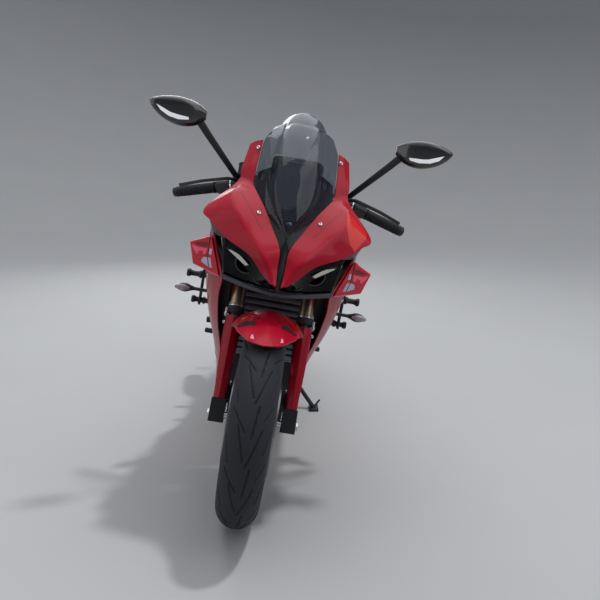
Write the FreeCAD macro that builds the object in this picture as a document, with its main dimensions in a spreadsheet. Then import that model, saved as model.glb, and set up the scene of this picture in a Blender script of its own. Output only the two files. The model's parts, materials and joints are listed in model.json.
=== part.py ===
import FreeCAD, Part
import math
import os
import Sketcher
from FreeCAD import Placement, Rotation, Vector

# A sport motorcycle parked on its side stand, in millimetres.
#
# Every piece is drawn on an upright bike: X to the rider's left, Y to the rear, Z up, the front
# axle over Y = 0 and the ground at Z = 0. Forward is -Y. Pieces of the steering are drawn in the
# steering's own frame, whose Z runs up the steering axis. At the end each piece is set down in the
# pose of the parked bike, leaning over to its left until the stand's foot meets the ground.

DRIVING_SIZES = (
    # alias, value, what it is
    ("wheelbase", 1390, "front axle to rear axle"),
    ("rake", 24, "steering axis from the vertical, degrees"),
    ("fork_offset", 33, "front axle ahead of the steering axis"),
    ("lean", 10, "parked lean to the left, degrees"),
    ("rest_steer", -2, "parked steering angle, to the right, degrees"),
    ("front_tyre_radius", 300, "outer radius of the 120/70 17 inch tyre"),
    ("front_tyre_width", 120, "section width"),
    ("rear_tyre_radius", 312, "outer radius of the 160/60 17 inch tyre"),
    ("rear_tyre_width", 160, "section width"),
    ("rim_radius", 216, "bead seat of a 17 inch rim"),
    ("front_rim_width", 89, "3.5 inch rim"),
    ("rear_rim_width", 114, "4.5 inch rim"),
    ("rim_depth", 26, "bead seat down to the underside of the rim"),
    ("rim_flange", 9, "flange height above the bead seat"),
    ("hub_radius", 38, "wheel hub"),
    ("front_hub_half", 70, "half length of the front hub"),
    ("rear_hub_half", 84, "half length of the rear hub"),
    ("spoke_count", 10, "spokes in a wheel, set in pairs"),
    ("spoke_width", 15, "spoke across"),
    ("spoke_depth", 30, "spoke along the axle"),
    ("axle_radius", 10, "both axles"),
    ("axle_bore", 7, "radius of the hole through a hollow axle"),
    ("axle_clearance", 0.3, "radial gap of a wheel on its axle"),
    ("front_disc_radius", 150, "front brake disc"),
    ("rear_disc_radius", 110, "rear brake disc"),
    ("disc_thickness", 5, "brake disc"),
    ("disc_width", 32, "swept ring, in to out"),
    ("disc_clearance", 5, "caliper slot beyond each face of a disc"),
    ("sprocket_radius", 96, "rear sprocket to the tips of its teeth"),
    ("sprocket_teeth", 44, "rear sprocket"),
    ("sprocket_thickness", 6, "rear sprocket"),
    ("fork_half", 106, "fork leg from the centre plane"),
    ("stanchion_radius", 18.5, "inner tube of the upside down fork"),
    ("fork_tube_radius", 22.5, "outer tube"),
    ("seal_radius", 25, "seal ring at the mouth of the outer tube"),
    ("seal_station", 308, "seal ring above the axle, along the leg"),
    ("fork_top", 742, "top of the outer tube above the axle, along the leg"),
    ("lower_clamp", 478, "underside of the lower triple clamp, along the leg"),
    ("upper_clamp", 668, "underside of the upper triple clamp, along the leg"),
    ("clamp_thickness", 26, "triple clamp"),
    ("stem_radius", 16, "steering stem"),
    ("head_tube_radius", 30, "frame tube round the stem"),
    ("bearing_clearance", 0.3, "radial gap of the stem in the head tube"),
    ("seat_gap", 0.3, "gap between two pieces that seat on each other"),
    ("running_gap", 5, "least gap of a moving piece"),
    ("bar_radius", 11, "handlebar tube"),
    ("grip_radius", 17, "rubber grip"),
    ("bar_tip_x", 378, "grip tip from the centre plane"),
    ("skin", 4, "thickness of a fairing panel"),
    ("screen_skin", 3, "thickness of the windscreen"),
    ("swingarm_pivot_y", 850, "pivot behind the front axle"),
    ("swingarm_pivot_z", 400, "pivot above the ground"),
    ("swingarm_half", 122, "arm from the centre plane"),
    ("pivot_radius", 12, "bore of the swingarm pivot"),
    ("plate_x", 142, "frame's pivot plate from the centre plane"),
    ("plate_thickness", 24, "pivot plate"),
    ("chain_x", 98, "chain line from the centre plane"),
    ("front_sprocket_radius", 34, "front sprocket"),
    ("front_sprocket_y", 772, "front sprocket behind the front axle"),
    ("front_sprocket_z", 400, "front sprocket above the ground"),
    ("engine_width", 260, "engine block"),
    ("engine_front", 420, "engine block's front face behind the front axle"),
    ("engine_back", 780, "engine block's rear face behind the front axle"),
    ("engine_low", 256, "engine block's underside above the ground"),
    ("engine_high", 560, "engine block's top above the ground"),
    ("stand_pivot_x", 146, "stand pivot from the centre plane"),
    ("stand_pivot_y", 880, "stand pivot behind the front axle"),
    ("stand_pivot_z", 175, "stand pivot above the ground"),
    ("stand_pin_radius", 6, "stand pivot pin"),
    ("stand_foot_x", 279, "foot on the ground beside the track of the wheels"),
    ("stand_foot_y", 826, "foot on the ground behind the front axle"),
    ("stand_leg_radius", 9, "stand leg"),
)

doc = FreeCAD.newDocument("SportBike")
sheet = doc.addObject("Spreadsheet::Sheet", "Sizes")
for row, (alias, number, note) in enumerate(DRIVING_SIZES, start=1):
    sheet.set(f"A{row}", alias)
    sheet.set(f"B{row}", str(number))
    sheet.setAlias(f"B{row}", alias)
    sheet.set(f"C{row}", note)
doc.recompute()


def size(alias):
    """Return a driving size as a plain number."""
    return float(sheet.get(alias))


def bind(item, **expressions):
    """Tie properties of an object to cells of the sheet."""
    for name, expression in expressions.items():
        item.setExpression(name, expression)
    return item


# Poses of the parked bike

RAKE = math.radians(size("rake"))
X_AXIS, Y_AXIS, Z_AXIS = Vector(1, 0, 0), Vector(0, 1, 0), Vector(0, 0, 1)
FRONT_AXLE = Vector(0, 0, size("front_tyre_radius"))
REAR_AXLE = Vector(0, size("wheelbase"), size("rear_tyre_radius"))

# The steering frame: its origin is on the steering axis, abreast of the front axle.
STEER_ORIGIN = FRONT_AXLE + Vector(
    0, size("fork_offset") * math.cos(RAKE), -size("fork_offset") * math.sin(RAKE)
)
STEER_FRAME = Placement(STEER_ORIGIN, Rotation(X_AXIS, -size("rake")))
TURN = STEER_FRAME * Placement(Vector(), Rotation(Z_AXIS, size("rest_steer"))) * STEER_FRAME.inverse()


def tyre_drop(pose, centre, radius, width):
    """Return how far a round tyre's lowest point lies below the ground in a pose."""
    axle = pose.Rotation.multVec(X_AXIS)
    middle = radius - width / 2
    lowest = pose.multVec(centre).z - middle * math.sqrt(1 - axle.z ** 2) - width / 2
    return -lowest


def parked_pose():
    """Return the pose that leans the bike and sets both tyres on the ground."""
    tipped = Placement(Vector(), Rotation(Y_AXIS, size("lean")))
    front = tyre_drop(tipped * TURN, FRONT_AXLE, size("front_tyre_radius"), size("front_tyre_width"))
    rear = tyre_drop(tipped, REAR_AXLE, size("rear_tyre_radius"), size("rear_tyre_width"))
    pitch = math.degrees(math.atan2(rear - front, size("wheelbase")))
    return Placement(Vector(0, 0, front), Rotation(X_AXIS, pitch)) * tipped


PARKED = parked_pose()
STEERED = PARKED * TURN
FORKED = STEERED * STEER_FRAME
NODES = {}
SIDES = (("left", 1), ("right", -1))


def keep(name, item, pose=PARKED, place=None):
    """Name a finished sub-part and remember the pose that it parks in."""
    item.Label = name
    local = place if place is not None else Placement(item.Placement)
    NODES[name] = (item, pose * local)
    return item


# Operations that several pieces share

def feature(name, shape):
    """Hold a shape made here as an object of the document."""
    item = doc.addObject("Part::Feature", name)
    item.Shape = shape
    return item


def compound(name, items):
    """Hold pieces that don't touch as one object."""
    item = doc.addObject("Part::Compound", name)
    item.Links = items
    return item


def fuse(name, items):
    """Join pieces into one solid."""
    item = doc.addObject("Part::MultiFuse", name)
    item.Shapes = items
    return item


def cut(name, base, tool):
    """Take one piece out of another."""
    item = doc.addObject("Part::Cut", name)
    item.Base = base
    item.Tool = tool
    return item


def box(name, centre, sides, turn=None):
    """Add a box by its centre and its three sides, turned about its centre."""
    item = doc.addObject("Part::Box", name)
    item.Length, item.Width, item.Height = sides
    rotation = turn if turn is not None else Rotation()
    corner = Vector(*sides) * -0.5
    item.Placement = Placement(Vector(*centre) + rotation.multVec(corner), rotation)
    return item


def rod(name, start, end, radius):
    """Add a round bar between two points; radius is a number or an expression."""
    start, end = Vector(*start), Vector(*end)
    item = doc.addObject("Part::Cylinder", name)
    item.Height = start.distanceToPoint(end)
    item.Placement = Placement(start, Rotation(Z_AXIS, end - start))
    if isinstance(radius, str):
        bind(item, Radius=radius)
    else:
        item.Radius = radius
    return item


def rounded(plane, centre, across, tall, corner):
    """Return a rounded rectangle as a wire, across one axis and up the other."""
    half, up = across / 2, tall / 2
    bend = min(corner, half * 0.98, up * 0.98)
    turn = bend * (1 - math.sqrt(0.5))
    along = X_AXIS if plane == "XZ" else Y_AXIS
    corners = []
    for sx, sz in ((1, 1), (-1, 1), (-1, -1), (1, -1)):
        side = (sx * half, sz * (up - bend))
        knee = (sx * (half - turn), sz * (up - turn))
        top = (sx * (half - bend), sz * up)
        bends = (side, knee, top) if sx * sz > 0 else (top, knee, side)
        corners.append([Vector(*centre) + along * a + Z_AXIS * b for a, b in bends])
    edges = []
    for corner, onward in zip(corners, corners[1:] + corners[:1]):
        edges.append(Part.Arc(*corner).toShape())
        edges.append(Part.LineSegment(corner[2], onward[0]).toShape())
    return Part.Wire(edges)


def hull(plane, stations):
    """Loft rounded sections; each station is place, centre a, centre z, across, tall, corner."""
    wires = []
    for place, side, height, across, tall, corner in stations:
        centre = (side, place, height) if plane == "XZ" else (place, side, height)
        wires.append(rounded(plane, centre, across, tall, corner))
    return Part.makeLoft(wires, True, True)


def triangle(a, b, c):
    """Return a flat face through three points, or None where they are in line."""
    if (b - a).cross(c - a).Length < 1e-6:
        return None
    return Part.Face(Part.makePolygon([a, b, c, a]))


def panel(rows, thickness):
    """Return a bent sheet through rows of points, thickened away from its outer side."""
    outer = [[Vector(*point) for point in row] for row in rows]
    tall, wide = len(outer), len(outer[0])
    inner = []
    for i in range(tall):
        line = []
        for j in range(wide):
            down = outer[min(i + 1, tall - 1)][j] - outer[max(i - 1, 0)][j]
            across = outer[i][min(j + 1, wide - 1)] - outer[i][max(j - 1, 0)]
            normal = across.cross(down)
            if normal.Length < 1e-6:
                normal = Y_AXIS
            line.append(outer[i][j] + normal.normalize() * thickness)
        inner.append(line)
    faces = []
    for grid, flip in ((outer, False), (inner, True)):
        for i in range(tall - 1):
            for j in range(wide - 1):
                a, b = grid[i][j], grid[i][j + 1]
                c, d = grid[i + 1][j + 1], grid[i + 1][j]
                for corner in ((a, b, c), (a, c, d)):
                    ordered = corner[::-1] if flip else corner
                    faces.append(triangle(*ordered))
    rim = [(0, j) for j in range(wide)]
    rim += [(i, wide - 1) for i in range(1, tall)]
    rim += [(tall - 1, j) for j in range(wide - 2, -1, -1)]
    rim += [(i, 0) for i in range(tall - 2, 0, -1)]
    for (i, j), (m, n) in zip(rim, rim[1:] + rim[:1]):
        a, b = outer[i][j], outer[m][n]
        c, d = inner[m][n], inner[i][j]
        faces.append(triangle(a, d, b))
        faces.append(triangle(b, d, c))
    shell = Part.makeShell([face for face in faces if face is not None])
    solid = Part.makeSolid(shell)
    if solid.Volume < 0:
        solid.reverse()
    return solid


def wedge(front, back):
    """Return a solid between two outlines of as many points."""
    front = [Vector(*point) for point in front]
    back = [Vector(*point) for point in back]
    count = len(front)
    faces = [triangle(front[0], front[k], front[k + 1]) for k in range(1, count - 1)]
    faces += [triangle(back[0], back[k + 1], back[k]) for k in range(1, count - 1)]
    for k in range(count):
        n = (k + 1) % count
        faces.append(triangle(front[k], back[k], front[n]))
        faces.append(triangle(front[n], back[k], back[n]))
    solid = Part.makeSolid(Part.makeShell([face for face in faces if face is not None]))
    if solid.Volume < 0:
        solid.reverse()
    return solid


def arc_points(start, middle, end, count):
    """Return evenly spaced points on the arc through three points."""
    arc = Part.Arc(Vector(*start), Vector(*middle), Vector(*end))
    span = arc.LastParameter - arc.FirstParameter
    places = [arc.value(arc.FirstParameter + span * k / (count - 1)) for k in range(count)]
    return [(p.x, p.y, p.z) for p in places]


def bent_tube(points, radius, bend):
    """Sweep a round section along straight runs joined by tangent arcs."""
    points = [Vector(*point) for point in points]
    edges = []
    at = points[0]
    for before, corner, after in zip(points, points[1:], points[2:]):
        back = (before - corner).normalize()
        ahead = (after - corner).normalize()
        half = back.getAngle(ahead) / 2
        trim = bend / math.tan(half)
        begin, end = corner + back * trim, corner + ahead * trim
        inward = (back + ahead).normalize()
        middle = corner + inward * (bend / math.sin(half) - bend)
        edges.append(Part.LineSegment(at, begin).toShape())
        edges.append(Part.Arc(begin, middle, end).toShape())
        at = end
    edges.append(Part.LineSegment(at, points[-1]).toShape())
    path = Part.Wire(edges)
    ring = Part.Wire([Part.Circle(points[0], points[1] - points[0], radius).toShape()])
    return path.makePipeShell([ring], True, False)


def reach(shape, start, way, radius=0.0):
    """Return how far a round post can grow from a point until it meets a shape."""
    way = Vector(*way).normalize()
    across = way.cross(X_AXIS if abs(way.x) < 0.9 else Y_AXIS).normalize() * radius
    offsets = [Vector()] + [Rotation(way, turn).multVec(across) for turn in range(0, 360, 15)]
    nearest = None
    for offset in offsets:
        begin = Vector(*start) + offset
        touched = Part.makeLine(begin, begin + way * 600).common(shape)
        for vertex in touched.Vertexes:
            distance = (vertex.Point - begin).dot(way)
            nearest = distance if nearest is None else min(nearest, distance)
    if nearest is None:
        raise RuntimeError(f"a post from {start} meets nothing")
    return nearest


def post(name, start, way, radius, shape):
    """Add a round post from a point up to its seat on a shape."""
    way = Vector(*way).normalize()
    length = reach(shape, start, way, radius) - size("seat_gap")
    return rod(name, start, Vector(*start) + way * length, radius)


def body_plane(body, role):
    """Return one of a body's own origin planes."""
    return next(item for item in body.Origin.OriginFeatures if item.Role == role)


def sketch_on(body, role, name):
    """Add a sketch on one of a body's origin planes."""
    sketch = body.newObject("Sketcher::SketchObject", name)
    sketch.AttachmentSupport = (body_plane(body, role), [""])
    sketch.MapMode = "FlatFace"
    return sketch


def pin_point(sketch, line, end, expressions):
    """Hold a point of a sketch at a place given by two expressions, or by one and None."""
    for kind, axis, expression in (("DistanceX", -2, expressions[0]), ("DistanceY", -1, expressions[1])):
        if expression is None:
            continue
        number = float(sketch.evalExpression(expression))
        if abs(number) < 1e-9:
            sketch.addConstraint(Sketcher.Constraint("PointOnObject", line, end, axis))
            continue
        place = sketch.addConstraint(Sketcher.Constraint(kind, -1, 1, line, end, number))
        sketch.setExpression(f"Constraints[{place}]", expression)


def outline(sketch, corners):
    """Draw a closed polygon whose corners are pairs of expressions."""
    spots = [
        Vector(float(sketch.evalExpression(x)), float(sketch.evalExpression(y)), 0)
        for x, y in corners
    ]
    first = sketch.GeometryCount
    count = len(spots)
    for k in range(count):
        sketch.addGeometry(Part.LineSegment(spots[k], spots[(k + 1) % count]))
    for k in range(count):
        onward = first + (k + 1) % count
        sketch.addConstraint(Sketcher.Constraint("Coincident", first + k, 2, onward, 1))
    for k, corner in enumerate(corners):
        pin_point(sketch, first + k, 1, corner)


def ring_outline(sketch, half, inside, outside):
    """Draw a rectangle from one radius to another, half a length each side."""
    outline(sketch, (
        (f"-({half})", inside), (half, inside), (half, outside), (f"-({half})", outside),
    ))


def spin(body, sketch, name):
    """Turn a sketch once round the body's X axis."""
    turned = body.newObject("PartDesign::Revolution", name)
    turned.Profile = sketch
    turned.ReferenceAxis = (sketch, ["H_Axis"])
    turned.Angle = 360
    return turned


# Wheels: each is drawn round the origin with its axle along X

def make_tyre(name, radius, width, rim_width, pose, centre):
    """Build a tyre: a round crown over two sidewalls that close on the rim."""
    body = doc.addObject("PartDesign::Body", name)
    sketch = sketch_on(body, "XY_Plane", name + "_section")
    half = f"{width} / 2"
    middle = f"{radius} - {width} / 2"
    bead = f"{rim_width} / 2 - 7"
    seat = "Sizes.rim_radius + Sizes.seat_gap"
    w, m = float(sketch.evalExpression(half)), float(sketch.evalExpression(middle))
    b, r = float(sketch.evalExpression(bead)), float(sketch.evalExpression(seat))
    crown = Part.ArcOfCircle(Part.Circle(Vector(0, m, 0), Z_AXIS, w), 0, math.pi)
    sketch.addGeometry(crown)
    lip = "Sizes.rim_radius + Sizes.rim_flange + Sizes.seat_gap"
    t = float(sketch.evalExpression(lip))
    corners = ((-w, m), (-b, t), (-b, r), (b, r), (b, t), (w, m))
    for start, end in zip(corners, corners[1:]):
        sketch.addGeometry(Part.LineSegment(Vector(*start, 0), Vector(*end, 0)))
    for line in range(len(corners)):
        onward = (line + 1) % len(corners)
        sketch.addConstraint(Sketcher.Constraint("Coincident", line, 2, onward, 1))
    pin_point(sketch, 0, 3, ("0", middle))
    pin_point(sketch, 0, 1, (half, middle))
    pin_point(sketch, 1, 1, (None, middle))
    pin_point(sketch, 2, 1, (f"-({bead})", lip))
    pin_point(sketch, 3, 1, (f"-({bead})", seat))
    pin_point(sketch, 4, 1, (bead, seat))
    pin_point(sketch, 5, 1, (bead, lip))
    body.Tip = spin(body, sketch, name + "_turned")
    keep(name, body, pose, Placement(centre, Rotation()))


def make_rim(name, rim_width, hub_half, pose, centre):
    """Build a cast wheel: a barrel with flanges, a hub and pairs of spokes."""
    body = doc.addObject("PartDesign::Body", name)
    barrel = sketch_on(body, "XY_Plane", name + "_barrel")
    half = f"{rim_width} / 2"
    seat, under = "Sizes.rim_radius", "Sizes.rim_radius - Sizes.rim_depth"
    outline(barrel, (
        (f"-({half})", f"{seat} + Sizes.rim_flange"), (f"-({half} - 6)", f"{seat} + Sizes.rim_flange"),
        (f"-({half} - 6)", seat), (f"{half} - 6", seat),
        (f"{half} - 6", f"{seat} + Sizes.rim_flange"), (half, f"{seat} + Sizes.rim_flange"),
        (half, f"{seat} - 8"), (f"{half} - 14", f"{seat} - 10"),
        ("16", under), ("-16", under),
        (f"-({half} - 14)", f"{seat} - 10"), (f"-({half})", f"{seat} - 8"),
    ))
    spin(body, barrel, name + "_barrel_turned")
    hub = sketch_on(body, "XY_Plane", name + "_hub")
    ring_outline(hub, hub_half, "Sizes.axle_radius + Sizes.axle_clearance", "Sizes.hub_radius")
    spin(body, hub, name + "_hub_turned")
    spoke = sketch_on(body, "YZ_Plane", name + "_spoke")
    reach = "Sizes.rim_radius - Sizes.rim_depth + 6"
    root = "Sizes.hub_radius - 8"
    outline(spoke, (
        ("4", root), ("4 + Sizes.spoke_width", root),
        ("22 + Sizes.spoke_width", reach), ("22", reach),
    ))
    doc.recompute()
    arm = body.newObject("PartDesign::Pad", name + "_arm")
    arm.Profile = spoke
    bind(arm, Length="Sizes.spoke_depth")
    arm.Midplane = True
    doc.recompute()
    pairs = body.newObject("PartDesign::MultiTransform", name + "_spokes")
    pairs.Originals = [arm]
    mirror = body.newObject("PartDesign::Mirrored", name + "_mirror_step")
    mirror.MirrorPlane = (body_plane(body, "XZ_Plane"), [""])
    polar = body.newObject("PartDesign::PolarPattern", name + "_polar_step")
    polar.Axis = (body_plane(body, "X_Axis"), [""])
    polar.Angle = 360
    bind(polar, Occurrences="Sizes.spoke_count / 2")
    pairs.Transformations = [mirror, polar]
    body.Tip = pairs
    keep(name, body, pose, Placement(centre, Rotation()))


def make_disc(name, radius, x_places, hub, pose, centre):
    """Build brake discs: swept rings on carriers that reach the hub."""
    discs = []
    for place in x_places:
        body = doc.addObject("PartDesign::Body", f"{name}_{'left' if place[0] != '-' else 'right'}")
        flat = sketch_on(body, "YZ_Plane", body.Name + "_rings")
        inner = f"{radius} - Sizes.disc_width"
        for line, edge in enumerate((radius, hub)):
            circle = Part.Circle(Vector(0, 0, 0), Z_AXIS, float(flat.evalExpression(edge)))
            flat.addGeometry(circle)
            flat.addConstraint(Sketcher.Constraint("Coincident", line, 3, -1, 1))
            held = flat.addConstraint(
                Sketcher.Constraint("Radius", line, float(flat.evalExpression(edge)))
            )
            flat.setExpression(f"Constraints[{held}]", edge)
        plate = body.newObject("PartDesign::Pad", body.Name + "_plate")
        plate.Profile = flat
        plate.Midplane = True
        bind(plate, Length="Sizes.disc_thickness")
        window = sketch_on(body, "YZ_Plane", body.Name + "_window")
        outline(window, (
            ("-12", f"{hub} + 12"), ("12", f"{hub} + 12"), ("24", f"{inner} - 6"), ("-24", f"{inner} - 6"),
        ))
        doc.recompute()
        opening = body.newObject("PartDesign::Pocket", body.Name + "_opening")
        opening.Profile = window
        opening.Type = "ThroughAll"
        opening.Midplane = True
        doc.recompute()
        around = body.newObject("PartDesign::PolarPattern", body.Name + "_windows")
        around.Originals = [opening]
        around.Axis = (body_plane(body, "X_Axis"), [""])
        around.Angle = 360
        around.Occurrences = 6
        body.Tip = around
        body.Placement.Base = Vector(float(flat.evalExpression(place)), 0, 0)
        discs.append(body)
    item = discs[0] if len(discs) == 1 else compound(name, discs)
    if len(discs) == 1:
        keep(name, item, pose, Placement(centre + discs[0].Placement.Base, Rotation()))
    else:
        keep(name, item, pose, Placement(centre, Rotation()))


def make_wheels():
    """Build both wheels with their discs, the rear sprocket and the axles."""
    make_tyre("front_tyre", "Sizes.front_tyre_radius", "Sizes.front_tyre_width",
              "Sizes.front_rim_width", STEERED, FRONT_AXLE)
    make_tyre("rear_tyre", "Sizes.rear_tyre_radius", "Sizes.rear_tyre_width",
              "Sizes.rear_rim_width", PARKED, REAR_AXLE)
    make_rim("front_rim", "Sizes.front_rim_width", "Sizes.front_hub_half", STEERED, FRONT_AXLE)
    make_rim("rear_rim", "Sizes.rear_rim_width", "Sizes.rear_hub_half", PARKED, REAR_AXLE)
    side = "Sizes.front_hub_half - Sizes.disc_thickness"
    make_disc("front_discs", "Sizes.front_disc_radius", (side, f"-({side})"),
              "Sizes.hub_radius + Sizes.seat_gap", STEERED, FRONT_AXLE)
    make_disc("rear_disc", "Sizes.rear_disc_radius", ("-(Sizes.rear_hub_half - Sizes.disc_thickness)",),
              "Sizes.hub_radius + Sizes.seat_gap", PARKED, REAR_AXLE)
    make_sprocket()
    make_axle("front_axle", size("fork_half") + FORK_FOOT_HALF + 4, STEERED, FRONT_AXLE)
    make_axle("rear_axle", size("swingarm_half") + ARM_HALF + 10, PARKED, REAR_AXLE)


def make_sprocket():
    """Build the rear sprocket: a ring of teeth round the left end of the hub."""
    body = doc.addObject("PartDesign::Body", "rear_sprocket")
    flat = sketch_on(body, "YZ_Plane", "rear_sprocket_ring")
    root = "Sizes.sprocket_radius - 8"
    for line, edge in enumerate((root, "Sizes.hub_radius + Sizes.seat_gap")):
        radius = float(flat.evalExpression(edge))
        flat.addGeometry(Part.Circle(Vector(0, 0, 0), Z_AXIS, radius))
        flat.addConstraint(Sketcher.Constraint("Coincident", line, 3, -1, 1))
        held = flat.addConstraint(Sketcher.Constraint("Radius", line, radius))
        flat.setExpression(f"Constraints[{held}]", edge)
    plate = body.newObject("PartDesign::Pad", "rear_sprocket_plate")
    plate.Profile = flat
    plate.Midplane = True
    bind(plate, Length="Sizes.sprocket_thickness")
    carrier = sketch_on(body, "YZ_Plane", "rear_sprocket_carrier")
    for line, radius in enumerate((size("hub_radius") + 14, size("axle_radius") + 8)):
        carrier.addGeometry(Part.Circle(Vector(0, 0, 0), Z_AXIS, radius))
        carrier.addConstraint(Sketcher.Constraint("Coincident", line, 3, -1, 1))
        carrier.addConstraint(Sketcher.Constraint("Radius", line, radius))
    doc.recompute()
    drum = body.newObject("PartDesign::Pad", "rear_sprocket_drum")
    drum.Profile = carrier
    drum.Reversed = True
    bind(drum, Length="Sizes.chain_x - Sizes.rear_hub_half - Sizes.seat_gap")
    tooth = sketch_on(body, "YZ_Plane", "rear_sprocket_tooth")
    outline(tooth, (
        ("-4.5", f"{root} - 2"), ("4.5", f"{root} - 2"),
        ("1.5", "Sizes.sprocket_radius"), ("-1.5", "Sizes.sprocket_radius"),
    ))
    doc.recompute()
    point = body.newObject("PartDesign::Pad", "rear_sprocket_point")
    point.Profile = tooth
    point.Midplane = True
    bind(point, Length="Sizes.sprocket_thickness")
    doc.recompute()
    teeth = body.newObject("PartDesign::PolarPattern", "rear_sprocket_teeth")
    teeth.Originals = [point]
    teeth.Axis = (body_plane(body, "X_Axis"), [""])
    teeth.Angle = 360
    bind(teeth, Occurrences="Sizes.sprocket_teeth")
    body.Tip = teeth
    keep("rear_sprocket", body, PARKED, Placement(REAR_AXLE + Vector(size("chain_x"), 0, 0), Rotation()))


def make_axle(name, half, pose, centre):
    """Build a hollow axle."""
    body = doc.addObject("PartDesign::Body", name)
    sketch = sketch_on(body, "XY_Plane", name + "_section")
    ring_outline(sketch, f"{half}", "Sizes.axle_bore", "Sizes.axle_radius")
    body.Tip = spin(body, sketch, name + "_turned")
    keep(name, body, pose, Placement(centre, Rotation()))


# Places that more than one piece is measured from

CALIPER_X = size("front_hub_half") - size("disc_thickness")
CALIPER_HALF = 21

FORK_FOOT_HALF = 21
ARM_HALF = 14


# Steering: drawn in the steering frame, where the legs stand at Y = -offset

LEG_Y = -size("fork_offset")


def leg_rod(name, side, low, high, radius):
    """Add a round bar along one fork leg between two stations."""
    return rod(name, (side * size("fork_half"), LEG_Y, low), (side * size("fork_half"), LEG_Y, high), radius)


def make_fork():
    """Build the upside down fork: outer tubes, stanchions with axle feet, and clamps."""
    seal, top = size("seal_station"), size("fork_top")
    tubes = []
    for label, side in SIDES:
        tubes.append(fuse(f"fork_tube_{label}", [
            leg_rod(f"outer_tube_{label}", side, seal, top, "Sizes.fork_tube_radius"),
            leg_rod(f"seal_ring_{label}", side, seal - 2, seal + 12, "Sizes.seal_radius"),
            leg_rod(f"dust_ring_{label}", side, seal + 20, seal + 24, "Sizes.seal_radius"),
            leg_rod(f"top_cap_{label}", side, top - 6, top + 6, "Sizes.fork_tube_radius - 5"),
        ]))
    keep("fork_tubes", compound("fork_tubes", tubes), FORKED)
    feet = []
    boss_x = CALIPER_X + CALIPER_HALF + size("seat_gap")
    for label, side in SIDES:
        x = side * (size("fork_half") - 1)
        foot = fuse(f"fork_foot_{label}", [
            leg_rod(f"stanchion_{label}", side, 4, seal - 2 - size("seat_gap"), "Sizes.stanchion_radius"),
            box(f"foot_block_{label}", (x, LEG_Y + 3, 11), (2 * FORK_FOOT_HALF, 50, 68)),
            box(f"caliper_boss_{label}", (side * (boss_x + 13), LEG_Y + 58, 66), (26, 116, 52)),
        ])
        hole = rod(f"axle_hole_{label}", (x - 40, LEG_Y, 0), (x + 40, LEG_Y, 0), "Sizes.axle_radius")
        feet.append(cut(f"fork_lower_{label}", foot, hole))
    keep("fork_lowers", compound("fork_lowers", feet), FORKED)
    clamps = []
    for label, low in (("lower", size("lower_clamp")), ("upper", size("upper_clamp"))):
        middle = low + size("clamp_thickness") / 2
        half = size("fork_half")
        yoke = fuse(f"{label}_yoke", [
            rod(f"{label}_eye_left", (half, LEG_Y, low), (half, LEG_Y, low + size("clamp_thickness")), 34),
            rod(f"{label}_eye_right", (-half, LEG_Y, low), (-half, LEG_Y, low + size("clamp_thickness")), 34),
            rod(f"{label}_stem_boss", (0, 0, low), (0, 0, low + size("clamp_thickness")), 32),
            box(f"{label}_bridge", (0, LEG_Y * 0.6, middle), (2 * half, 40, size("clamp_thickness"))),
        ])
        holes = fuse(f"{label}_holes", [
            leg_rod(f"{label}_hole_{side_name}", side, low - 5, low + 60, "Sizes.fork_tube_radius")
            for side_name, side in SIDES
        ])
        clamps.append(cut(f"{label}_clamp", yoke, holes))
    foot, head = size("lower_clamp"), size("upper_clamp") + 32
    stem = rod("steering_stem", (0, 0, foot), (0, 0, head), "Sizes.stem_radius")
    keep("triple_clamps", fuse("triple_clamps", clamps + [stem]), FORKED)


def make_calipers():
    """Build the two front calipers, each slotted over its disc."""
    pieces = []
    out = size("front_disc_radius") - 14
    slot = size("disc_thickness") + 2 * size("disc_clearance")
    for label, side in SIDES:
        turn = Rotation(X_AXIS, 28)
        centre = Vector(side * CALIPER_X, LEG_Y, 0) + turn.multVec(Vector(0, out, 0))
        body = box(f"caliper_block_{label}", tuple(centre), (2 * CALIPER_HALF, 46, 104), turn)
        gap = box(f"caliper_slot_{label}", tuple(centre - turn.multVec(Vector(0, 12, 0))),
                  (slot, 60, 130), turn)
        pieces.append(cut(f"front_caliper_{label}", body, gap))
    keep("front_calipers", compound("front_calipers", pieces), FORKED)


BAR_INNER = Vector(size("fork_half") + 26, -34, 724)
BAR_TIP = Vector(size("bar_tip_x"), 72, 694)
PERCH_RADIUS = 21


def along_bar(share, side):
    """Return a point along one handlebar, from its clamp to its tip."""
    point = BAR_INNER + (BAR_TIP - BAR_INNER) * share
    return Vector(side * point.x, point.y, point.z)


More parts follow.
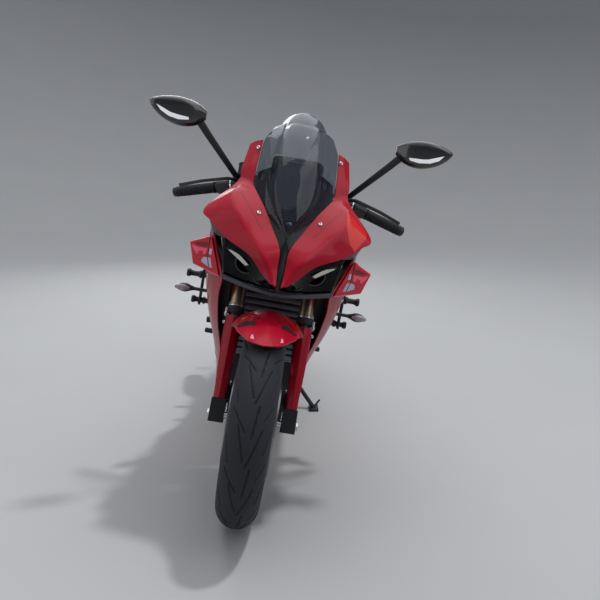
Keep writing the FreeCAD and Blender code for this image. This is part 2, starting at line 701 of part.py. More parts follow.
def make_controls():
    """Build the clip-on bars, grips, levers, reservoirs and switch boxes."""
    clip = size("upper_clamp") + size("clamp_thickness") + 4
    bars, grips, controls = [], [], []
    for label, side in SIDES:
        ring = fuse(f"clip_{label}", [
            leg_rod(f"clip_ring_{label}", side, clip, clip + 32, "Sizes.fork_tube_radius + 8"),
            rod(f"bar_{label}", along_bar(-0.04, side), along_bar(0.97, side), "Sizes.bar_radius"),
        ])
        hole = leg_rod(f"clip_hole_{label}", side, clip - 5, clip + 60, "Sizes.fork_tube_radius")
        bars.append(cut(f"clip_on_{label}", ring, hole))
        grip = rod(f"grip_sleeve_{label}", along_bar(0.47, side), along_bar(1.0, side), "Sizes.grip_radius")
        core = rod(f"grip_core_{label}", along_bar(0.3, side), along_bar(1.1, side), "Sizes.bar_radius")
        grips.append(cut(f"grip_{label}", grip, core))
        lever = feature(f"lever_{label}", bent_tube([
            along_bar(0.17, side) + Vector(0, -22, 2), along_bar(0.26, side) + Vector(0, -56, 2),
            along_bar(0.62, side) + Vector(0, -64, 0), along_bar(0.93, side) + Vector(0, -52, 0),
        ], 5.5, 30))
        clamp = along_bar(0.12, side)
        block = fuse(f"control_{label}", [
            rod(f"perch_{label}", along_bar(0.08, side), along_bar(0.24, side), PERCH_RADIUS),
            rod(f"switch_box_{label}", along_bar(0.27, side), along_bar(0.43, side), 22),
            rod(f"switch_joint_{label}", along_bar(0.2, side), along_bar(0.3, side), 16),
            rod(f"reservoir_arm_{label}", clamp, clamp + Vector(0, -36, 14), 8),
            rod(f"reservoir_{label}", clamp + Vector(0, -36, 10), clamp + Vector(0, -36, 50),
                17 if side < 0 else 10),
            lever,
        ])
        begin, end = along_bar(-0.05, side), along_bar(0.6, side)
        hollow = rod(f"control_core_{label}", begin, end, "Sizes.bar_radius")
        controls.append(cut(f"control_set_{label}", block, hollow))
    keep("handlebars", compound("handlebars", bars), FORKED)
    keep("grips", compound("grips", grips), FORKED)
    keep("controls", compound("controls", controls), FORKED)


MIRROR_ROWS = (
    # x, y, z, depth, height
    (292, 236, 1137, 16, 26),
    (322, 226, 1134, 40, 68),
    (366, 216, 1134, 50, 84),
    (412, 206, 1138, 42, 66),
    (442, 200, 1144, 26, 34),
    (455, 198, 1149, 10, 10),
)


def make_mirrors():
    """Build the mirrors: a shell on a stalk that stands on each lever perch."""
    pieces = []
    for label, side in SIDES:
        shell = feature(f"mirror_shell_{label}", hull("YZ", [
            (side * x, y, z, depth, height, 22) for x, y, z, depth, height in MIRROR_ROWS
        ]))
        perch = STEER_FRAME.multVec(along_bar(0.19, side) + Vector(0, 0, PERCH_RADIUS - 2))
        stalk = feature(f"mirror_stalk_{label}", bent_tube([
            tuple(perch), (side * 218, 274, 1004), (side * 262, 244, 1070), (side * 318, 224, 1130),
        ], 8.5, 28))
        seat = rod(f"mirror_seat_{label}", STEER_FRAME.multVec(along_bar(0.0, side)),
                   STEER_FRAME.multVec(along_bar(0.3, side)), PERCH_RADIUS + size("seat_gap"))
        pieces.append(cut(f"mirror_{label}", fuse(f"mirror_whole_{label}", [shell, stalk]), seat))
    keep("mirrors", compound("mirrors", pieces), STEERED)


FENDER_COLUMNS = (
    # x, radius from the axle, angle of the front edge ahead of the vertical, angle of the rear edge behind
    (-106, 262, 2, 32),
    (-97, 281, -7, 38),
    (-82, 298, -18, 43),
    (-45, 315, -29, 48),
    (0, 325, -32.5, 50),
    (45, 315, -29, 48),
    (82, 298, -18, 43),
    (97, 281, -7, 38),
    (106, 262, 2, 32),
)
FENDER_ROWS = 6


def leg_point(side, station, away, angle):
    """Return a point ahead of a fork leg, at a distance and an angle from the leg's own axis."""
    return Vector(side * size("fork_half") + away * math.sin(angle), LEG_Y - away * math.cos(angle), station)


def make_fender():
    """Build the front mudguard over the tyre with a guard down each fork leg."""
    rows = []
    for step in range(FENDER_ROWS):
        share = step / (FENDER_ROWS - 1)
        line = []
        for x, radius, ahead, behind in FENDER_COLUMNS:
            angle = math.radians(ahead + (behind - ahead) * share)
            line.append((x, radius * math.sin(angle), FRONT_AXLE.z + radius * math.cos(angle)))
        rows.append(line)
    shell = feature("fender_shell", panel(rows, -size("skin")))
    shell.Placement = STEER_FRAME.inverse()
    guards = []
    for label, side in SIDES:
        sections = []
        for station, radius, half_angle in ((46, 25, 40), (290, 28, 62)):
            outer, inner = [
                [leg_point(side, station, away, math.radians(turn)) for turn in (-half_angle, 0, half_angle)]
                for away in (radius, radius - size("skin"))
            ]
            sections.append(Part.Wire([
                Part.Arc(*outer).toShape(),
                Part.LineSegment(outer[2], inner[2]).toShape(),
                Part.Arc(*inner[::-1]).toShape(),
                Part.LineSegment(inner[0], outer[0]).toShape(),
            ]))
        guards.append(feature(f"fork_guard_{label}", Part.makeLoft(sections, True, True)))
    joined = fuse("fender_and_guards", [shell] + guards)
    legs = fuse("fender_leg_holes", [
        leg_rod(f"fender_leg_hole_{label}", side, -60, 400, "Sizes.stanchion_radius + Sizes.seat_gap")
        for label, side in SIDES
    ])
    keep("front_fender", cut("front_fender", joined, legs), FORKED)


# Chassis

# Forms that other pieces seat on

SIDE_ROWS = (
    # front edge, shoulder, middle, rear edge
    ((204, 62, 806), (222, 130, 822), (216, 280, 822), (192, 420, 806)),
    ((182, 76, 744), (226, 150, 752), (240, 320, 748), (230, 470, 734)),
    ((162, 92, 682), (214, 170, 676), (238, 340, 672), (234, 520, 664)),
    ((168, 152, 612), (208, 220, 606), (232, 380, 600), (232, 590, 600)),
    ((161, 228, 510), (192, 290, 506), (214, 430, 500), (220, 650, 505)),
    ((146, 302, 414), (168, 360, 408), (188, 480, 400), (202, 694, 400)),
    ((136, 352, 322), (150, 410, 314), (164, 520, 302), (180, 704, 300)),
    ((128, 392, 240), (138, 450, 232), (148, 560, 222), (156, 714, 222)),
    ((60, 420, 180), (66, 470, 174), (76, 560, 168), (84, 718, 172)),
    ((0, 428, 170), (0, 480, 164), (0, 560, 158), (0, 720, 162)),
)
CHEEK_ROWS = (
    # inner edge, crease, outer edge
    ((8, -74, 710), (15, -78, 714), (22, -72, 718)),
    ((11, -54, 758), (32, -64, 748), (50, -54, 740)),
    ((14, -32, 806), (58, -50, 786), (92, -32, 778)),
    ((42, 14, 852), (104, -10, 836), (160, 4, 806)),
    ((76, 60, 904), (148, 26, 884), (214, 42, 842)),
    ((104, 104, 938), (166, 78, 930), (238, 70, 870)),
    ((118, 132, 960), (142, 144, 962), (166, 150, 957)),
    ((119, 160, 1010), (140, 168, 1008), (161, 176, 1002)),
    ((115, 208, 1092), (134, 216, 1086), (150, 224, 1074)),
)


def mirrored_panel(rows, side):
    """Return a fairing panel for one side; a point on the centre plane keeps half a seat gap."""
    least = size("seat_gap") / 2
    turned = [[(side * max(x, least), y, z) for x, y, z in row] for row in rows]
    return panel(turned, size("skin") * side)


VENT_OUTLINE = ((458, 648), (600, 622), (590, 514), (514, 506), (456, 562))


def vented_panel(rows, side):
    """Return a side fairing with the slanted air outlet cut through it."""
    corners = [Vector(0, y, z) for y, z in VENT_OUTLINE]
    opening = Part.Face(Part.makePolygon(corners + corners[:1])).extrude(Vector(side * 400, 0, 0))
    return mirrored_panel(rows, side).cut(opening)


FAIRING = {side: vented_panel(SIDE_ROWS, side) for label, side in SIDES}
CHEEK = {side: mirrored_panel(CHEEK_ROWS, side) for label, side in SIDES}
TANK = hull("XZ", [
    # y, x, z, across, tall, corner
    (392, 0, 842, 120, 90, 36), (430, 0, 852, 232, 150, 52), (520, 0, 850, 316, 196, 70),
    (620, 0, 832, 306, 190, 70), (700, 0, 806, 220, 140, 56), (752, 0, 790, 130, 92, 36),
])
SEAT = hull("XZ", [
    (756, 0, 782, 150, 56, 20), (800, 0, 778, 220, 56, 22), (900, 0, 786, 260, 56, 22),
    (975, 0, 806, 250, 60, 22),
])
TAIL_END = 1440
COWL = hull("XZ", [
    (976, 0, 812, 240, 122, 26), (1100, 0, 856, 216, 108, 28), (1280, 0, 912, 160, 88, 26),
    (TAIL_END, 0, 960, 96, 50, 18),
]).fuse(hull("XZ", [
    (800, 0, 729, 170, 40, 16), (900, 0, 734, 232, 47, 18), (990, 0, 752, 236, 47, 18),
]))
UNDERTRAY = hull("XZ", [
    (772, 0, 670, 120, 68, 16), (880, 0, 660, 150, 90, 18), (985, 0, 685, 150, 70, 16),
    (1110, 0, 774, 122, 50, 14), (1185, 0, 806, 96, 42, 12),
])
# The stay runs forward from the head tube, between the fork legs, to the headlamps.
STAY = hull("XZ", [
    (100.3, 0, 800, 70, 50, 8), (175, 0, 812, 60, 56, 8), (262, 0, 832, 56, 64, 8),
])
SPAR_STATIONS = (
    # y, x, z, across, tall
    (262, 14, 822, 40, 96),
    (330, 62, 792, 36, 96),
    (430, 130, 742, 28, 92),
    (640, 158, 640, 28, 92),
    (800, 150, 540, 26, 110),
    (880, 142, 430, 24, 200),
)
SHOCK_LOW = Vector(0, 927, 306)
SHOCK_HIGH = Vector(0, 896, 524)
SHOCK_WAY = Vector(SHOCK_HIGH - SHOCK_LOW).normalize()
SHOCK_COILS = 7
CROSS_TUBE_RADIUS = 18
PLATE_Y, PLATE_LONG = 880, 112
PLATE_LOW, PLATE_HIGH = 270, 570


def make_frame():
    """Build the twin spar frame: head tube, spars, pivot plates, stay and stand bracket."""
    low = size("lower_clamp") + size("clamp_thickness") + 3
    high = size("upper_clamp") - 3
    tube = rod("head_tube", (0, 0, low), (0, 0, high), "Sizes.head_tube_radius")
    tube.Placement = STEER_FRAME * tube.Placement
    pieces = [tube, feature("fairing_stay", STAY)]
    plate_x, thick = size("plate_x"), size("plate_thickness")
    for label, side in SIDES:
        pieces.append(feature(f"spar_{label}", hull("XZ", [
            (y, side * x, z, across, tall, 8) for y, x, z, across, tall in SPAR_STATIONS
        ])))
        pieces.append(box(f"pivot_plate_{label}", (side * plate_x, PLATE_Y, (PLATE_LOW + PLATE_HIGH) / 2),
                          (thick, PLATE_LONG, PLATE_HIGH - PLATE_LOW)))
        pieces.append(post(f"tank_mount_{label}", (side * 140, 510, 700), (0, 0, 1), 12, TANK))
    seat = SHOCK_WAY * (CROSS_TUBE_RADIUS + size("seat_gap"))
    for name, middle in (("lower_cross_tube", SHOCK_LOW - seat), ("upper_cross_tube", SHOCK_HIGH + seat)):
        across = Vector(plate_x, 0, 0)
        pieces.append(rod(name, middle - across, middle + across, CROSS_TUBE_RADIUS))
    pieces.append(stand_bracket())
    joined = fuse("frame_joined", pieces)
    bore_radius = "Sizes.stem_radius + Sizes.bearing_clearance"
    bore = rod("stem_bore", (0, 0, low - 40), (0, 0, high + 40), bore_radius)
    bore.Placement = STEER_FRAME * bore.Placement
    stand = rod("stand_bore", STAND_PIVOT - STAND_AXIS * 80, STAND_PIVOT + STAND_AXIS * 80,
                "Sizes.stand_pin_radius + Sizes.seat_gap")
    bored = cut("frame_bored", joined, fuse("frame_bores", [bore, stand]))
    y, z = size("swingarm_pivot_y"), size("swingarm_pivot_z")
    bolt = rod("pivot_bolt", (-plate_x - 6, y, z), (plate_x + 6, y, z), "Sizes.pivot_radius - Sizes.seat_gap")
    keep("frame", fuse("frame", [bored, bolt]))


STAND_PIVOT = Vector(size("stand_pivot_x"), size("stand_pivot_y"), size("stand_pivot_z"))
STAND_FOOT = PARKED.inverse().multVec(Vector(size("stand_foot_x"), size("stand_foot_y"), 0))
STAND_AXIS = Vector(0.904, 0.198, 0.383).normalize()
STAND_EYE_HALF = 9


def stand_bracket():
    """Return the ear that carries the stand's pin, on a strut from the left pivot plate."""
    leg = STAND_FOOT - STAND_PIVOT
    ahead = (leg - STAND_AXIS * leg.dot(STAND_AXIS)).normalize()
    up = Rotation(STAND_AXIS, -150).multVec(ahead)
    ear = box("stand_ear", (0, 0, 0), (10, 80, 36))
    inward = STAND_EYE_HALF + size("seat_gap") + 5
    frame = Rotation(STAND_AXIS, up, STAND_AXIS.cross(up), "XYZ")
    middle = STAND_PIVOT - STAND_AXIS * inward + up * 22
    ear.Placement = Placement(middle + frame.multVec(Vector(-5, -40, -18)), frame)
    strut = rod("stand_strut", middle + up * 28, (size("plate_x"), PLATE_Y - 14, PLATE_LOW + 14), 13)
    return fuse("stand_bracket", [ear, strut])


def make_stand():
    """Build the side stand: a leg from its pivot to a foot flat on the ground."""
    down = PARKED.inverse().Rotation.multVec(Vector(0, 0, -1))
    flat = Rotation(Z_AXIS, down * -1)
    toe = STAND_FOOT - down * 5
    pad = box("stand_pad", (0, 0, 0), (40, 62, 10))
    pad.Placement = Placement(toe, flat) * Placement(Vector(-20, -31, -5), Rotation())
    leg = rod("stand_leg", STAND_PIVOT, STAND_FOOT - down * 8, "Sizes.stand_leg_radius")
    half = STAND_AXIS * STAND_EYE_HALF
    eye = rod("stand_eye", STAND_PIVOT - half, STAND_PIVOT + half, 14)
    ends = (STAND_PIVOT - STAND_AXIS * 26, STAND_PIVOT + STAND_AXIS * 14)
    pin = rod("stand_pin", *ends, "Sizes.stand_pin_radius")
    tang = rod("stand_tang", STAND_FOOT - down * 8, STAND_FOOT - down * 46 + Vector(28, 6, 0), 4)
    keep("side_stand", fuse("side_stand", [pad, leg, eye, pin, tang]))


RADIATOR_CENTRE = Vector(0, 296, 528)
RADIATOR_TURN = Rotation(X_AXIS, 12)


def make_engine():
    """Build the engine as one plain block with its front sprocket, and the radiator ahead of it."""
    wide, front, back = size("engine_width"), size("engine_front"), size("engine_back")
    low, high = size("engine_low"), size("engine_high")
    block = box("engine_case", (0, (front + back) / 2, (low + high) / 2), (wide, back - front, high - low))
    y, z, radius = size("front_sprocket_y"), size("front_sprocket_z"), size("front_sprocket_radius")
    pocket_deep = 2 * (back - y + radius + 20)
    pocket = box("sprocket_pocket", (wide / 2, back, z), (2 * (wide / 2 - 80), pocket_deep, 120))
    inner, chain = 60, size("chain_x")
    pieces = [
        cut("engine_cut", block, pocket),
        rod("output_shaft", (inner, y, z), (chain + 8, y, z), 12),
        rod("front_sprocket", (chain - 3, y, z), (chain + 3, y, z), radius - size("seat_gap")),
    ]
    plate_front = PLATE_Y - PLATE_LONG / 2 - size("seat_gap")
    for label, side in SIDES:
        lug_long = plate_front - back + 10
        pieces.append(box(f"engine_lug_{label}", (side * (wide / 2 - 2), plate_front - lug_long / 2, 310),
                          (20, lug_long, 40)))
        for place, y, z in (("upper", 560, 470), ("lower", 560, 290)):
            pieces.append(post(f"fairing_mount_{place}_{label}", (side * (wide / 2 - 5), y, z),
                               (side, 0, 0), 9, FAIRING[side]))
    keep("engine_block", fuse("engine_block", pieces))
    turn, centre = RADIATOR_TURN, RADIATOR_CENTRE
    core = box("radiator_core", tuple(centre), (256, 24, 250), turn)
    pieces = [core]
    for step in range(14):
        offset = turn.multVec(Vector(0, -14, -112 + step * 17.2))
        pieces.append(box(f"radiator_fin_{step + 1}", tuple(centre + offset), (248, 8, 5), turn))
    for label, side in SIDES:
        offset = turn.multVec(Vector(side * 131, -6, 0))
        pieces.append(box(f"radiator_tank_{label}", tuple(centre + offset), (18, 36, 256), turn))
        pieces.append(rod(f"radiator_stay_{label}", (side * 96, centre.y, 540),
                          (side * 96, front - size("seat_gap"), 540), 6))
    keep("radiator", fuse("radiator", pieces))


SCREEN_ROWS = (
    # y and z of an edge, its x, then y and z of the middle
    (-2, 847, 5, -5, 847),
    (60, 904, 73, 20, 906),
    (130, 960, 114, 56, 968),
    (162, 1012, 115, 92, 1036),
    (208, 1086, 111, 146, 1104),
    (240, 1128, 92, 196, 1152),
    (254, 1164, 60, 232, 1176),
    (262, 1186, 30, 254, 1190),
    (266, 1196, 8, 264, 1197),
)


def make_nose():
    """Build the nose: red cheeks, the dark band between them and the windscreen."""
    cheeks = [feature(f"cheek_{label}", CHEEK[side]) for label, side in SIDES]
    keep("nose_cheeks", compound("nose_cheeks", cheeks))
    rows = []
    for y, z, x, mid_y, mid_z in SCREEN_ROWS:
        rows.append(arc_points((-x, y, z), (0, mid_y, mid_z), (x, y, z), 9))
    keep("windscreen", feature("windscreen", panel(rows, size("screen_skin"))))
    gap = size("seat_gap") + 0.7
    arms = []
    for label, side in SIDES:
        rows = []
        for (x, y, z), (a, b, c) in (
            ((76, 60, 904), (72, 62, 903)),
            ((42, 14, 852), (26, 20, 862)),
            ((14, -32, 806), (0, -18, 834)),
            ((11, -54, 758), (0, -58, 758)),
            ((8, -74, 706), (0, -80, 698)),
        ):
            rows.append([(side * a, b - 2, c), (side * (x - gap), y - 1, z)])
        arms.append(feature(f"band_{label}", panel(rows, (size("skin") + 2) * side)))
    keep("nose_band", fuse("nose_band", arms))


POD_STATIONS = (
    # x of the lip and of the top, then y and z of the lip, the recess and the top
    (-157, -188, 66, 694, 80, 750, 86, 832),
    (-90, -90, 44, 690, 62, 742, 66, 832),
    (0, 0, 24, 682, 44, 736, 50, 832),
    (90, 90, 44, 690, 62, 742, 66, 832),
    (157, 188, 66, 694, 80, 750, 86, 832),
)
POD_BACK = 100
LINER_STATIONS = (-146, -104, -60, -12, 36, 84, 128, 150)
LINER_INNER = 140.3
LINER_SETBACK = 2
LINER_GAP = 2.2


def make_headlamps():
    """Build the dark pod behind the cheeks, the lamps in it and the dials above."""
    wires = []
    for lip_x, top_x, lip_y, lip_z, mid_y, mid_z, top_y, top_z in POD_STATIONS:
        corners = []
        for y, z in ((lip_y, lip_z), (mid_y, mid_z), (top_y, top_z), (POD_BACK, top_z), (POD_BACK, lip_z + 4)):
            x = lip_x + (top_x - lip_x) * (z - lip_z) / (top_z - lip_z)
            corners.append(Vector(x, y, z))
        wires.append(Part.makePolygon(corners + corners[:1]))
    pod = Part.makeLoft(wires, True, True)
    pieces = [feature("pod_shell", pod)]
    for label, side in SIDES:
        pieces.append(post(f"cheek_post_{label}", (side * 118, 80, 818), (0, -1, 0), 6, CHEEK[side]))
        pieces.append(post(f"side_post_{label}", (side * 150, 91, 748), (side, 0, 0), 7, FAIRING[side]))
    keep("headlamp_pod", fuse("headlamp_pod", pieces))
    lamps = []
    for label, side in SIDES:
        strip = feature(f"lamp_strip_{label}", wedge(
            [(side * x, y, z) for x, y, z in
             ((66, -14, 770), (172, 26, 800), (170, 34, 786), (66, -4, 756))],
            [(side * x, y, z) for x, y, z in
             ((66, 30, 770), (166, 70, 800), (164, 72, 786), (66, 34, 756))],
        ))
        bowl = rod(f"lamp_bowl_{label}", (side * 96, 2, 752), (side * 96, 60, 756), 24)
        lamps.append(fuse(f"lamp_{label}", [strip, bowl]))
    keep("headlamps", cut("headlamps", compound("lamp_pair", lamps), feature("pod_space", pod)))
    dials = feature("dial_case", hull("XZ", [
        (174, 0, 1018, 120, 50, 12), (188, 0, 1020, 150, 74, 16), (222, 0, 1024, 150, 74, 16),
    ]))
    posts = [post(f"dial_post_{label}", (side * 12, 204, 1000), (0, 0, -1), 6, STAY) for label, side in SIDES]
    keep("instrument_panel", fuse("instrument_panel", [dials] + posts))


def make_liners():
    """Build the dark sheets that close the gaps between the radiator and the fairings."""
    sheets = []
    for label, side in SIDES:
        rows = []
        for station in LINER_STATIONS:
            offset = RADIATOR_TURN.multVec(Vector(0, LINER_SETBACK, station))
            spot = RADIATOR_CENTRE + offset
            start = Vector(side * (LINER_INNER + 2), spot.y, spot.z)
            outer = LINER_INNER + 2 + reach(FAIRING[side], start, (side, 0, 0)) - LINER_GAP
            middle = (LINER_INNER + outer) / 2
            rows.append([(side * x, spot.y, spot.z) for x in (LINER_INNER, middle, outer)])
        sheets.append(feature(f"inner_panel_{label}", panel(rows, -side * 3)))
    keep("inner_panels", compound("inner_panels", sheets))


def make_fairings():
    """Build the side fairings and the winglets on them."""
    keep("side_fairings", compound("side_fairings", [
        feature(f"side_fairing_{label}", FAIRING[side]) for label, side in SIDES
    ]))
    wings = []
    for label, side in SIDES:
        wings.append(feature(f"winglet_{label}", wedge(
            [(side * x, y, z) for x, y, z in
             ((214, 88, 800), (276, 130, 764), (260, 150, 696), (176, 100, 678))],
            [(side * x, y, z) for x, y, z in
             ((232, 150, 790), (262, 262, 758), (252, 262, 700), (226, 210, 676))],
        )))
    gap = size("seat_gap")
    proud = [[(x + gap, y - gap * (k == 0), z) for k, (x, y, z) in enumerate(row)] for row in SIDE_ROWS]
    covers = [mirrored_panel(proud, side) for label, side in SIDES]
    space = feature("fairing_space", Part.makeCompound(covers))
    keep("winglets", cut("winglets", compound("winglet_pair", wings), space))


def sided(point, side):
    """Return a point of the left side, or its mirror image for the right."""
    return Vector(side * point.x, point.y, point.z)


def make_body():
    """Build the tank, seats, tail, tail lamp, subframe and plate holder."""
    keep("fuel_tank", feature("fuel_tank", TANK))
    keep("rider_seat", feature("rider_seat", SEAT))
    keep("tail_cowl", feature("tail_cowl", COWL))
    keep("pillion_seat", feature("pillion_seat", hull("XZ", [
        (984, 0, 893, 150, 34, 14), (1100, 0, 927, 178, 34, 15), (1252, 0, 966, 132, 32, 13),
    ]).cut(COWL.copy())))
    keep("undertray", feature("undertray", UNDERTRAY))
    box_low = size("engine_high") + size("seat_gap")
    keep("airbox", feature("airbox", hull("XZ", [
        (436, 0, box_low + 80, 180, 160, 22), (520, 0, box_low + 82, 200, 164, 24),
        (640, 0, box_low + 78, 200, 156, 24), (738, 0, box_low + 70, 170, 140, 22),
    ])))
    keep("tail_light", feature("tail_light", hull("XZ", [
        (TAIL_END + size("seat_gap"), 0, 960, 84, 32, 10), (TAIL_END + 22, 0, 966, 62, 20, 8),
    ])))
    foot = Vector(size("plate_x"), PLATE_Y + 12, PLATE_HIGH + size("seat_gap") + 6)
    knee, end = Vector(104, 958, 696), Vector(54, 1260, 826)
    rails = []
    tray = UNDERTRAY
    for label, side in SIDES:
        route = [sided(point, side) for point in (foot, knee, end)]
        rails.append(box(f"rail_foot_{label}", tuple(route[0]), (size("plate_thickness"), 40, 12)))
        rails.append(feature(f"rail_{label}", bent_tube(route, 12, 60)))
        rails.append(post(f"seat_post_{label}", sided(knee + Vector(-8, -6, -8), side), (0, 0, 1), 9, COWL))
        rails.append(post(f"cowl_post_{label}", sided(knee + (end - knee) * 0.6, side), (0, 0, 1), 9, COWL))
        for place, share in (("front", 0.12), ("rear", 0.7)):
            start = sided(knee + (end - knee) * share, side)
            rails.append(post(f"tray_post_{place}_{label}", start, (-side, 0, 0), 7, tray))
    rails.append(rod("rail_cross", (-58, 1244, 820), (58, 1244, 820), 9))
    keep("subframe", fuse("subframe", rails))
    arm_top = 912 - 88 / 2 - size("seat_gap")
    arm = feature("plate_arm", hull("XZ", [
        (1280, 0, arm_top - 14, 64, 28, 8), (1380, 0, 850, 56, 28, 8), (1500, 0, 802, 44, 24, 8),
        (1592, 0, 712, 44, 20, 8),
    ]))
    plate = box("plate", (0, 1612, 660), (190, 4, 130), Rotation(X_AXIS, 20))
    keep("plate_holder", fuse("plate_holder", [arm, plate]))


def make_signals():
    """Build the turn signals on their stalks, and the slider guards behind the front pair."""
    pieces, guards = [], []
    for label, side in SIDES:
        pieces.append(fuse(f"front_signal_{label}", [
            post(f"front_stalk_{label}", (side * 284, 386, 574), (-side, 0, 0), 6, FAIRING[side]),
            feature(f"front_lamp_{label}", hull("YZ", [
                (side * 272, 386, 574, 14, 14, 6), (side * 290, 384, 574, 26, 30, 10),
                (side * 318, 380, 574, 22, 24, 9), (side * 332, 376, 574, 8, 10, 4),
            ])),
        ]))
        inner = 22 + size("seat_gap")
        pieces.append(fuse(f"rear_signal_{label}", [
            rod(f"rear_stalk_{label}", (side * inner, 1500, 802), (side * 110, 1500, 804), 6),
            feature(f"rear_lamp_{label}", hull("YZ", [
                (side * 104, 1500, 804, 14, 14, 6), (side * 122, 1502, 804, 26, 30, 10),
                (side * 150, 1506, 804, 22, 24, 9), (side * 164, 1508, 804, 8, 10, 4),
            ])),
        ]))
        guards.append(fuse(f"slider_{label}", [
            box(f"slider_plate_{label}", (side * 247, 418, 580), (8, 32, 128)),
            post(f"upper_bobbin_{label}", (side * 304, 414, 622), (-side, 0, 0), 14, FAIRING[side]),
            post(f"lower_bobbin_{label}", (side * 276, 418, 532), (-side, 0, 0), 13, FAIRING[side]),
        ]))
    keep("turn_signals", compound("turn_signals", pieces))
    keep("slider_guards", compound("slider_guards", guards))


def make_feet():
    """Build the footrests on their brackets and the foot pedals."""
    rests, pedals = [], []
    face = size("plate_x") + size("plate_thickness") / 2 + size("seat_gap")
    for label, side in SIDES:
        rests.append(fuse(f"footrest_{label}", [
            box(f"rest_plate_{label}", (side * (face + 6), 930, 375), (12, 100, 80)),
            rod(f"rest_peg_{label}", (side * (face + 4), 902, 350), (side * 252, 902, 344), 11),
        ]))
        hub = face + 12 + size("seat_gap")
        pedals.append(fuse(f"pedal_{label}", [
            rod(f"pedal_hub_{label}", (side * hub, 896, 392), (side * (hub + 16), 896, 392), 12),
            rod(f"pedal_arm_{label}", (side * (hub + 9), 896, 392), (side * (hub + 26), 756, 336), 6),
            rod(f"pedal_toe_{label}", (side * (hub + 22), 756, 336), (side * 240, 756, 336), 8),
        ]))
    keep("footrests", compound("footrests", rests))
    keep("foot_pedals", compound("foot_pedals", pedals))


def make_rear():
    """Build the swingarm, shock absorber, chain, rear caliper and exhaust."""
    pivot_y, pivot_z = size("swingarm_pivot_y"), size("swingarm_pivot_z")
    end_y, end_z = REAR_AXLE.y, REAR_AXLE.z
    half = size("swingarm_half")
    outer = size("plate_x") - size("plate_thickness") / 2 - size("seat_gap")
    front_x = outer - 10
    pieces = [rod("swingarm_pivot_tube", (-outer, pivot_y, pivot_z), (outer, pivot_y, pivot_z), 20)]
    for label, side in SIDES:
        pieces.append(feature(f"swingarm_{label}", hull("XZ", [
            (pivot_y - 20, side * front_x, pivot_z, 20, 52, 8),
            (pivot_y + 90, side * front_x, pivot_z - 4, 20, 76, 8),
            (end_y - 160, side * half, end_z + 40, 2 * ARM_HALF, 66, 8),
            (end_y + 50, side * half, end_z, 2 * ARM_HALF, 54, 8),
        ])))
    pieces.append(box("swingarm_bridge", (0, 1012, 384), (2 * front_x, 56, 58)))
    hugger = make_hugger()
    for label, side in SIDES:
        pieces.append(post(f"hugger_post_{label}", (side * 40, 1022, 400), (0, 0.74, 0.67), 8, hugger))
    pieces.append(post("hugger_post_side", (-124, 1216, 376), (0.2, 0, 1), 7, hugger))
    joined = fuse("swingarm_joined", pieces)
    bores = fuse("swingarm_bores", [
        rod("swingarm_pivot_bore", (-200, pivot_y, pivot_z), (200, pivot_y, pivot_z), "Sizes.pivot_radius"),
        rod("swingarm_axle_bore", (-200, end_y, end_z), (200, end_y, end_z), "Sizes.axle_radius"),
    ])
    keep("swingarm", cut("swingarm", joined, bores))
    make_shock()
    make_chain()
    make_rear_caliper()
    make_exhaust()


def runs(spots):
    """Return the straight edges from each point to the next."""
    return [Part.LineSegment(one, two).toShape() for one, two in zip(spots, spots[1:])]


def make_shock():
    """Turn the rear shock absorber from one outline: a body with coils between two seats."""
    body, seat, coil = 17, 31, 6
    line = SHOCK_HIGH - SHOCK_LOW
    low_seat, high_seat = (36, 46), (line.Length * 0.86, line.Length * 0.9)
    corners = [(0, 0), (body, 0), (body, low_seat[0]), (seat, low_seat[0]), (seat, low_seat[1]),
               (body, low_seat[1])]
    spots = [Vector(r, 0, station) for r, station in corners]
    edges = runs(spots)
    at = spots[-1]
    pitch = (high_seat[0] - low_seat[1]) / SHOCK_COILS
    for step in range(SHOCK_COILS):
        station = low_seat[1] + pitch * (step + 0.5)
        begin, end = Vector(body, 0, station - coil), Vector(body, 0, station + coil)
        edges.append(Part.LineSegment(at, begin).toShape())
        edges.append(Part.Arc(begin, Vector(body + 11, 0, station), end).toShape())
        at = end
    corners = [(body, high_seat[0]), (seat, high_seat[0]), (seat, high_seat[1]), (body, high_seat[1]),
               (body, line.Length), (0, line.Length), (0, 0)]
    edges += runs([at] + [Vector(r, 0, station) for r, station in corners])
    turned = Part.Face(Part.Wire(edges)).revolve(Vector(), Z_AXIS, 360)
    shock = feature("rear_shock", turned)
    shock.Placement = Placement(SHOCK_LOW, Rotation(Z_AXIS, line))
    keep("rear_shock", shock)


def make_rear_caliper():
    """Build the rear caliper over its disc, on an arm that hangs on the axle."""
    turn = Rotation(X_AXIS, -30)
    disc_x = -(size("rear_hub_half") - size("disc_thickness"))
    axle = REAR_AXLE + Vector(disc_x, 0, 0)
    out = size("rear_disc_radius") - 12
    spot = axle + turn.multVec(Vector(0, -out, 0))
    slot = size("disc_thickness") + 2 * size("disc_clearance")
    block = box("rear_caliper_block", tuple(spot), (38, 40, 84), turn)
    gap = box("rear_caliper_slot", tuple(spot + turn.multVec(Vector(0, 12, 0))), (slot, 52, 110), turn)
    arm_x = -(size("swingarm_half") - ARM_HALF - size("seat_gap") - 4.5)
    middle = Vector(arm_x, axle.y, axle.z) + turn.multVec(Vector(0, -out / 2, 0))
    arm = box("rear_caliper_arm", tuple(middle), (9, out, 34), turn)
    eye = rod("rear_caliper_eye", (arm_x - 4.5, axle.y, axle.z), (arm_x + 4.5, axle.y, axle.z), 22)
    hole = rod("rear_caliper_hole", (arm_x - 20, axle.y, axle.z), (arm_x + 20, axle.y, axle.z),
               "Sizes.axle_radius + Sizes.axle_clearance")
    body = fuse("rear_caliper_body", [cut("rear_caliper_slotted", block, gap), arm, eye])
    keep("rear_caliper", cut("rear_caliper", body, hole))


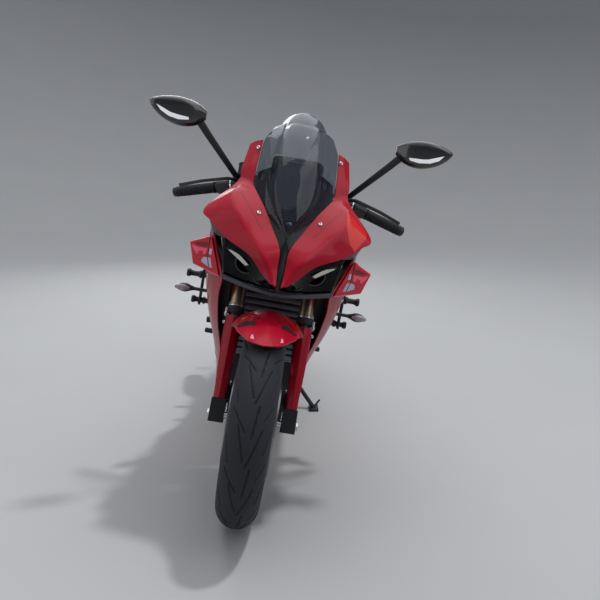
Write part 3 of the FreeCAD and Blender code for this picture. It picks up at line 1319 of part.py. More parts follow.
HUGGER_COLUMNS = (
    # x, radius from the rear axle
    (-94, 296), (-86, 316), (-50, 328), (0, 332), (50, 328), (86, 316), (94, 296),
)
HUGGER_FRONT, HUGGER_BACK = -60, 14


def make_hugger():
    """Build the guard over the rear tyre, which stands on the swingarm's posts."""
    rows = []
    for step in range(FENDER_ROWS):
        angle = math.radians(HUGGER_FRONT + (HUGGER_BACK - HUGGER_FRONT) * step / (FENDER_ROWS - 1))
        rows.append([
            (x, REAR_AXLE.y + away * math.sin(angle), REAR_AXLE.z + away * math.cos(angle))
            for x, away in HUGGER_COLUMNS
        ])
    shell = panel(rows, -3)
    keep("rear_hugger", feature("rear_hugger", shell))
    return shell


def make_exhaust():
    """Build the exhaust: two headers down the engine's face, a pipe under it and the silencer."""
    face = size("engine_front") - size("seat_gap")
    low = size("engine_low") - 34
    header = feature("exhaust_pipe", bent_tube([
        (-40, face, 480), (-40, 372, 480), (-40, 378, low), (-44, 690, low), (-152, 908, low),
        (-175, 1016, 304),
    ], 20, 32))
    second = feature("exhaust_header", bent_tube([
        (40, face, 480), (40, 372, 480), (40, 376, 300), (-36, 384, low + 6),
    ], 20, 32))
    silencer = feature("silencer", hull("XZ", [
        (1004, -172, 298, 60, 60, 28), (1060, -196, 330, 84, 110, 34), (1300, -210, 440, 84, 120, 34),
        (1340, -210, 458, 70, 96, 30),
    ]))
    keep("exhaust", fuse("exhaust", [header, second, silencer]))


def round_point(centre, radius, turn):
    """Return a point on a circle that lies in the plane of the chain."""
    return centre + Vector(0, radius * math.cos(turn), radius * math.sin(turn))


CHAIN_WIDTH = 13
CHAIN_DEEP = 11


def make_chain():
    """Build the drive chain as one closed loop round both sprockets."""
    front = Vector(0, size("front_sprocket_y"), size("front_sprocket_z"))
    back = Vector(0, REAR_AXLE.y, REAR_AXLE.z)
    small, large = size("front_sprocket_radius"), size("sprocket_radius") + 2
    loops = []
    for thick in (0, CHAIN_DEEP):
        a, b = small + thick, large + thick
        line = back - front
        angle = math.atan2(line.z, line.y)
        slip = math.asin((b - a) / line.Length)
        up = angle + math.pi / 2 + slip
        down = angle - math.pi / 2 - slip
        rear = [round_point(back, b, turn) for turn in (up, angle, down)]
        fore = [round_point(front, a, turn) for turn in (down, angle + math.pi, up)]
        edges = [
            Part.Arc(*rear).toShape(),
            Part.LineSegment(rear[2], fore[0]).toShape(),
            Part.Arc(*fore).toShape(),
            Part.LineSegment(fore[2], rear[0]).toShape(),
        ]
        loops.append(Part.Face(Part.Wire(edges)).extrude(Vector(CHAIN_WIDTH, 0, 0)))
    loop = loops[1].cut(loops[0])
    loop.translate(Vector(size("chain_x") - CHAIN_WIDTH / 2, 0, 0))
    keep("drive_chain", feature("drive_chain", loop))


make_wheels()
make_fork()
make_calipers()
make_controls()
make_mirrors()
make_fender()
make_frame()
make_stand()
make_engine()
make_nose()
make_headlamps()
make_liners()
make_fairings()
make_body()
make_signals()
make_feet()
make_rear()
doc.recompute()


def settle():
    """Set every sub-part down in its parked pose, the ground under its middle."""
    low, high = Vector(1e9, 1e9, 1e9), Vector(-1e9, -1e9, -1e9)
    for item, pose in NODES.values():
        item.Placement = pose
    doc.recompute()
    for item, pose in NODES.values():
        bounds = item.Shape.optimalBoundingBox(False, False)
        low = Vector(min(low.x, bounds.XMin), min(low.y, bounds.YMin), min(low.z, bounds.ZMin))
        high = Vector(max(high.x, bounds.XMax), max(high.y, bounds.YMax), max(high.z, bounds.ZMax))
    shift = Placement(Vector(-(low.x + high.x) / 2, -(low.y + high.y) / 2, -low.z), Rotation())
    for item, pose in NODES.values():
        item.Placement = shift * pose
    doc.recompute()
    return shift


def check():
    """Stop if an object failed or a sub-part is empty or broken."""
    for item in doc.Objects:
        if "Invalid" in item.State or "Error" in item.State:
            raise RuntimeError(f"{item.Label} failed: {item.getStatusString()}")
    for name, (item, pose) in NODES.items():
        if item.Shape.isNull() or not item.Shape.isValid() or not item.Shape.Solids:
            raise RuntimeError(f"{name} has no sound shape")


def export():
    """Write each sub-part to a STEP file of its own name."""
    os.makedirs("parts", exist_ok=True)
    for name, (item, pose) in NODES.items():
        item.Shape.exportStep(f"parts/{name}.step")


GROUNDED = settle()
check()
export()
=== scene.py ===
"""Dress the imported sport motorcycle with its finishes, fine pieces, light and camera.

Each piece is built in the bike's own millimetres, upright and with its bars straight:
X to the rider's left, Y to the rear and Z up, from the ground under the front axle.
One matrix for each body then leans and steers it into the parked pose.
"""

import json
import logging
import math
from dataclasses import dataclass, field
from enum import Enum
from typing import Callable, Iterable, Protocol, Sequence

import bmesh
import bpy
from mathutils import Matrix, Vector
from mathutils.bvhtree import BVHTree

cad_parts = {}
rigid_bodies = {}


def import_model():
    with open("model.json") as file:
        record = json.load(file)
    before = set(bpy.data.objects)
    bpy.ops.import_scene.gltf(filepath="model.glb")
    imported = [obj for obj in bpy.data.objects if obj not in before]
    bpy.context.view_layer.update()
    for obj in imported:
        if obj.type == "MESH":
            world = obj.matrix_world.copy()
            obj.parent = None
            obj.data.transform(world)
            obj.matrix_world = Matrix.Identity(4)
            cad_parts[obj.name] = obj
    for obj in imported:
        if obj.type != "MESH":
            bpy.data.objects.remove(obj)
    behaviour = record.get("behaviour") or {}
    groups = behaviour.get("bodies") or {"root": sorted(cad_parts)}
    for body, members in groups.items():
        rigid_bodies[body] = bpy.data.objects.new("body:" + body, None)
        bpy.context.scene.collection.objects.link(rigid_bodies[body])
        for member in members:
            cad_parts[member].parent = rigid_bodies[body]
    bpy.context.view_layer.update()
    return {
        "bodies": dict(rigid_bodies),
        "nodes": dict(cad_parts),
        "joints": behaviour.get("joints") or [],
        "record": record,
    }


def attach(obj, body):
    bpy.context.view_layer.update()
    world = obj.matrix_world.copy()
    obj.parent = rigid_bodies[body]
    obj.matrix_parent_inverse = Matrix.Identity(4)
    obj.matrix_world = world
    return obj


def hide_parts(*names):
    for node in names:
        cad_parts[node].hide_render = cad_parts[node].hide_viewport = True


LOG = logging.getLogger("sport_bike")
# One millimetre in the frame's metres.
MM = 0.001
Pair = tuple[float, float]
Point = tuple[float, float, float] | Vector
# A bolt's place, its direction and the radius of its head.
BoltRow = tuple[Point, Point, float]


# Finishes


def linear(code: str) -> tuple[float, float, float, float]:
    """Turn an sRGB hex colour into linear light.

    Args:
        code: the colour, as in "#b4121f".

    Returns:
        Red, green, blue and an alpha of one.
    """
    parts = [int(code[place:place + 2], 16) / 255 for place in (1, 3, 5)]
    light = [c / 12.92 if c <= 0.04045 else ((c + 0.055) / 1.055) ** 2.4 for c in parts]
    return light[0], light[1], light[2], 1.0


def add_node(
    tree: bpy.types.NodeTree,
    kind: str,
    settings: dict | None = None,
    inputs: dict | None = None,
) -> bpy.types.Node:
    """Add a node, set it up and link it.

    Args:
        tree: the tree that gets the node.
        kind: Blender's name for the node's type.
        settings: properties of the node.
        inputs: for each socket, by name or number, a value or the output that feeds it.

    Returns:
        The new node.
    """
    node = tree.nodes.new(kind)
    for key, value in (settings or {}).items():
        setattr(node, key, value)
    for key, value in (inputs or {}).items():
        if isinstance(value, bpy.types.NodeSocket):
            tree.links.new(value, node.inputs[key])
        else:
            node.inputs[key].default_value = value
    return node


class Grain(Enum):
    """How a surface was made, which gives it its fine relief."""

    SPRAYED = "sprayed"
    MOULDED = "moulded"
    CAST = "cast"
    BRUSHED = "brushed"
    PRESSED = "pressed"
    POLISHED = "polished"


@dataclass(frozen=True)
class Finish:
    """One finish of the bike, from the material it is and how it was worked.

    Attributes:
        name: the finish in a maker's words.
        slot: the record's material slot that it belongs to.
        colour: the main colour.
        drift: a second colour that drifts through the first, as dust and wear give.
        roughness: mean roughness of the base.
        grain: how the surface was made.
        grain_mm: size of one grain of its relief.
        relief_mm: height of the relief.
        drift_mm: size of the drifting patches.
        spread: how far the roughness wanders either way.
        metallic: one for a bare metal.
        ior: index of refraction; a metal keeps the default.
        coat: weight of a clear lacquer over it.
        clear: share of light that passes through.
        glow: strength of a lit lamp.
    """

    name: str
    slot: str
    colour: str
    drift: str
    roughness: float
    grain: Grain = Grain.MOULDED
    grain_mm: float = 1.2
    relief_mm: float = 0.05
    drift_mm: float = 90.0
    spread: float = 0.06
    metallic: float = 0.0
    ior: float = 1.5
    coat: float = 0.0
    clear: float = 0.0
    glow: float = 0.0

    def material(self) -> bpy.types.Material:
        """Return the finish's material, made on its first use.

        Returns:
            The material.
        """
        made = bpy.data.materials.get(self.name)
        if made is None:
            made = bpy.data.materials.new(self.name)
            made.use_nodes = True
            made.node_tree.nodes.clear()
            self._lay(made.node_tree)
            made.diffuse_color = linear(self.colour)
        return made

    def _lay(self, tree: bpy.types.NodeTree) -> None:
        """Build the nodes: drifting colour, wandering roughness and the grain's relief.

        Args:
            tree: the material's empty node tree.
        """
        place = add_node(tree, "ShaderNodeTexCoord")
        where = place.outputs["Object"]
        patches = add_node(
            tree, "ShaderNodeTexNoise", None,
            {"Vector": where, "Scale": 1 / (self.drift_mm * MM), "Detail": 4.0, "Roughness": 0.6},
        )
        colour = add_node(
            tree, "ShaderNodeMix", {"data_type": "RGBA"},
            {0: patches.outputs["Fac"], 6: linear(self.colour), 7: linear(self.drift)},
        )
        rough = add_node(
            tree, "ShaderNodeMapRange", None,
            {"Value": patches.outputs["Fac"], "To Min": max(self.roughness - self.spread, 0.01),
             "To Max": min(self.roughness + self.spread, 1.0)},
        )
        shader = add_node(
            tree, "ShaderNodeBsdfPrincipled", None,
            {"Base Color": colour.outputs[2], "Roughness": rough.outputs[0], "Metallic": self.metallic,
             "IOR": self.ior, "Coat Weight": self.coat, "Coat Roughness": 0.03,
             "Transmission Weight": self.clear},
        )
        if self.glow:
            shader.inputs["Emission Color"].default_value = linear(self.colour)
            shader.inputs["Emission Strength"].default_value = self.glow
        relief = self._relief(tree, where)
        if relief is not None:
            bump = add_node(
                tree, "ShaderNodeBump", None,
                {"Height": relief, "Strength": 1.0, "Distance": self.relief_mm * MM},
            )
            tree.links.new(bump.outputs[0], shader.inputs["Normal"])
        add_node(tree, "ShaderNodeOutputMaterial", None, {"Surface": shader.outputs[0]})

    def _relief(self, tree: bpy.types.NodeTree, where: bpy.types.NodeSocket) -> bpy.types.NodeSocket | None:
        """Lay the pattern of the grain.

        Args:
            tree: the material's nodes.
            where: object coordinates in metres.

        Returns:
            The socket with the height, or None for a polished surface.
        """
        scale = 1 / (self.grain_mm * MM)
        if self.grain is Grain.POLISHED:
            return None
        if self.grain is Grain.BRUSHED:
            # Belt scratches are long one way, so the noise is drawn out tenfold along Y.
            drawn = add_node(tree, "ShaderNodeMapping", None, {"Vector": where, "Scale": (1.0, 0.1, 1.0)})
            where = drawn.outputs[0]
        if self.grain in (Grain.CAST, Grain.PRESSED):
            cells = add_node(
                tree, "ShaderNodeTexVoronoi", {"feature": "F1"}, {"Vector": where, "Scale": scale},
            )
            return cells.outputs["Distance"]
        detail = 1.0 if self.grain is Grain.SPRAYED else 5.0
        noise = add_node(
            tree, "ShaderNodeTexNoise", None, {"Vector": where, "Scale": scale, "Detail": detail},
        )
        return noise.outputs["Fac"]


# Filled rubber: dark, a little blue where it is clean, matt with a soft sheen.
TYRE_RUBBER = Finish("tyre_rubber", "tyre", "#171a21", "#20242c", 0.74, Grain.MOULDED, 1.6, 0.12, 45)
# Polyurethane enamel over ABS: deep red under clear lacquer, with a trace of orange peel.
RED_ENAMEL = Finish("red_enamel", "gloss_red", "#a00322", "#94031e", 0.36, Grain.SPRAYED, 5.0, 0.02, 160,
                    0.03, ior=1.27, coat=0.2)
# Black lacquer on the mirror shells.
BLACK_ENAMEL = Finish("black_enamel", "gloss_black", "#0b0c0f", "#101116", 0.28, Grain.SPRAYED, 5.0, 0.02,
                      120, 0.03, coat=1.0)
# Satin ABS, as moulded: a fine spark-eroded skin that keeps it from shining.
BLACK_ABS = Finish("black_abs", "dark_plastic", "#15171d", "#1c1f26", 0.42, Grain.MOULDED, 1.0, 0.05)
# Powder-coated casting: a soft pebble under a half-gloss black.
BLACK_POWDER = Finish("black_powder_coat", "cast_black", "#0e0f12", "#17181c", 0.45, Grain.CAST, 1.6, 0.08,
                      60)
# The frame's powder coat: a shade lighter, with a wider pebble.
FRAME_POWDER = Finish("frame_powder_coat", "frame_black", "#121316", "#1b1c20", 0.4, Grain.CAST, 1.8, 0.08,
                      80)
# Baked enamel of the rims, which takes a soft highlight along each spoke.
WHEEL_ENAMEL = Finish("wheel_enamel_black", "wheel_enamel", "#101114", "#17191d", 0.34, Grain.SPRAYED, 4.0,
                      0.02, 90, 0.05, coat=0.6)
# Hard anodised aluminium: a bronze film over drawn tube.
BRONZE_TUBE = Finish("bronze_anodised_tube", "bronze_anodised", "#8a7a66", "#9b8b77", 0.3, Grain.BRUSHED,
                     0.8, 0.02, 70, 0.06, metallic=1.0)
# Ground stainless steel of the discs.
DISC_STEEL = Finish("ground_stainless", "disc_steel", "#a9aaac", "#8f9092", 0.3, Grain.BRUSHED, 0.7, 0.03,
                    50, 0.08, metallic=1.0)
# Zinc-plated steel: axle ends, bolts and pins.
BRIGHT_STEEL = Finish("bright_zinc_steel", "axle_steel", "#c9cacd", "#b0b2b5", 0.22, Grain.BRUSHED, 0.6,
                      0.02, 30, 0.06, metallic=1.0)
# Oiled steel of the chain and sprocket: brown in the joints and worn bright on the plates.
CHAIN_STEEL = Finish("oiled_chain_steel", "chain_steel", "#6f6659", "#8b8171", 0.36, Grain.CAST, 1.2, 0.04,
                     20, 0.1, metallic=1.0)
# Brushed stainless, straw coloured where the heat has reached it.
EXHAUST_STEEL = Finish("heated_stainless", "exhaust_steel", "#8d8478", "#6d655d", 0.34, Grain.BRUSHED, 0.9,
                       0.03, 120, 0.08, metallic=1.0)
# Magnesium paint on the engine castings.
ENGINE_PAINT = Finish("engine_casting_paint", "engine_metal", "#2c2d30", "#3a3b3e", 0.5, Grain.CAST, 2.0,
                      0.12, 70)
# Flat paint on the radiator's core, so that the slats stand out from it.
RADIATOR_BLACK = Finish("radiator_black_paint", "radiator_black", "#0d0e11", "#1a1c20", 0.55, Grain.MOULDED,
                        1.0, 0.03, 30)
# Open-cell rubber of the grips.
GRIP_RUBBER = Finish("grip_rubber_black", "grip_rubber", "#16171a", "#222327", 0.7, Grain.CAST, 1.0, 0.08, 30)
# Bead-blasted and anodised levers and weights: an even, dull black.
CONTROL_BLACK = Finish("control_anodised_black", "control_black", "#0e0f11", "#191a1d", 0.36, Grain.CAST,
                       1.2, 0.04, 40, 0.08)
# Smoke polycarbonate: it darkens what is behind it and shines like glass.
SMOKE_SCREEN = Finish("smoke_polycarbonate", "screen_tint", "#8f949c", "#9ba0a8", 0.02, Grain.POLISHED,
                      1.0, 0.0, 300, 0.01, ior=1.34, clear=0.97)
# Hard-coated clear lens over a lamp.
CLEAR_LENS = Finish("clear_lens", "lamp_clear", "#dfe3e8", "#e8ebee", 0.03, Grain.POLISHED, 1.0, 0.0, 200,
                    0.02, ior=1.58, clear=0.95)
# Milky light guide: a warm off-white bar in the dark pod.
CREAM_STRIP = Finish("cream_light_guide", "lamp_clear", "#c9c6ba", "#d8d5c8", 0.35, Grain.POLISHED, 1.0,
                     0.0, 40, 0.05, ior=1.49)
# Red acrylic of the tail light: deep and glassy.
RED_LENS = Finish("red_lamp_lens", "lamp_red", "#7a0710", "#8d0a15", 0.08, Grain.POLISHED, 1.0, 0.0, 30,
                  0.03, ior=1.49, coat=1.0)
# Smoke acrylic of the ribbed duct behind the screen.
SMOKE_LENS = Finish("smoke_lamp_lens", "lamp_smoke", "#5d6068", "#777a82", 0.12, Grain.POLISHED, 1.0, 0.0,
                    20, 0.05, ior=1.49, coat=1.0)
# Vinyl seat cover: pressed pebble, soft sheen.
SEAT_VINYL = Finish("seat_vinyl", "seat_cover", "#141416", "#1d1d20", 0.62, Grain.PRESSED, 1.8, 0.14, 70)
# Powder-coated coil: a darker, plainer red than the panels.
SPRING_RED = Finish("spring_red_powder", "spring_red", "#8f0d16", "#a3121d", 0.35, Grain.SPRAYED, 3.0, 0.02,
                    40, 0.04, coat=0.5)
# Chromed steel: lamp reflectors, the knob behind the screen and the fairing screws.
CHROME = Finish("chrome_plate", "axle_steel", "#d9dadd", "#cfd1d4", 0.08, Grain.POLISHED, 1.0, 0.0, 40, 0.03,
                metallic=1.0)
# Self-adhesive white vinyl of the pale panels on the winglets, in a lilac grey that is painted shade.
WHITE_VINYL_SHADED = Finish("white_vinyl_painted_shade", "gloss_red", "#b9aed0", "#c6bcd9", 0.3, Grain.SPRAYED, 6.0, 0.01, 60,
                     0.03, coat=0.8)
# The same vinyl in faded pink, on the mudguard's small tabs.
PINK_VINYL = Finish("pink_vinyl", "gloss_red", "#d6899a", "#df97a6", 0.3, Grain.SPRAYED, 6.0, 0.01, 60,
                    0.03, coat=0.8)
# Black glass of the display, which mirrors the sky.
DISPLAY = Finish("display_glass", "screen_tint", "#07090c", "#0b0e12", 0.06, Grain.POLISHED, 1.0, 0.0, 60,
                 0.02, coat=1.0)
# Silvered glass of the mirrors: it shows its surroundings sharply.
MIRROR_GLASS = Finish("mirror_glass", "axle_steel", "#e6e8ea", "#e2e4e6", 0.02, Grain.POLISHED, 1.0, 0.0, 90,
                      0.01, metallic=1.0)
# Mid grey ABS of the bar under the lamps: it reads paler than the panels' black.
LIP_GREY = Finish("grey_abs", "dark_plastic", "#3d4048", "#484b53", 0.45, Grain.MOULDED, 1.0, 0.05)
# Painted light: the radiator's slats in a pale grey, for the light from above that they catch.
SLAT_PAINTED_LIGHT = Finish("slat_painted_light", "radiator_black", "#8b93a1", "#989fab", 0.4, Grain.MOULDED, 1.2, 0.04, 40)
# Cast and machined calipers and covers, in dark grey anodising.
CALIPER_GREY = Finish("caliper_anodised", "cast_black", "#1b1c20", "#26272b", 0.38, Grain.CAST, 1.2, 0.05, 50)
# Smoke tinted covers over the lamps: dark behind, glassy in front.
LAMP_COVER = Finish("tinted_lamp_cover", "lamp_smoke", "#33373f", "#393d46", 0.03, Grain.POLISHED, 1.0, 0.0,
                    200, 0.01, ior=1.16, clear=0.97)
# Near black lining of the lamp pod, which swallows the light.
PIT_BLACK = Finish("lamp_pit_black", "dark_plastic", "#050609", "#08090c", 0.35, Grain.MOULDED, 1.0, 0.03)
# Navy ABS of the cowl that shows through the screen.
NAVY_ABS = Finish("navy_abs", "dark_plastic", "#1a2550", "#1f2a58", 0.5, Grain.MOULDED, 1.0, 0.02)
# Smooth ABS of the nose band: black with a trace of blue.
BAND_BLACK = Finish("band_black", "dark_plastic", "#07090f", "#0b0e15", 0.3, Grain.MOULDED, 1.0, 0.02,
                    ior=1.3)
# Enamel of the winglets, which stand in the light: a brighter red than the fairings.
WING_RED = Finish("wing_red", "gloss_red", "#cf0a24", "#c40921", 0.34, Grain.SPRAYED, 5.0, 0.02, 160, 0.03,
                  ior=1.36, coat=0.4)
# Prismatic lens of the turn signals: pale smoke that glints in small facets.
SIGNAL_LENS = Finish("signal_lens", "lamp_smoke", "#8d8790", "#a09aa3", 0.18, Grain.PRESSED, 3.0, 0.25, 20,
                     0.05, ior=1.49, coat=1.0)
# Off-white paint of the blank plate.
PLATE_WHITE = Finish("blank_plate_paint", "dark_plastic", "#d5d6d4", "#cccdcb", 0.4, Grain.SPRAYED, 4.0,
                     0.02, 60)
# Liquid crystal segments: pale bars, faintly lit from behind.
DISPLAY_BARS = Finish("display_segments", "screen_tint", "#9fb3ba", "#a9bcc2", 0.4, Grain.POLISHED, 1.0, 0.0,
                      60, 0.02, glow=0.35)
# Painted light: a bright red-orange for the red enamel where the sun falls, on the outermost facets of the
# nose and as a highlight along the mudguard's ridges.
SUNLIT_RED = Finish("red_painted_sunlight", "gloss_red", "#c9170e", "#c0150d", 0.34, Grain.SPRAYED, 5.0, 0.02, 160,
                      0.03, ior=1.36, coat=0.42)
# Painted shade: dull dark red, the panels' red in shade, laid in the winglets' notches and along the crease
# on each cheek.
RED_IN_SHADE = Finish("red_painted_shade", "gloss_red", "#72091a", "#7a0b1c", 0.5, Grain.MOULDED, 1.0, 0.02)
# Bright pink enamel of one panel on each winglet.
HUSH_PINK = Finish("pink_enamel", "gloss_red", "#ff3560", "#ff4a70", 0.3, Grain.SPRAYED, 5.0, 0.01, 60, 0.03,
                   coat=0.8)
# Painted highlight: a glowing silver-white crescent on each mirror's black shell, where it reflects the sky.
MIRROR_PAINTED_HIGHLIGHT = Finish("painted_mirror_highlight", "axle_steel", "#eef1f5", "#e6e9ee", 0.25, Grain.POLISHED, 1.0,
                       0.0, 60, 0.03, glow=0.3)
# Shadow gap between two panels.
SEAM_DARK = Finish("seam_shadow", "dark_plastic", "#120609", "#1c0a0e", 0.7, Grain.MOULDED, 1.0, 0.02)
# Red anodised fork caps.
CONTROL_RED = Finish("red_anodised", "bronze_anodised", "#a01622", "#8a101b", 0.25, Grain.BRUSHED, 0.6, 0.02,
                     30, 0.05, metallic=1.0)
# Studio floor: matt painted board.
FLOOR_PAINT = Finish("studio_floor", "", "#9b9c9e", "#a1a2a4", 0.85, Grain.MOULDED, 4.0, 0.05, 700)

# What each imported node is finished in.
NODE_FINISHES = {
    "frame": FRAME_POWDER, "subframe": FRAME_POWDER, "swingarm": FRAME_POWDER, "engine_block": ENGINE_PAINT,
    "radiator": RADIATOR_BLACK, "nose_cheeks": RED_ENAMEL, "side_fairings": RED_ENAMEL,
    "winglets": WING_RED, "front_fender": RED_ENAMEL, "fuel_tank": RED_ENAMEL, "tail_cowl": RED_ENAMEL,
    "nose_band": BAND_BLACK, "headlamp_pod": PIT_BLACK, "instrument_panel": BLACK_ABS,
    "windscreen": SMOKE_SCREEN, "headlamps": CLEAR_LENS, "tail_light": RED_LENS, "turn_signals": BLACK_ABS,
    "rider_seat": SEAT_VINYL, "pillion_seat": SEAT_VINYL, "plate_holder": BLACK_ABS,
    "slider_guards": BLACK_ABS, "footrests": BLACK_POWDER, "foot_pedals": BLACK_POWDER,
    "rear_shock": SPRING_RED, "drive_chain": CHAIN_STEEL, "rear_caliper": BLACK_POWDER,
    "exhaust": EXHAUST_STEEL, "rear_axle": BRIGHT_STEEL, "front_axle": BRIGHT_STEEL,
    "triple_clamps": BLACK_POWDER, "fork_tubes": BRONZE_TUBE, "fork_lowers": BLACK_POWDER,
    "front_calipers": BLACK_POWDER, "handlebars": BLACK_POWDER, "grips": GRIP_RUBBER,
    "controls": CONTROL_BLACK, "mirrors": BLACK_ENAMEL, "front_tyre": TYRE_RUBBER,
    "rear_tyre": TYRE_RUBBER, "front_rim": WHEEL_ENAMEL, "rear_rim": WHEEL_ENAMEL,
    "front_discs": DISC_STEEL, "rear_disc": DISC_STEEL, "rear_sprocket": CHAIN_STEEL,
    "side_stand": BLACK_POWDER, "inner_panels": BLACK_ABS,
    "airbox": BLACK_ABS, "undertray": BLACK_ABS, "rear_hugger": BLACK_ABS,
}


# Shapes


def basis(origin: Point, way: Point) -> Matrix:
    """Return a frame at origin whose Z lies along way."""
    turn = Vector(way).to_track_quat("Z", "Y").to_matrix().to_4x4()
    return Matrix.Translation(Vector(origin)) @ turn


@dataclass
class Form:
    """Points and faces of one shape, in millimetres."""

    points: list[Vector] = field(default_factory=list)
    faces: list[tuple[int, ...]] = field(default_factory=list)

    def add(self, other: "Form") -> "Form":
        """Take another shape into this one and return this one.

        Args:
            other: the shape to take in.

        Returns:
            This shape.
        """
        shift = len(self.points)
        self.points += other.points
        self.faces += [tuple(corner + shift for corner in face) for face in other.faces]
        return self

    def placed(self, matrix: Matrix) -> "Form":
        """Return a copy moved by a matrix."""
        return Form([matrix @ point for point in self.points], list(self.faces))

    def mirrored(self) -> "Form":
        """Return the copy for the other side of the bike."""
        points = [Vector((-point.x, point.y, point.z)) for point in self.points]
        return Form(points, [tuple(reversed(face)) for face in self.faces])

    def both_sides(self) -> "Form":
        """Return this shape with its copy for the other side."""
        return Form(list(self.points), list(self.faces)).add(self.mirrored())

    @classmethod
    def loft(cls, rings: Sequence[Sequence[Point]], closed: bool = True, caps: bool = True) -> "Form":
        """Join rings of equal counts into a skin.

        Args:
            rings: the sections, in order.
            closed: whether each ring closes on itself.
            caps: whether the first and last rings get a face.

        Returns:
            The joined shape.
        """
        count = len(rings[0])
        form = cls([Vector(point) for ring in rings for point in ring])
        for row in range(len(rings) - 1):
            for step in range(count if closed else count - 1):
                one, two = row * count + step, row * count + (step + 1) % count
                form.faces.append((one, two, two + count, one + count))
        if caps:
            last = (len(rings) - 1) * count
            form.faces.append(tuple(reversed(range(count))))
            form.faces.append(tuple(range(last, last + count)))
        return form

    @classmethod
    def lathe(cls, profile: Sequence[Pair], start: Point, way: Point, sides: int = 28) -> "Form":
        """Turn a profile of radius and station about a line, closed at both ends."""
        return cls.loft(turned(profile, sides)).placed(basis(start, way))

    @classmethod
    def tube(cls, route: Sequence[Point], radius: float, sides: int = 12, fine: int = 6) -> "Form":
        """Sweep a round section along a smooth line through some points.

        Args:
            route: the points that the line passes.
            radius: the section's radius.
            sides: facets round.
            fine: steps between two points.

        Returns:
            The swept shape, closed at both ends.
        """
        line = smooth_line(route, fine)
        rings = []
        side = Vector((1, 0, 0))
        for place, spot in enumerate(line):
            way = (line[min(place + 1, len(line) - 1)] - line[max(place - 1, 0)]).normalized()
            side = side - way * side.dot(way)
            side = side.normalized() if side.length > 0.01 else way.orthogonal().normalized()
            up = way.cross(side)
            turns = [2 * math.pi * step / sides for step in range(sides)]
            rings.append([spot + radius * (math.cos(t) * side + math.sin(t) * up) for t in turns])
        return cls.loft(rings)

    @classmethod
    def slab(cls, outline: Sequence[Pair], thick: float, frame: Matrix) -> "Form":
        """Raise a flat outline in the frame's XY plane into a slab, half its thickness each way."""
        rings = [[(x, y, z) for x, y in outline] for z in (-thick / 2, thick / 2)]
        return cls.loft(rings).placed(frame)


def smooth_line(route: Sequence[Point], fine: int) -> list[Vector]:
    """Round a run of points into a smooth line through them all.

    Args:
        route: the points.
        fine: steps between two points.

    Returns:
        The points of the line.
    """
    spots = [Vector(point) for point in route]
    if len(spots) < 3:
        return spots
    ends = [spots[0] * 2 - spots[1]] + spots + [spots[-1] * 2 - spots[-2]]
    line = []
    for place in range(1, len(ends) - 2):
        a, b, c, d = ends[place - 1:place + 3]
        for step in range(fine):
            t = step / fine
            line.append(0.5 * (2 * b + (c - a) * t + (2 * a - 5 * b + 4 * c - d) * t * t
                               + (3 * b - a - 3 * c + d) * t ** 3))
    return line + [spots[-1]]


def eased_line(row: Sequence[Point], runs: int, soft: float) -> list[Vector]:
    """Round the corners of a bent line, and divide its straight runs.

    Args:
        row: the line's corners.
        runs: steps along each straight run.
        soft: how far from a corner its rounding begins, in millimetres.

    Returns:
        The points, as many for every line of as many corners.
    """
    spots = [Vector(point) for point in row]
    line = [spots[0]]
    for place in range(1, len(spots) - 1):
        corner = spots[place]
        before, after = spots[place - 1] - corner, spots[place + 1] - corner
        start = corner + before * min(soft / max(before.length, 1e-6), 0.45)
        end = corner + after * min(soft / max(after.length, 1e-6), 0.45)
        last = line[-1]
        line += [last.lerp(start, step / runs) for step in range(1, runs)]
        for step in range(5):
            t = step / 4
            line.append(start * (1 - t) ** 2 + corner * 2 * t * (1 - t) + end * t * t)
    last = line[-1]
    return line + [last.lerp(spots[-1], step / runs) for step in range(1, runs + 1)]


def smooth_rows(rows: Sequence[Sequence[Point]], fine: int) -> list[list[Vector]]:
    """Return a finer run of rows, with fine smooth steps from each given row to the next."""
    columns = [smooth_line([row[place] for row in rows], fine) for place in range(len(rows[0]))]
    return [list(row) for row in zip(*columns)]


def fine_rows(rows: Sequence[Sequence[Point]], along: int, runs: int, soft: float) -> list[list[Vector]]:
    """Return a finer grid: smooth along the rows, each crease across rounded within soft mm."""
    return [eased_line(row, runs, soft) for row in smooth_rows(rows, along)]


def squircle(half_a: float, half_b: float, power: float, sides: int) -> list[Pair]:
    """Return a closed section between an ellipse and a rectangle.

    Args:
        half_a: half its width.
        half_b: half its height.
        power: two gives an ellipse, more gives fuller corners.
        sides: corners round.

    Returns:
        The corners.
    """
    line = []
    for step in range(sides):
        turn = 2 * math.pi * step / sides
        a, b = math.cos(turn), math.sin(turn)
        line.append((math.copysign(abs(a) ** (2 / power), a) * half_a,
                     math.copysign(abs(b) ** (2 / power), b) * half_b))
    return line


def circle(radius: float, sides: int) -> list[Pair]:
    """Return the corners of a regular outline round the origin."""
    turns = [2 * math.pi * step / sides for step in range(sides)]
    return [(radius * math.cos(turn), radius * math.sin(turn)) for turn in turns]


def turned(profile: Sequence[Pair], sides: int) -> list[list[Point]]:
    """Return the rings that a profile of radius and station sweeps about Z."""
    return [[(a, b, station) for a, b in circle(radius, sides)] for radius, station in profile]


def ring_form(profile: Sequence[Pair], start: Point, way: Point, sides: int = 36) -> Form:
    """Turn a closed profile of radius and station about a line into a ring."""
    rings = turned([*profile, profile[0]], sides)
    return Form.loft(rings, caps=False).placed(basis(start, way))


def block(centre: Point, sides: Point, soft: float = 3.0, turn: Matrix | None = None) -> Form:
    """Return a block whose upright edges are rounded.

    Args:
        centre: its middle.
        sides: its three sides.
        soft: radius of the upright edges.
        turn: how it is turned about its middle.

    Returns:
        The block.
    """
    a, b, c = (side / 2 for side in sides)
    outline = soft_corners([(-a, -b), (a, -b), (a, b), (-a, b)], soft)
    return Form.slab(outline, 2 * c, Matrix.Translation(Vector(centre)) @ (turn or Matrix()))


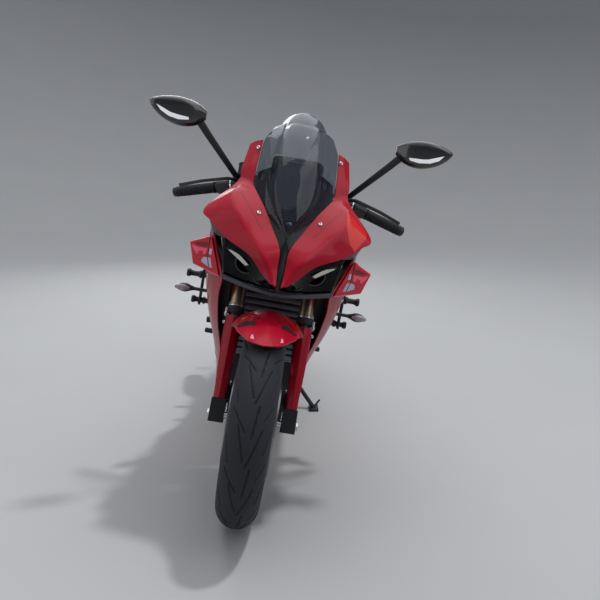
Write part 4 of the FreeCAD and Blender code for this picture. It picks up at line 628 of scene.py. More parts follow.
def soft_corners(outline: Sequence[Pair], soft: float) -> list[Pair]:
    """Round each corner of a closed outline.

    Args:
        outline: its corners, in order.
        soft: how far from a corner its rounding begins, in millimetres.

    Returns:
        The rounded outline.
    """
    line = []
    spots = [Vector((a, b)) for a, b in outline]
    for place, corner in enumerate(spots):
        before = spots[place - 1] - corner
        after = spots[(place + 1) % len(spots)] - corner
        start = corner + before * min(soft / before.length, 0.45)
        end = corner + after * min(soft / after.length, 0.45)
        for step in range(5):
            t = step / 4
            spot = start * (1 - t) ** 2 + corner * 2 * t * (1 - t) + end * t * t
            line.append((spot.x, spot.y))
    return line


# Where the bike stands


# In degrees: the lean to the bike's left, the fork's rake, and the bars' turn as parked.
LEAN = 10
RAKE = 24
REST_STEER = -2
# In millimetres: between the axles, the tyres' radii, and a point on the steering axis.
WHEELBASE = 1390
FRONT_RADIUS = 300
REAR_RADIUS = 312
STEER_ORIGIN = Vector((0, 30.147, 286.578))
# In millimetres: half the distance between the fork legs, how far they stand ahead of the
# steering axis, and the middle of the chain.
FORK_HALF = 106
LEG_Y = -33
CHAIN_X = 98
# The bike's side view: X to its rear, Y up and Z to its left.
SIDEWAYS = Matrix(((0, 0, 1, 0), (1, 0, 0, 0), (0, 1, 0, 0), (0, 0, 0, 1)))


@dataclass(frozen=True)
class Bearings:
    """The parked pose: from the bike's millimetres to the frame's metres.

    Attributes:
        chassis: the leaning bike.
        steered: what turns with the bars, still in the bike's axes.
        fork: the same, along the fork: Z up the steering axis, from beside the axle.
    """

    chassis: Matrix
    steered: Matrix
    fork: Matrix

    @classmethod
    def from_joints(cls, joints: Sequence[dict]) -> "Bearings":
        """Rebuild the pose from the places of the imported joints.

        Args:
            joints: the frame's joints.

        Returns:
            The three matrices.
        """
        spots = {joint["name"]: Vector(joint["pos_m"]) for joint in joints}
        lean = Matrix.Rotation(math.radians(LEAN), 4, "Y") @ Matrix.Scale(MM, 4)
        shift = spots["rear_wheel_spin"] - lean @ Vector((0, WHEELBASE, REAR_RADIUS))
        chassis = Matrix.Translation(shift) @ lean
        origin = Matrix.Translation(STEER_ORIGIN) @ Matrix.Rotation(math.radians(-RAKE), 4, "X")
        turn = origin @ Matrix.Rotation(math.radians(REST_STEER), 4, "Z") @ origin.inverted()
        steered = chassis @ turn
        return cls(chassis, steered, steered @ origin)


@dataclass(frozen=True)
class Sight:
    """The photograph's view, solved from the front wheel.

    Attributes:
        centre: front axle centre in the frame, in metres.
        offset: the eye from that centre, in metres.
        yaw: degrees to the right of +Y.
        pitch: degrees down.
        roll: degrees.
        focal: focal length in pixels.
        picture: width and height of the picture in pixels.
        sensor: width of the camera's sensor in millimetres.
    """

    centre: Vector
    offset: Vector = Vector((0.0763, -1.6312, 0.6846))
    yaw: float = 2.02
    pitch: float = 11.38
    roll: float = 0.78
    focal: float = 594.9
    picture: int = 600
    sensor: float = 36.0

    def axes(self) -> tuple[Vector, Vector, Vector]:
        """Return the view's right, up and forward directions.

        Returns:
            The three unit vectors.
        """
        yaw, pitch, roll = (math.radians(turn) for turn in (self.yaw, self.pitch, self.roll))
        ahead = Vector((math.sin(yaw) * math.cos(pitch), math.cos(yaw) * math.cos(pitch), -math.sin(pitch)))
        right = Vector((math.cos(yaw), -math.sin(yaw), 0))
        up = right.cross(ahead)
        level = math.cos(roll) * right + math.sin(roll) * up
        return level, -math.sin(roll) * right + math.cos(roll) * up, ahead

    def ray(self, across: float, down: float) -> tuple[Vector, Vector]:
        """Return the start and direction of the line of sight through a pixel.

        Args:
            across: pixels from the picture's left edge.
            down: pixels from its top edge.

        Returns:
            The eye in metres, and the unit vector from it.
        """
        right, up, ahead = self.axes()
        middle = self.picture / 2
        way = ahead + right * (across - middle) / self.focal + up * (middle - down) / self.focal
        return self.centre + self.offset, way.normalized()

    def camera(self) -> bpy.types.Object:
        """Add the camera and make it the scene's own.

        Returns:
            The camera.
        """
        right, up, ahead = self.axes()
        data = bpy.data.cameras.new("photo_view")
        data.sensor_width = self.sensor
        data.lens = self.focal / self.picture * self.sensor
        data.clip_start = 0.05
        eye = new_object("photo_view", data)
        turn = Matrix((right, up, -ahead)).transposed().to_4x4()
        eye.matrix_world = Matrix.Translation(self.centre + self.offset) @ turn
        bpy.context.scene.camera = eye
        return eye


def new_object(name: str, data: bpy.types.ID) -> bpy.types.Object:
    """Add an object to the scene.

    Args:
        name: its name.
        data: its mesh, light or camera.

    Returns:
        The object.
    """
    made = bpy.data.objects.new(name, data)
    bpy.context.scene.collection.objects.link(made)
    return made


def mesh_of(name: str, form: Form, outwards: bool = True) -> bpy.types.Mesh:
    """Turn a shape into a mesh.

    Args:
        name: the mesh's name.
        form: the shape.
        outwards: whether its faces are turned to the outside of a closed shape.

    Returns:
        The mesh.
    """
    mesh = bpy.data.meshes.new(name)
    mesh.from_pydata(form.points, [], form.faces)
    if outwards:
        shell = bmesh.new()
        shell.from_mesh(mesh)
        bmesh.ops.recalc_face_normals(shell, faces=shell.faces)
        shell.to_mesh(mesh)
        shell.free()
    return mesh


class Skin:
    """The surface of some objects, for thin pieces to lie on."""

    def __init__(self, *pieces: bpy.types.Object) -> None:
        """Take the faces of the pieces as their modifiers leave them.

        Args:
            pieces: the objects.
        """
        points: list[Vector] = []
        faces: list[tuple[int, ...]] = []
        graph = bpy.context.evaluated_depsgraph_get()
        for piece in pieces:
            solid = piece.evaluated_get(graph)
            mesh = solid.to_mesh()
            shift = len(points)
            points += [piece.matrix_world @ vertex.co for vertex in mesh.vertices]
            faces += [tuple(corner + shift for corner in face.vertices) for face in mesh.polygons]
            solid.to_mesh_clear()
        self.tree = BVHTree.FromPolygons(points, faces)

    def hit(self, matrix: Matrix, start: Vector, way: Vector) -> tuple[Vector, Vector] | None:
        """Find where a line in the frame's metres first meets the surface.

        Args:
            matrix: the matrix of the body that the answer is for.
            start: where the line begins.
            way: its direction.

        Returns:
            The point and the normal towards the start, in the body's own millimetres, or None where
            the line misses.
        """
        spot, normal, _, _ = self.tree.ray_cast(start, way)
        if spot is None:
            return None
        back = matrix.inverted()
        outward = normal if normal.dot(way) < 0 else -normal
        return back @ spot, (back.to_3x3() @ outward).normalized()

    def meet(self, matrix: Matrix, start: Point, way: Point) -> tuple[Vector, Vector] | None:
        """Return what hit does, for a line in the body's own millimetres."""
        return self.hit(matrix, matrix @ Vector(start), (matrix.to_3x3() @ Vector(way)).normalized())


class Workshop:
    """Makes objects from shapes, dresses them and sets them on their bodies."""

    def __init__(self, frame: dict) -> None:
        """Keep the frame and the parked pose.
        """
        self.frame = frame
        bearings = Bearings.from_joints(frame["joints"])
        spots = {joint["name"]: Vector(joint["pos_m"]) for joint in frame["joints"]}
        self.sight = Sight(spots["front_wheel_spin"])
        self.matrices = {
            "chassis": bearings.chassis, "side_stand": bearings.chassis, "rear_wheel": bearings.chassis,
            "steering": bearings.steered, "front_wheel": bearings.steered, "fork": bearings.fork,
        }

    def make(
        self, name: str, form: Form, body: str, finish: Finish, place: str = "", bevel: float = 0.0,
        smooth: float = 32.0, thick: float = 0.0, cutters: Sequence[Form] = (),
    ) -> bpy.types.Object:
        """Turn a shape into a dressed object that rides on its body.

        Args:
            name: the piece's name.
            form: its shape in millimetres.
            body: the body that it rides on.
            finish: its finish.
            place: the frame that the shape is in, if it isn't the body's own.
            bevel: width of the rounding on its sharp edges.
            smooth: faces that meet at less than this angle, in degrees, shade as one.
            thick: how far an open sheet is thickened along its normals, or against them if negative.
            cutters: shapes that are taken out of it.

        Returns:
            The object.
        """
        matrix = self.matrices[place or body]
        mesh = mesh_of(name, form.placed(matrix), outwards=not thick)
        piece = new_object(name, mesh)
        mesh.materials.append(finish.material())
        if thick:
            wall = piece.modifiers.new("wall", "SOLIDIFY")
            wall.thickness = abs(thick) * MM
            wall.offset = 1 if thick > 0 else -1
        if cutters:
            self._take_out(piece, [cutter.placed(matrix) for cutter in cutters])
        elif thick:
            self.flatten(piece)
        mesh = piece.data
        mesh.shade_smooth()
        mesh.set_sharp_from_angle(angle=math.radians(smooth))
        if bevel:
            edge = piece.modifiers.new("edge", "BEVEL")
            edge.width = bevel * MM
            edge.segments = 2
            edge.limit_method = "ANGLE"
            edge.harden_normals = True
        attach(piece, body)
        LOG.info("made %s with %d faces", name, len(form.faces))
        return piece

    def flatten(self, piece: bpy.types.Object) -> None:
        """Give an object the mesh that its modifiers make, and drop them.

        Args:
            piece: the object.
        """
        graph = bpy.context.evaluated_depsgraph_get()
        made = bpy.data.meshes.new_from_object(piece.evaluated_get(graph))
        piece.modifiers.clear()
        piece.data = made

    def _take_out(self, piece: bpy.types.Object, forms: Sequence[Form]) -> None:
        """Cut shapes out of an object, one after the other.

        Args:
            piece: the object.
            forms: the shapes, in metres.
        """
        for form in forms:
            tool = new_object("cutter", mesh_of("cutter", form))
            step = piece.modifiers.new("cut", "BOOLEAN")
            step.operation = "DIFFERENCE"
            step.solver = "EXACT"
            step.object = tool
            self.flatten(piece)
            bpy.data.objects.remove(tool)

    def node(self, name: str) -> bpy.types.Object:
        """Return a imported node's object."""
        return self.frame["nodes"][name]

    def soften(self, name: str, angle: float = 30.0) -> None:
        """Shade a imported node's shallow edges as one surface, by a modifier.

        Args:
            name: the node.
            angle: edges sharper than this, in degrees, stay sharp.
        """
        key = f"smooth_under_{angle:g}"
        tree = bpy.data.node_groups.get(key)
        if tree is None:
            tree = bpy.data.node_groups.new(key, "GeometryNodeTree")
            tree.interface.new_socket("Geometry", in_out="INPUT", socket_type="NodeSocketGeometry")
            tree.interface.new_socket("Geometry", in_out="OUTPUT", socket_type="NodeSocketGeometry")
            start = add_node(tree, "NodeGroupInput")
            weld = add_node(tree, "GeometryNodeMergeByDistance", None,
                            {"Geometry": start.outputs[0], "Distance": 0.02 * MM})
            fold = add_node(tree, "GeometryNodeInputMeshEdgeAngle")
            shallow = add_node(tree, "FunctionNodeCompare", {"operation": "LESS_THAN"},
                               {0: fold.outputs[0], 1: math.radians(angle)})
            every = add_node(tree, "GeometryNodeSetShadeSmooth", {"domain": "FACE"},
                             {"Geometry": weld.outputs[0], "Shade Smooth": True})
            edges = add_node(tree, "GeometryNodeSetShadeSmooth", {"domain": "EDGE"},
                             {"Geometry": every.outputs[0], "Shade Smooth": shallow.outputs[0]})
            add_node(tree, "NodeGroupOutput", None, {0: edges.outputs[0]})
        step = self.node(name).modifiers.new("smooth_by_angle", "NODES")
        step.node_group = tree

    def dress(self, finishes: dict[str, Finish]) -> None:
        """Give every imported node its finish.

        Args:
            finishes: the finish of each node.
        """
        for node, finish in finishes.items():
            for holder in self.node(node).material_slots:
                holder.material = finish.material()
            LOG.info("dressed %s in %s", node, finish.name)


class SubAssembly(Protocol):
    """A group of pieces that are built together."""

    def build(self, shop: Workshop) -> None:
        """Make the group's pieces.

        Args:
            shop: the workshop that makes and places the pieces.
        """


# Wheels


@dataclass(frozen=True)
class Groove:
    """One cut of the tread, in millimetres round the tyre and across its crown.

    Attributes:
        start: where it begins.
        end: where it ends.
        width: how wide it is.
    """

    start: Pair
    end: Pair
    width: float = 4.0

    def distance(self, along: float, across: float, pitch: float) -> float:
        """Return how far a spot of the crown is from the cut, on a tread that repeats at pitch.

        Args:
            along: the spot's place round the tyre.
            across: its place across the crown.
            pitch: length of the pattern.

        Returns:
            The distance in millimetres.
        """
        (a, b), (c, d) = self.start, self.end
        best = math.inf
        for shift in (-pitch, 0.0, pitch):
            x, y = along + shift - a, across - b
            run, rise = c - a, d - b
            share = min(max((x * run + y * rise) / (run * run + rise * rise), 0.0), 1.0)
            best = min(best, math.hypot(x - share * run, y - share * rise))
        return best


# Length of the pattern in the grooves' own millimetres, and width of each groove's sloped wall.
TREAD_PITCH = 156
GROOVE_WALL = 1.2
# Radii where every tyre meets its rim.
RIM_LIP = 225.3
RIM_SEAT = 216.3
TREAD = (
    Groove((0, 4), (92, 34)), Groove((14, -4), (100, -30)), Groove((70, 8), (150, 16)),
    Groove((84, -10), (140, -52)), Groove((30, 46), (96, 66), 3.4), Groove((0, -44), (66, -66), 3.4),
    Groove((118, 36), (156, 62), 3.4),
)


@dataclass
class Tyre:
    """A road tyre: a round crown with cut grooves, and sidewalls that close on the rim.

    Attributes:
        node: the CAD solid that it stands for.
        body: the wheel that it rides on.
        centre: the axle's middle.
        radius: outer radius.
        width: section width.
        rim_width: width of the rim.
        repeats: tread patterns round the tyre.
        depth: depth of its grooves.
        rounds: steps round one pattern.
        across: steps across the crown.
    """

    node: str
    body: str
    centre: Vector
    radius: float
    width: float
    rim_width: float
    repeats: int
    depth: float = 3.6
    rounds: int = 60
    across: int = 72

    def build(self, shop: Workshop) -> None:
        """Make the tyre and let it stand for its CAD solid.

        Args:
            shop: the workshop.
        """
        form = Form()
        half, middle = self.width / 2, self.radius - self.width / 2
        pitch = 2 * math.pi * self.radius / self.repeats
        tread = self._relief(pitch)
        side = self._sidewall()
        count = self.across + 1 + 2 * len(side)
        total = self.repeats * self.rounds
        for turn in range(total):
            angle = 2 * math.pi * turn / total
            ring = [(-x, r) for x, r in reversed(side)]
            for place in range(self.across + 1):
                lean = math.pi * (place / self.across - 0.5)
                deep = half - tread[turn % self.rounds][place]
                ring.append((deep * math.sin(lean), middle + deep * math.cos(lean)))
            ring += side
            for x, r in ring:
                form.points.append(self.centre + Vector((x, r * math.sin(angle), r * math.cos(angle))))
        for turn in range(total):
            for place in range(count):
                one, two = turn * count, (turn + 1) % total * count
                onward = (place + 1) % count
                form.faces.append((one + place, one + onward, two + onward, two + place))
        tyre = shop.make(f"{self.node}_treaded", form, self.body, TYRE_RUBBER, smooth=50)
        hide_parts(self.node)

    def _relief(self, pitch: float) -> list[list[float]]:
        """Return the depth of the tread over one pattern, row by row.

        Args:
            pitch: length of one pattern round the tyre.

        Returns:
            For each row round the tyre, the depth at each place across it.
        """
        rows = []
        for turn in range(self.rounds):
            along = pitch * turn / self.rounds
            row = []
            for place in range(self.across + 1):
                across = self.width / 2 * math.pi * (place / self.across - 0.5)
                deep = 0.0
                for groove in TREAD:
                    away = groove.distance(along * TREAD_PITCH / pitch, across, TREAD_PITCH)
                    inside = groove.width / 2 + GROOVE_WALL / 2 - away
                    deep = max(deep, min(max(inside, 0.0), GROOVE_WALL) / GROOVE_WALL * self.depth)
                row.append(deep)
            rows.append(row)
        return rows

    def _sidewall(self) -> list[Pair]:
        """Return the left sidewall from the crown's edge to the bead, with its moulded rings.

        Returns:
            Distance from the middle plane and radius of each corner.
        """
        half, middle = self.width / 2, self.radius - self.width / 2
        bead = self.rim_width / 2 - 7
        line = []
        for share, proud in ((0.2, 0), (0.28, 0.9), (0.36, 0), (0.6, 0.4), (0.8, 1.2), (0.9, 1.2), (1.0, 0)):
            spread = half + (bead - half) * share
            line.append((spread + proud + 3.5 * math.sin(math.pi * share),
                         middle + (RIM_LIP - middle) * share))
        return line + [(bead, RIM_SEAT)]


@dataclass
class Bolts:
    """Hexagon socket bolts: a domed head with its socket, set by place and direction.

    Attributes:
        name: the piece's name.
        body: the body that they ride on.
        finish: their finish.
        rows: place, direction and head's radius of each.
        place: the frame that the rows are in, if it isn't the body's own.
    """

    name: str
    body: str
    finish: Finish
    rows: Sequence[BoltRow]
    place: str = ""

    def build(self, shop: Workshop) -> bpy.types.Object:
        """Make one piece with every bolt of the row.

        Args:
            shop: the workshop.

        Returns:
            The piece.
        """
        form = Form()
        for spot, way, radius in self.rows:
            form.add(Form.lathe(
                [(radius, -0.5), (radius, 0.25 * radius), (0.86 * radius, 0.5 * radius),
                 (0.62 * radius, 0.62 * radius), (0.46 * radius, 0.6 * radius),
                 (0.44 * radius, 0.1 * radius)],
                spot, way, 18,
            ))
        return shop.make(self.name, form, self.body, self.finish, self.place)


@dataclass
class DriveChain:
    """The drive chain, link by link round both sprockets.

    Attributes:
        pitch: distance between two pins.
        front: the front sprocket's middle.
        rear: the rear sprocket's middle.
        front_line: radius of the pins' path round the front sprocket.
        rear_line: the same at the rear.
        plate_height: half the height of a side plate.
        plate_thick: its thickness.
    """

    pitch: float = 15.875
    front: Vector = Vector((CHAIN_X, 772, 400))
    rear: Vector = Vector((CHAIN_X, WHEELBASE, REAR_RADIUS))
    front_line: float = 39.5
    rear_line: float = 103.5
    plate_height: float = 7.0
    plate_thick: float = 1.8

    def _route(self) -> tuple[Callable[[float], Vector], float]:
        """Lay the loop round both sprockets.

        Returns:
            A function from a station along the loop to its place, and the loop's length.
        """
        line = self.rear - self.front
        span = math.hypot(line.y, line.z)
        angle = math.atan2(line.z, line.y)
        slip = math.asin((self.rear_line - self.front_line) / span)
        up, down = angle + math.pi / 2 + slip, angle - math.pi / 2 - slip
        run = math.sqrt(span ** 2 - (self.rear_line - self.front_line) ** 2)
        back_arc = (up - down) * self.rear_line
        length = 2 * run + back_arc + (2 * math.pi - (up - down)) * self.front_line

        def out(turn: float) -> Vector:
            """Return the direction at an angle in the chain's plane."""
            return Vector((0, math.cos(turn), math.sin(turn)))

        def spot(station: float) -> Vector:
            """Return the place at a station: upper run, rear sprocket, lower run, front sprocket.

            Args:
                station: distance along the loop.

            Returns:
                The place.
            """
            station %= length
            if station < run:
                return self.front + out(up) * self.front_line + out(up - math.pi / 2) * station
            station -= run
            if station < back_arc:
                return self.rear + out(up - station / self.rear_line) * self.rear_line
            station -= back_arc
            if station < run:
                return self.rear + out(down) * self.rear_line + out(down - math.pi / 2) * station
            return self.front + out(down - (station - run) / self.front_line) * self.front_line

        return spot, length

    def build(self, shop: Workshop) -> None:
        """Make the plates, pins and rollers, and let them stand for the plain loop.

        Args:
            shop: the workshop.
        """
        spot, length = self._route()
        count = 2 * round(length / self.pitch / 2)
        plates, rollers = Form(), Form()
        for link in range(count):
            start = spot(link * length / count)
            end = spot((link + 1) * length / count)
            way = (end - start).normalized()
            out = 6.6 if link % 2 else 4.4
            for side in (-1, 1):
                frame = Matrix.Translation((start + end) / 2 + Vector((side * out, 0, 0)))
                turn = Matrix((Vector((0, way.y, way.z)), Vector((0, -way.z, way.y)), Vector((1, 0, 0))))
                plates.add(Form.slab(self._waist((end - start).length), self.plate_thick,
                                     frame @ turn.transposed().to_4x4()))
            rollers.add(Form.lathe([(5.0, -3.4), (5.0, 3.4)], start, (1, 0, 0), 10))
            rollers.add(Form.lathe([(2.6, -8.8), (2.6, 8.8)], start, (1, 0, 0), 8))
        chain = shop.make("chain_plates", plates, "chassis", CHAIN_STEEL)
        shop.make("chain_rollers", rollers, "chassis", BRIGHT_STEEL)
        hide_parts("drive_chain")
        LOG.info("the chain has %d links", count)

    def _waist(self, pitch: float) -> list[Pair]:
        """Return the waisted outline of one side plate.

        Args:
            pitch: distance between its pins.

        Returns:
            The outline.
        """
        line = []
        for end in (1, -1):
            for step in range(7):
                turn = math.radians(-75 + 25 * step)
                line.append((end * (pitch / 2 + self.plate_height * math.cos(turn)),
                             end * self.plate_height * math.sin(turn)))
            line.append((0, end * self.plate_height * 0.72))
        return line


# Bodywork


# Points across the left panel, row by row, from the top edge down to the belly.
SIDE_ROWS = (
    ((204, 62, 806), (222, 130, 822), (216, 280, 822), (192, 420, 806)),
    ((182, 76, 744), (226, 150, 752), (240, 320, 748), (230, 470, 734)),
    ((162, 92, 682), (214, 170, 676), (238, 340, 672), (234, 520, 664)),
    ((168, 152, 612), (208, 220, 606), (232, 380, 600), (232, 590, 600)),
    ((161, 228, 510), (192, 290, 506), (214, 430, 500), (220, 650, 505)),
    ((146, 302, 414), (168, 360, 408), (188, 480, 400), (202, 694, 400)),
    ((136, 352, 322), (150, 410, 314), (164, 520, 302), (180, 704, 300)),
    ((128, 392, 240), (138, 450, 232), (148, 560, 222), (156, 714, 222)),
    ((60, 420, 180), (66, 470, 174), (76, 560, 168), (84, 718, 172)),
    ((0.2, 428, 170), (0.2, 480, 164), (0.2, 560, 158), (0.2, 720, 162)),
)
# y and z of the outlet's corners.
VENT_OUTLINE = ((458, 648), (600, 622), (590, 514), (514, 506), (456, 562))
# Points across the left cheek, row by row, from the nose's tip up to the screen.
CHEEK_ROWS = (
    ((8, -74, 710), (15, -78, 714), (22, -72, 718)),
    ((11, -54, 758), (32, -64, 748), (50, -54, 740)),
    ((14, -32, 806), (58, -50, 786), (92, -32, 778)),
    ((42, 14, 852), (104, -10, 836), (160, 4, 806)),
    ((76, 60, 904), (148, 26, 884), (214, 42, 842)),
    ((104, 104, 938), (166, 78, 930), (238, 70, 870)),
    ((118, 132, 960), (142, 144, 962), (166, 150, 957)),
    ((119, 160, 1010), (140, 168, 1008), (161, 176, 1002)),
    ((115, 208, 1092), (134, 216, 1086), (150, 224, 1074)),
)
SCREEN_ROWS = (
    # y and z of an edge, its x, then y and z of the middle
    (-2, 847, 5, -5, 847),
    (60, 904, 73, 20, 906),
    (130, 960, 114, 56, 968),
    (162, 1012, 115, 92, 1036),
    (208, 1086, 111, 146, 1104),
    (233, 1118, 99, 186, 1142),
    (243, 1137, 87, 207, 1157),
    (244, 1141, 70, 211, 1160),
    (250, 1154, 65, 226, 1171),
    (259, 1178, 47, 248, 1186),
    (264, 1191, 23, 260, 1194),
    (266, 1196, 8, 264, 1197),
)
# Above this height the bubble is the screen's whole width, and below it flanks run beside it.
SCREEN_SHOULDER = 1139
# Steps across the screen.
SCREEN_STEPS = 32
TANK_STATIONS = (
    # y, middle height, width, height, how far the knees cut in
    (392, 842, 120, 90, 0.0), (430, 852, 232, 150, 0.0), (470, 853, 286, 182, 0.02),
    (520, 850, 316, 196, 0.08), (570, 842, 312, 195, 0.22), (620, 832, 296, 190, 0.34),
    (700, 806, 218, 140, 0.3), (752, 790, 130, 92, 0.1),
)
COWL_STATIONS = (
    # y, middle height, width, height
    (976, 812, 240, 122), (1100, 856, 216, 108), (1280, 912, 160, 88), (1380, 940, 122, 68),
    (1440, 960, 96, 50),
)
MIRROR_ROWS = (
    # x, y, z, depth, height
    (292, 236, 1137, 16, 26), (322, 226, 1134, 40, 68), (366, 216, 1134, 50, 84), (412, 206, 1138, 42, 66),
    (442, 200, 1144, 26, 34), (455, 198, 1149, 10, 10),
)
FENDER_COLUMNS = (
    # x, radius from the axle, angle of the front edge ahead of the vertical, angle of the rear edge behind
    (-106, 262, 2, 32), (-97, 281, -7, 38), (-82, 298, -18, 43), (-45, 315, -29, 48), (0, 325, -32.5, 50),
    (45, 315, -29, 48), (82, 298, -18, 43), (97, 281, -7, 38), (106, 262, 2, 32),
)
# x and radius from the rear axle.
HUGGER_COLUMNS = ((-94, 296), (-86, 316), (-50, 328), (0, 332), (50, 328), (86, 316), (94, 296))


@dataclass
class Fairings:
    """The red panels of nose and flanks, smooth along their length, with rounded rims."""

    def build(self, shop: Workshop) -> None:
        """Make the cheeks, the side panels with their outlets, and their screws.

        Args:
            shop: the workshop.
        """
        cheek = Form.loft(fine_rows(CHEEK_ROWS, 8, 5, 7), closed=False, caps=False)
        piece = shop.make("nose_cheek_panels", cheek.both_sides(), "chassis", RED_ENAMEL, smooth=24,
                          thick=4, bevel=1.0)
        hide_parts("nose_cheeks")
        opening = Form.slab(soft_corners(VENT_OUTLINE, 16), 900, SIDEWAYS)
        side = Form.loft(fine_rows(SIDE_ROWS, 8, 8, 46), closed=False, caps=False)
        piece = shop.make("side_panels", side.both_sides(), "chassis", RED_ENAMEL, smooth=24, thick=4,
                          bevel=1.0, cutters=[opening])
        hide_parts("side_fairings")
        self._outlets(shop)
        self._screws(shop)

    def _outlets(self, shop: Workshop) -> None:
        """Line each outlet with a dark rim and slanted blades.

        Args:
            shop: the workshop.
        """
        form = Form()
        middle_y = sum(y for y, _ in VENT_OUTLINE) / len(VENT_OUTLINE)
        middle_z = sum(z for _, z in VENT_OUTLINE) / len(VENT_OUTLINE)
        rim = soft_corners(VENT_OUTLINE, 16)
        rings = []
        for share, x in ((1.0, 216), (0.97, 219), (0.93, 217), (0.9, 206), (0.94, 196), (1.0, 198)):
            # Low on the flank the panel lies 12 mm further in.
            rings.append([
                (x - 12 * (z < 560), middle_y + (y - middle_y) * share, middle_z + (z - middle_z) * share)
                for y, z in rim
            ])
        form.add(Form.loft(rings + rings[:1], caps=False))
        for step in range(3):
            z = 540 + 32 * step
            blades = []
            for y, drop in ((466, 0), (596, 5)):
                blades.append([(206, y, z - drop), (206, y, z + 3 - drop), (186, y + 4, z + 15),
                               (186, y + 4, z + 12)])
            form.add(Form.loft(blades))
        shop.make("outlet_liners", form.both_sides(), "chassis", BLACK_ABS, smooth=40)

    def _screws(self, shop: Workshop) -> None:
        """Seat the screws along the panels' lower seam and rear edge.

        Args:
            shop: the workshop.
        """
        rows = []
        for spot in ((231, 478, 720), (234, 560, 632), (222, 626, 540), (206, 676, 420), (184, 690, 320),
                     (160, 700, 240), (226, 178, 756), (212, 190, 660)):
            rows.append((spot, (1, -0.05, 0), 7))
        seated = seat_rows(shop, Skin(bpy.data.objects["side_panels"]), rows)
        Bolts("fairing_screws", "chassis", CHROME, seated).build(shop)


def seat_rows(shop: Workshop, skin: Skin, rows: Sequence[BoltRow]) -> list[BoltRow]:
    """Lay bolt places on a skin, and repeat them on the bike's other side.

    Args:
        shop: the workshop, for its matrices.
        skin: the surface that they seat on.
        rows: place, outward direction and radius of each.

    Returns:
        The rows on the surface, for both sides.
    """
    matrix = shop.matrices["chassis"]
    seated = []
    for spot, way, radius in rows:
        outward = (matrix.to_3x3() @ Vector(way)).normalized()
        found = skin.hit(matrix, matrix @ Vector(spot) + outward * 0.1, -outward)
        if found is None:
            continue
        place, lean = found
        for side in (1, -1):
            seated.append(((side * place.x, place.y, place.z), (side * lean.x, lean.y, lean.z), radius))
    return seated


@dataclass
class FrontMudguard:
    """The front mudguard with its ridge, and a guard down each fork leg.

    Attributes:
        rows: sections from the front edge to the rear one.
    """

    rows: int = 6

    def build(self, shop: Workshop) -> None:
        """Make the shell and the guards, and let them stand for the CAD's own.

        Args:
            shop: the workshop.
        """
        grid = []
        for step in range(self.rows):
            share = step / (self.rows - 1)
            line = []
            for x, radius, ahead, behind in FENDER_COLUMNS:
                angle = math.radians(ahead + (behind - ahead) * share)
                line.append((x, radius * math.sin(angle), FRONT_RADIUS + radius * math.cos(angle)))
            grid.append(line)
        shell = Form.loft(fine_rows(grid, 8, 3, 12), closed=False, caps=False)
        # The shell is described upright, over the axle, so it goes into the fork's own frame.
        origin = shop.matrices["fork"].inverted() @ shop.matrices["steering"]
        shell = shell.placed(origin)
        holes = [Form.lathe([(18.9, 150), (18.9, 400)], (side * FORK_HALF, LEG_Y, 0), (0, 0, 1), 32)
                 for side in (1, -1)]
        body = shop.make("mudguard_shell", shell, "steering", RED_ENAMEL, "fork", smooth=24, thick=-4,
                         bevel=1.0, cutters=holes)
        guards = Form()
        for side in (1, -1):
            rings = []
            for station, radius, half in ((46, 25, 40), (80, 25.6, 44), (150, 27, 54), (240, 28, 64),
                                          (290, 28, 58)):
                ring = []
                for step in range(13):
                    turn = math.radians(-half + 2 * half * step / 12)
                    # A ridge runs down the middle of each guard.
                    away = radius + 2.0 * max(0.0, 1 - abs(turn) / math.radians(14))
                    ring.append((side * FORK_HALF + away * math.sin(turn),
                                 LEG_Y - away * math.cos(turn), station))
                rings.append(ring)
            guards.add(Form.loft(fine_rows(rings, 4, 1, 1), closed=False, caps=False))
        shop.make("fork_guards", guards, "steering", RED_ENAMEL, "fork", smooth=24, thick=-4, bevel=0.8)
        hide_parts("front_fender")


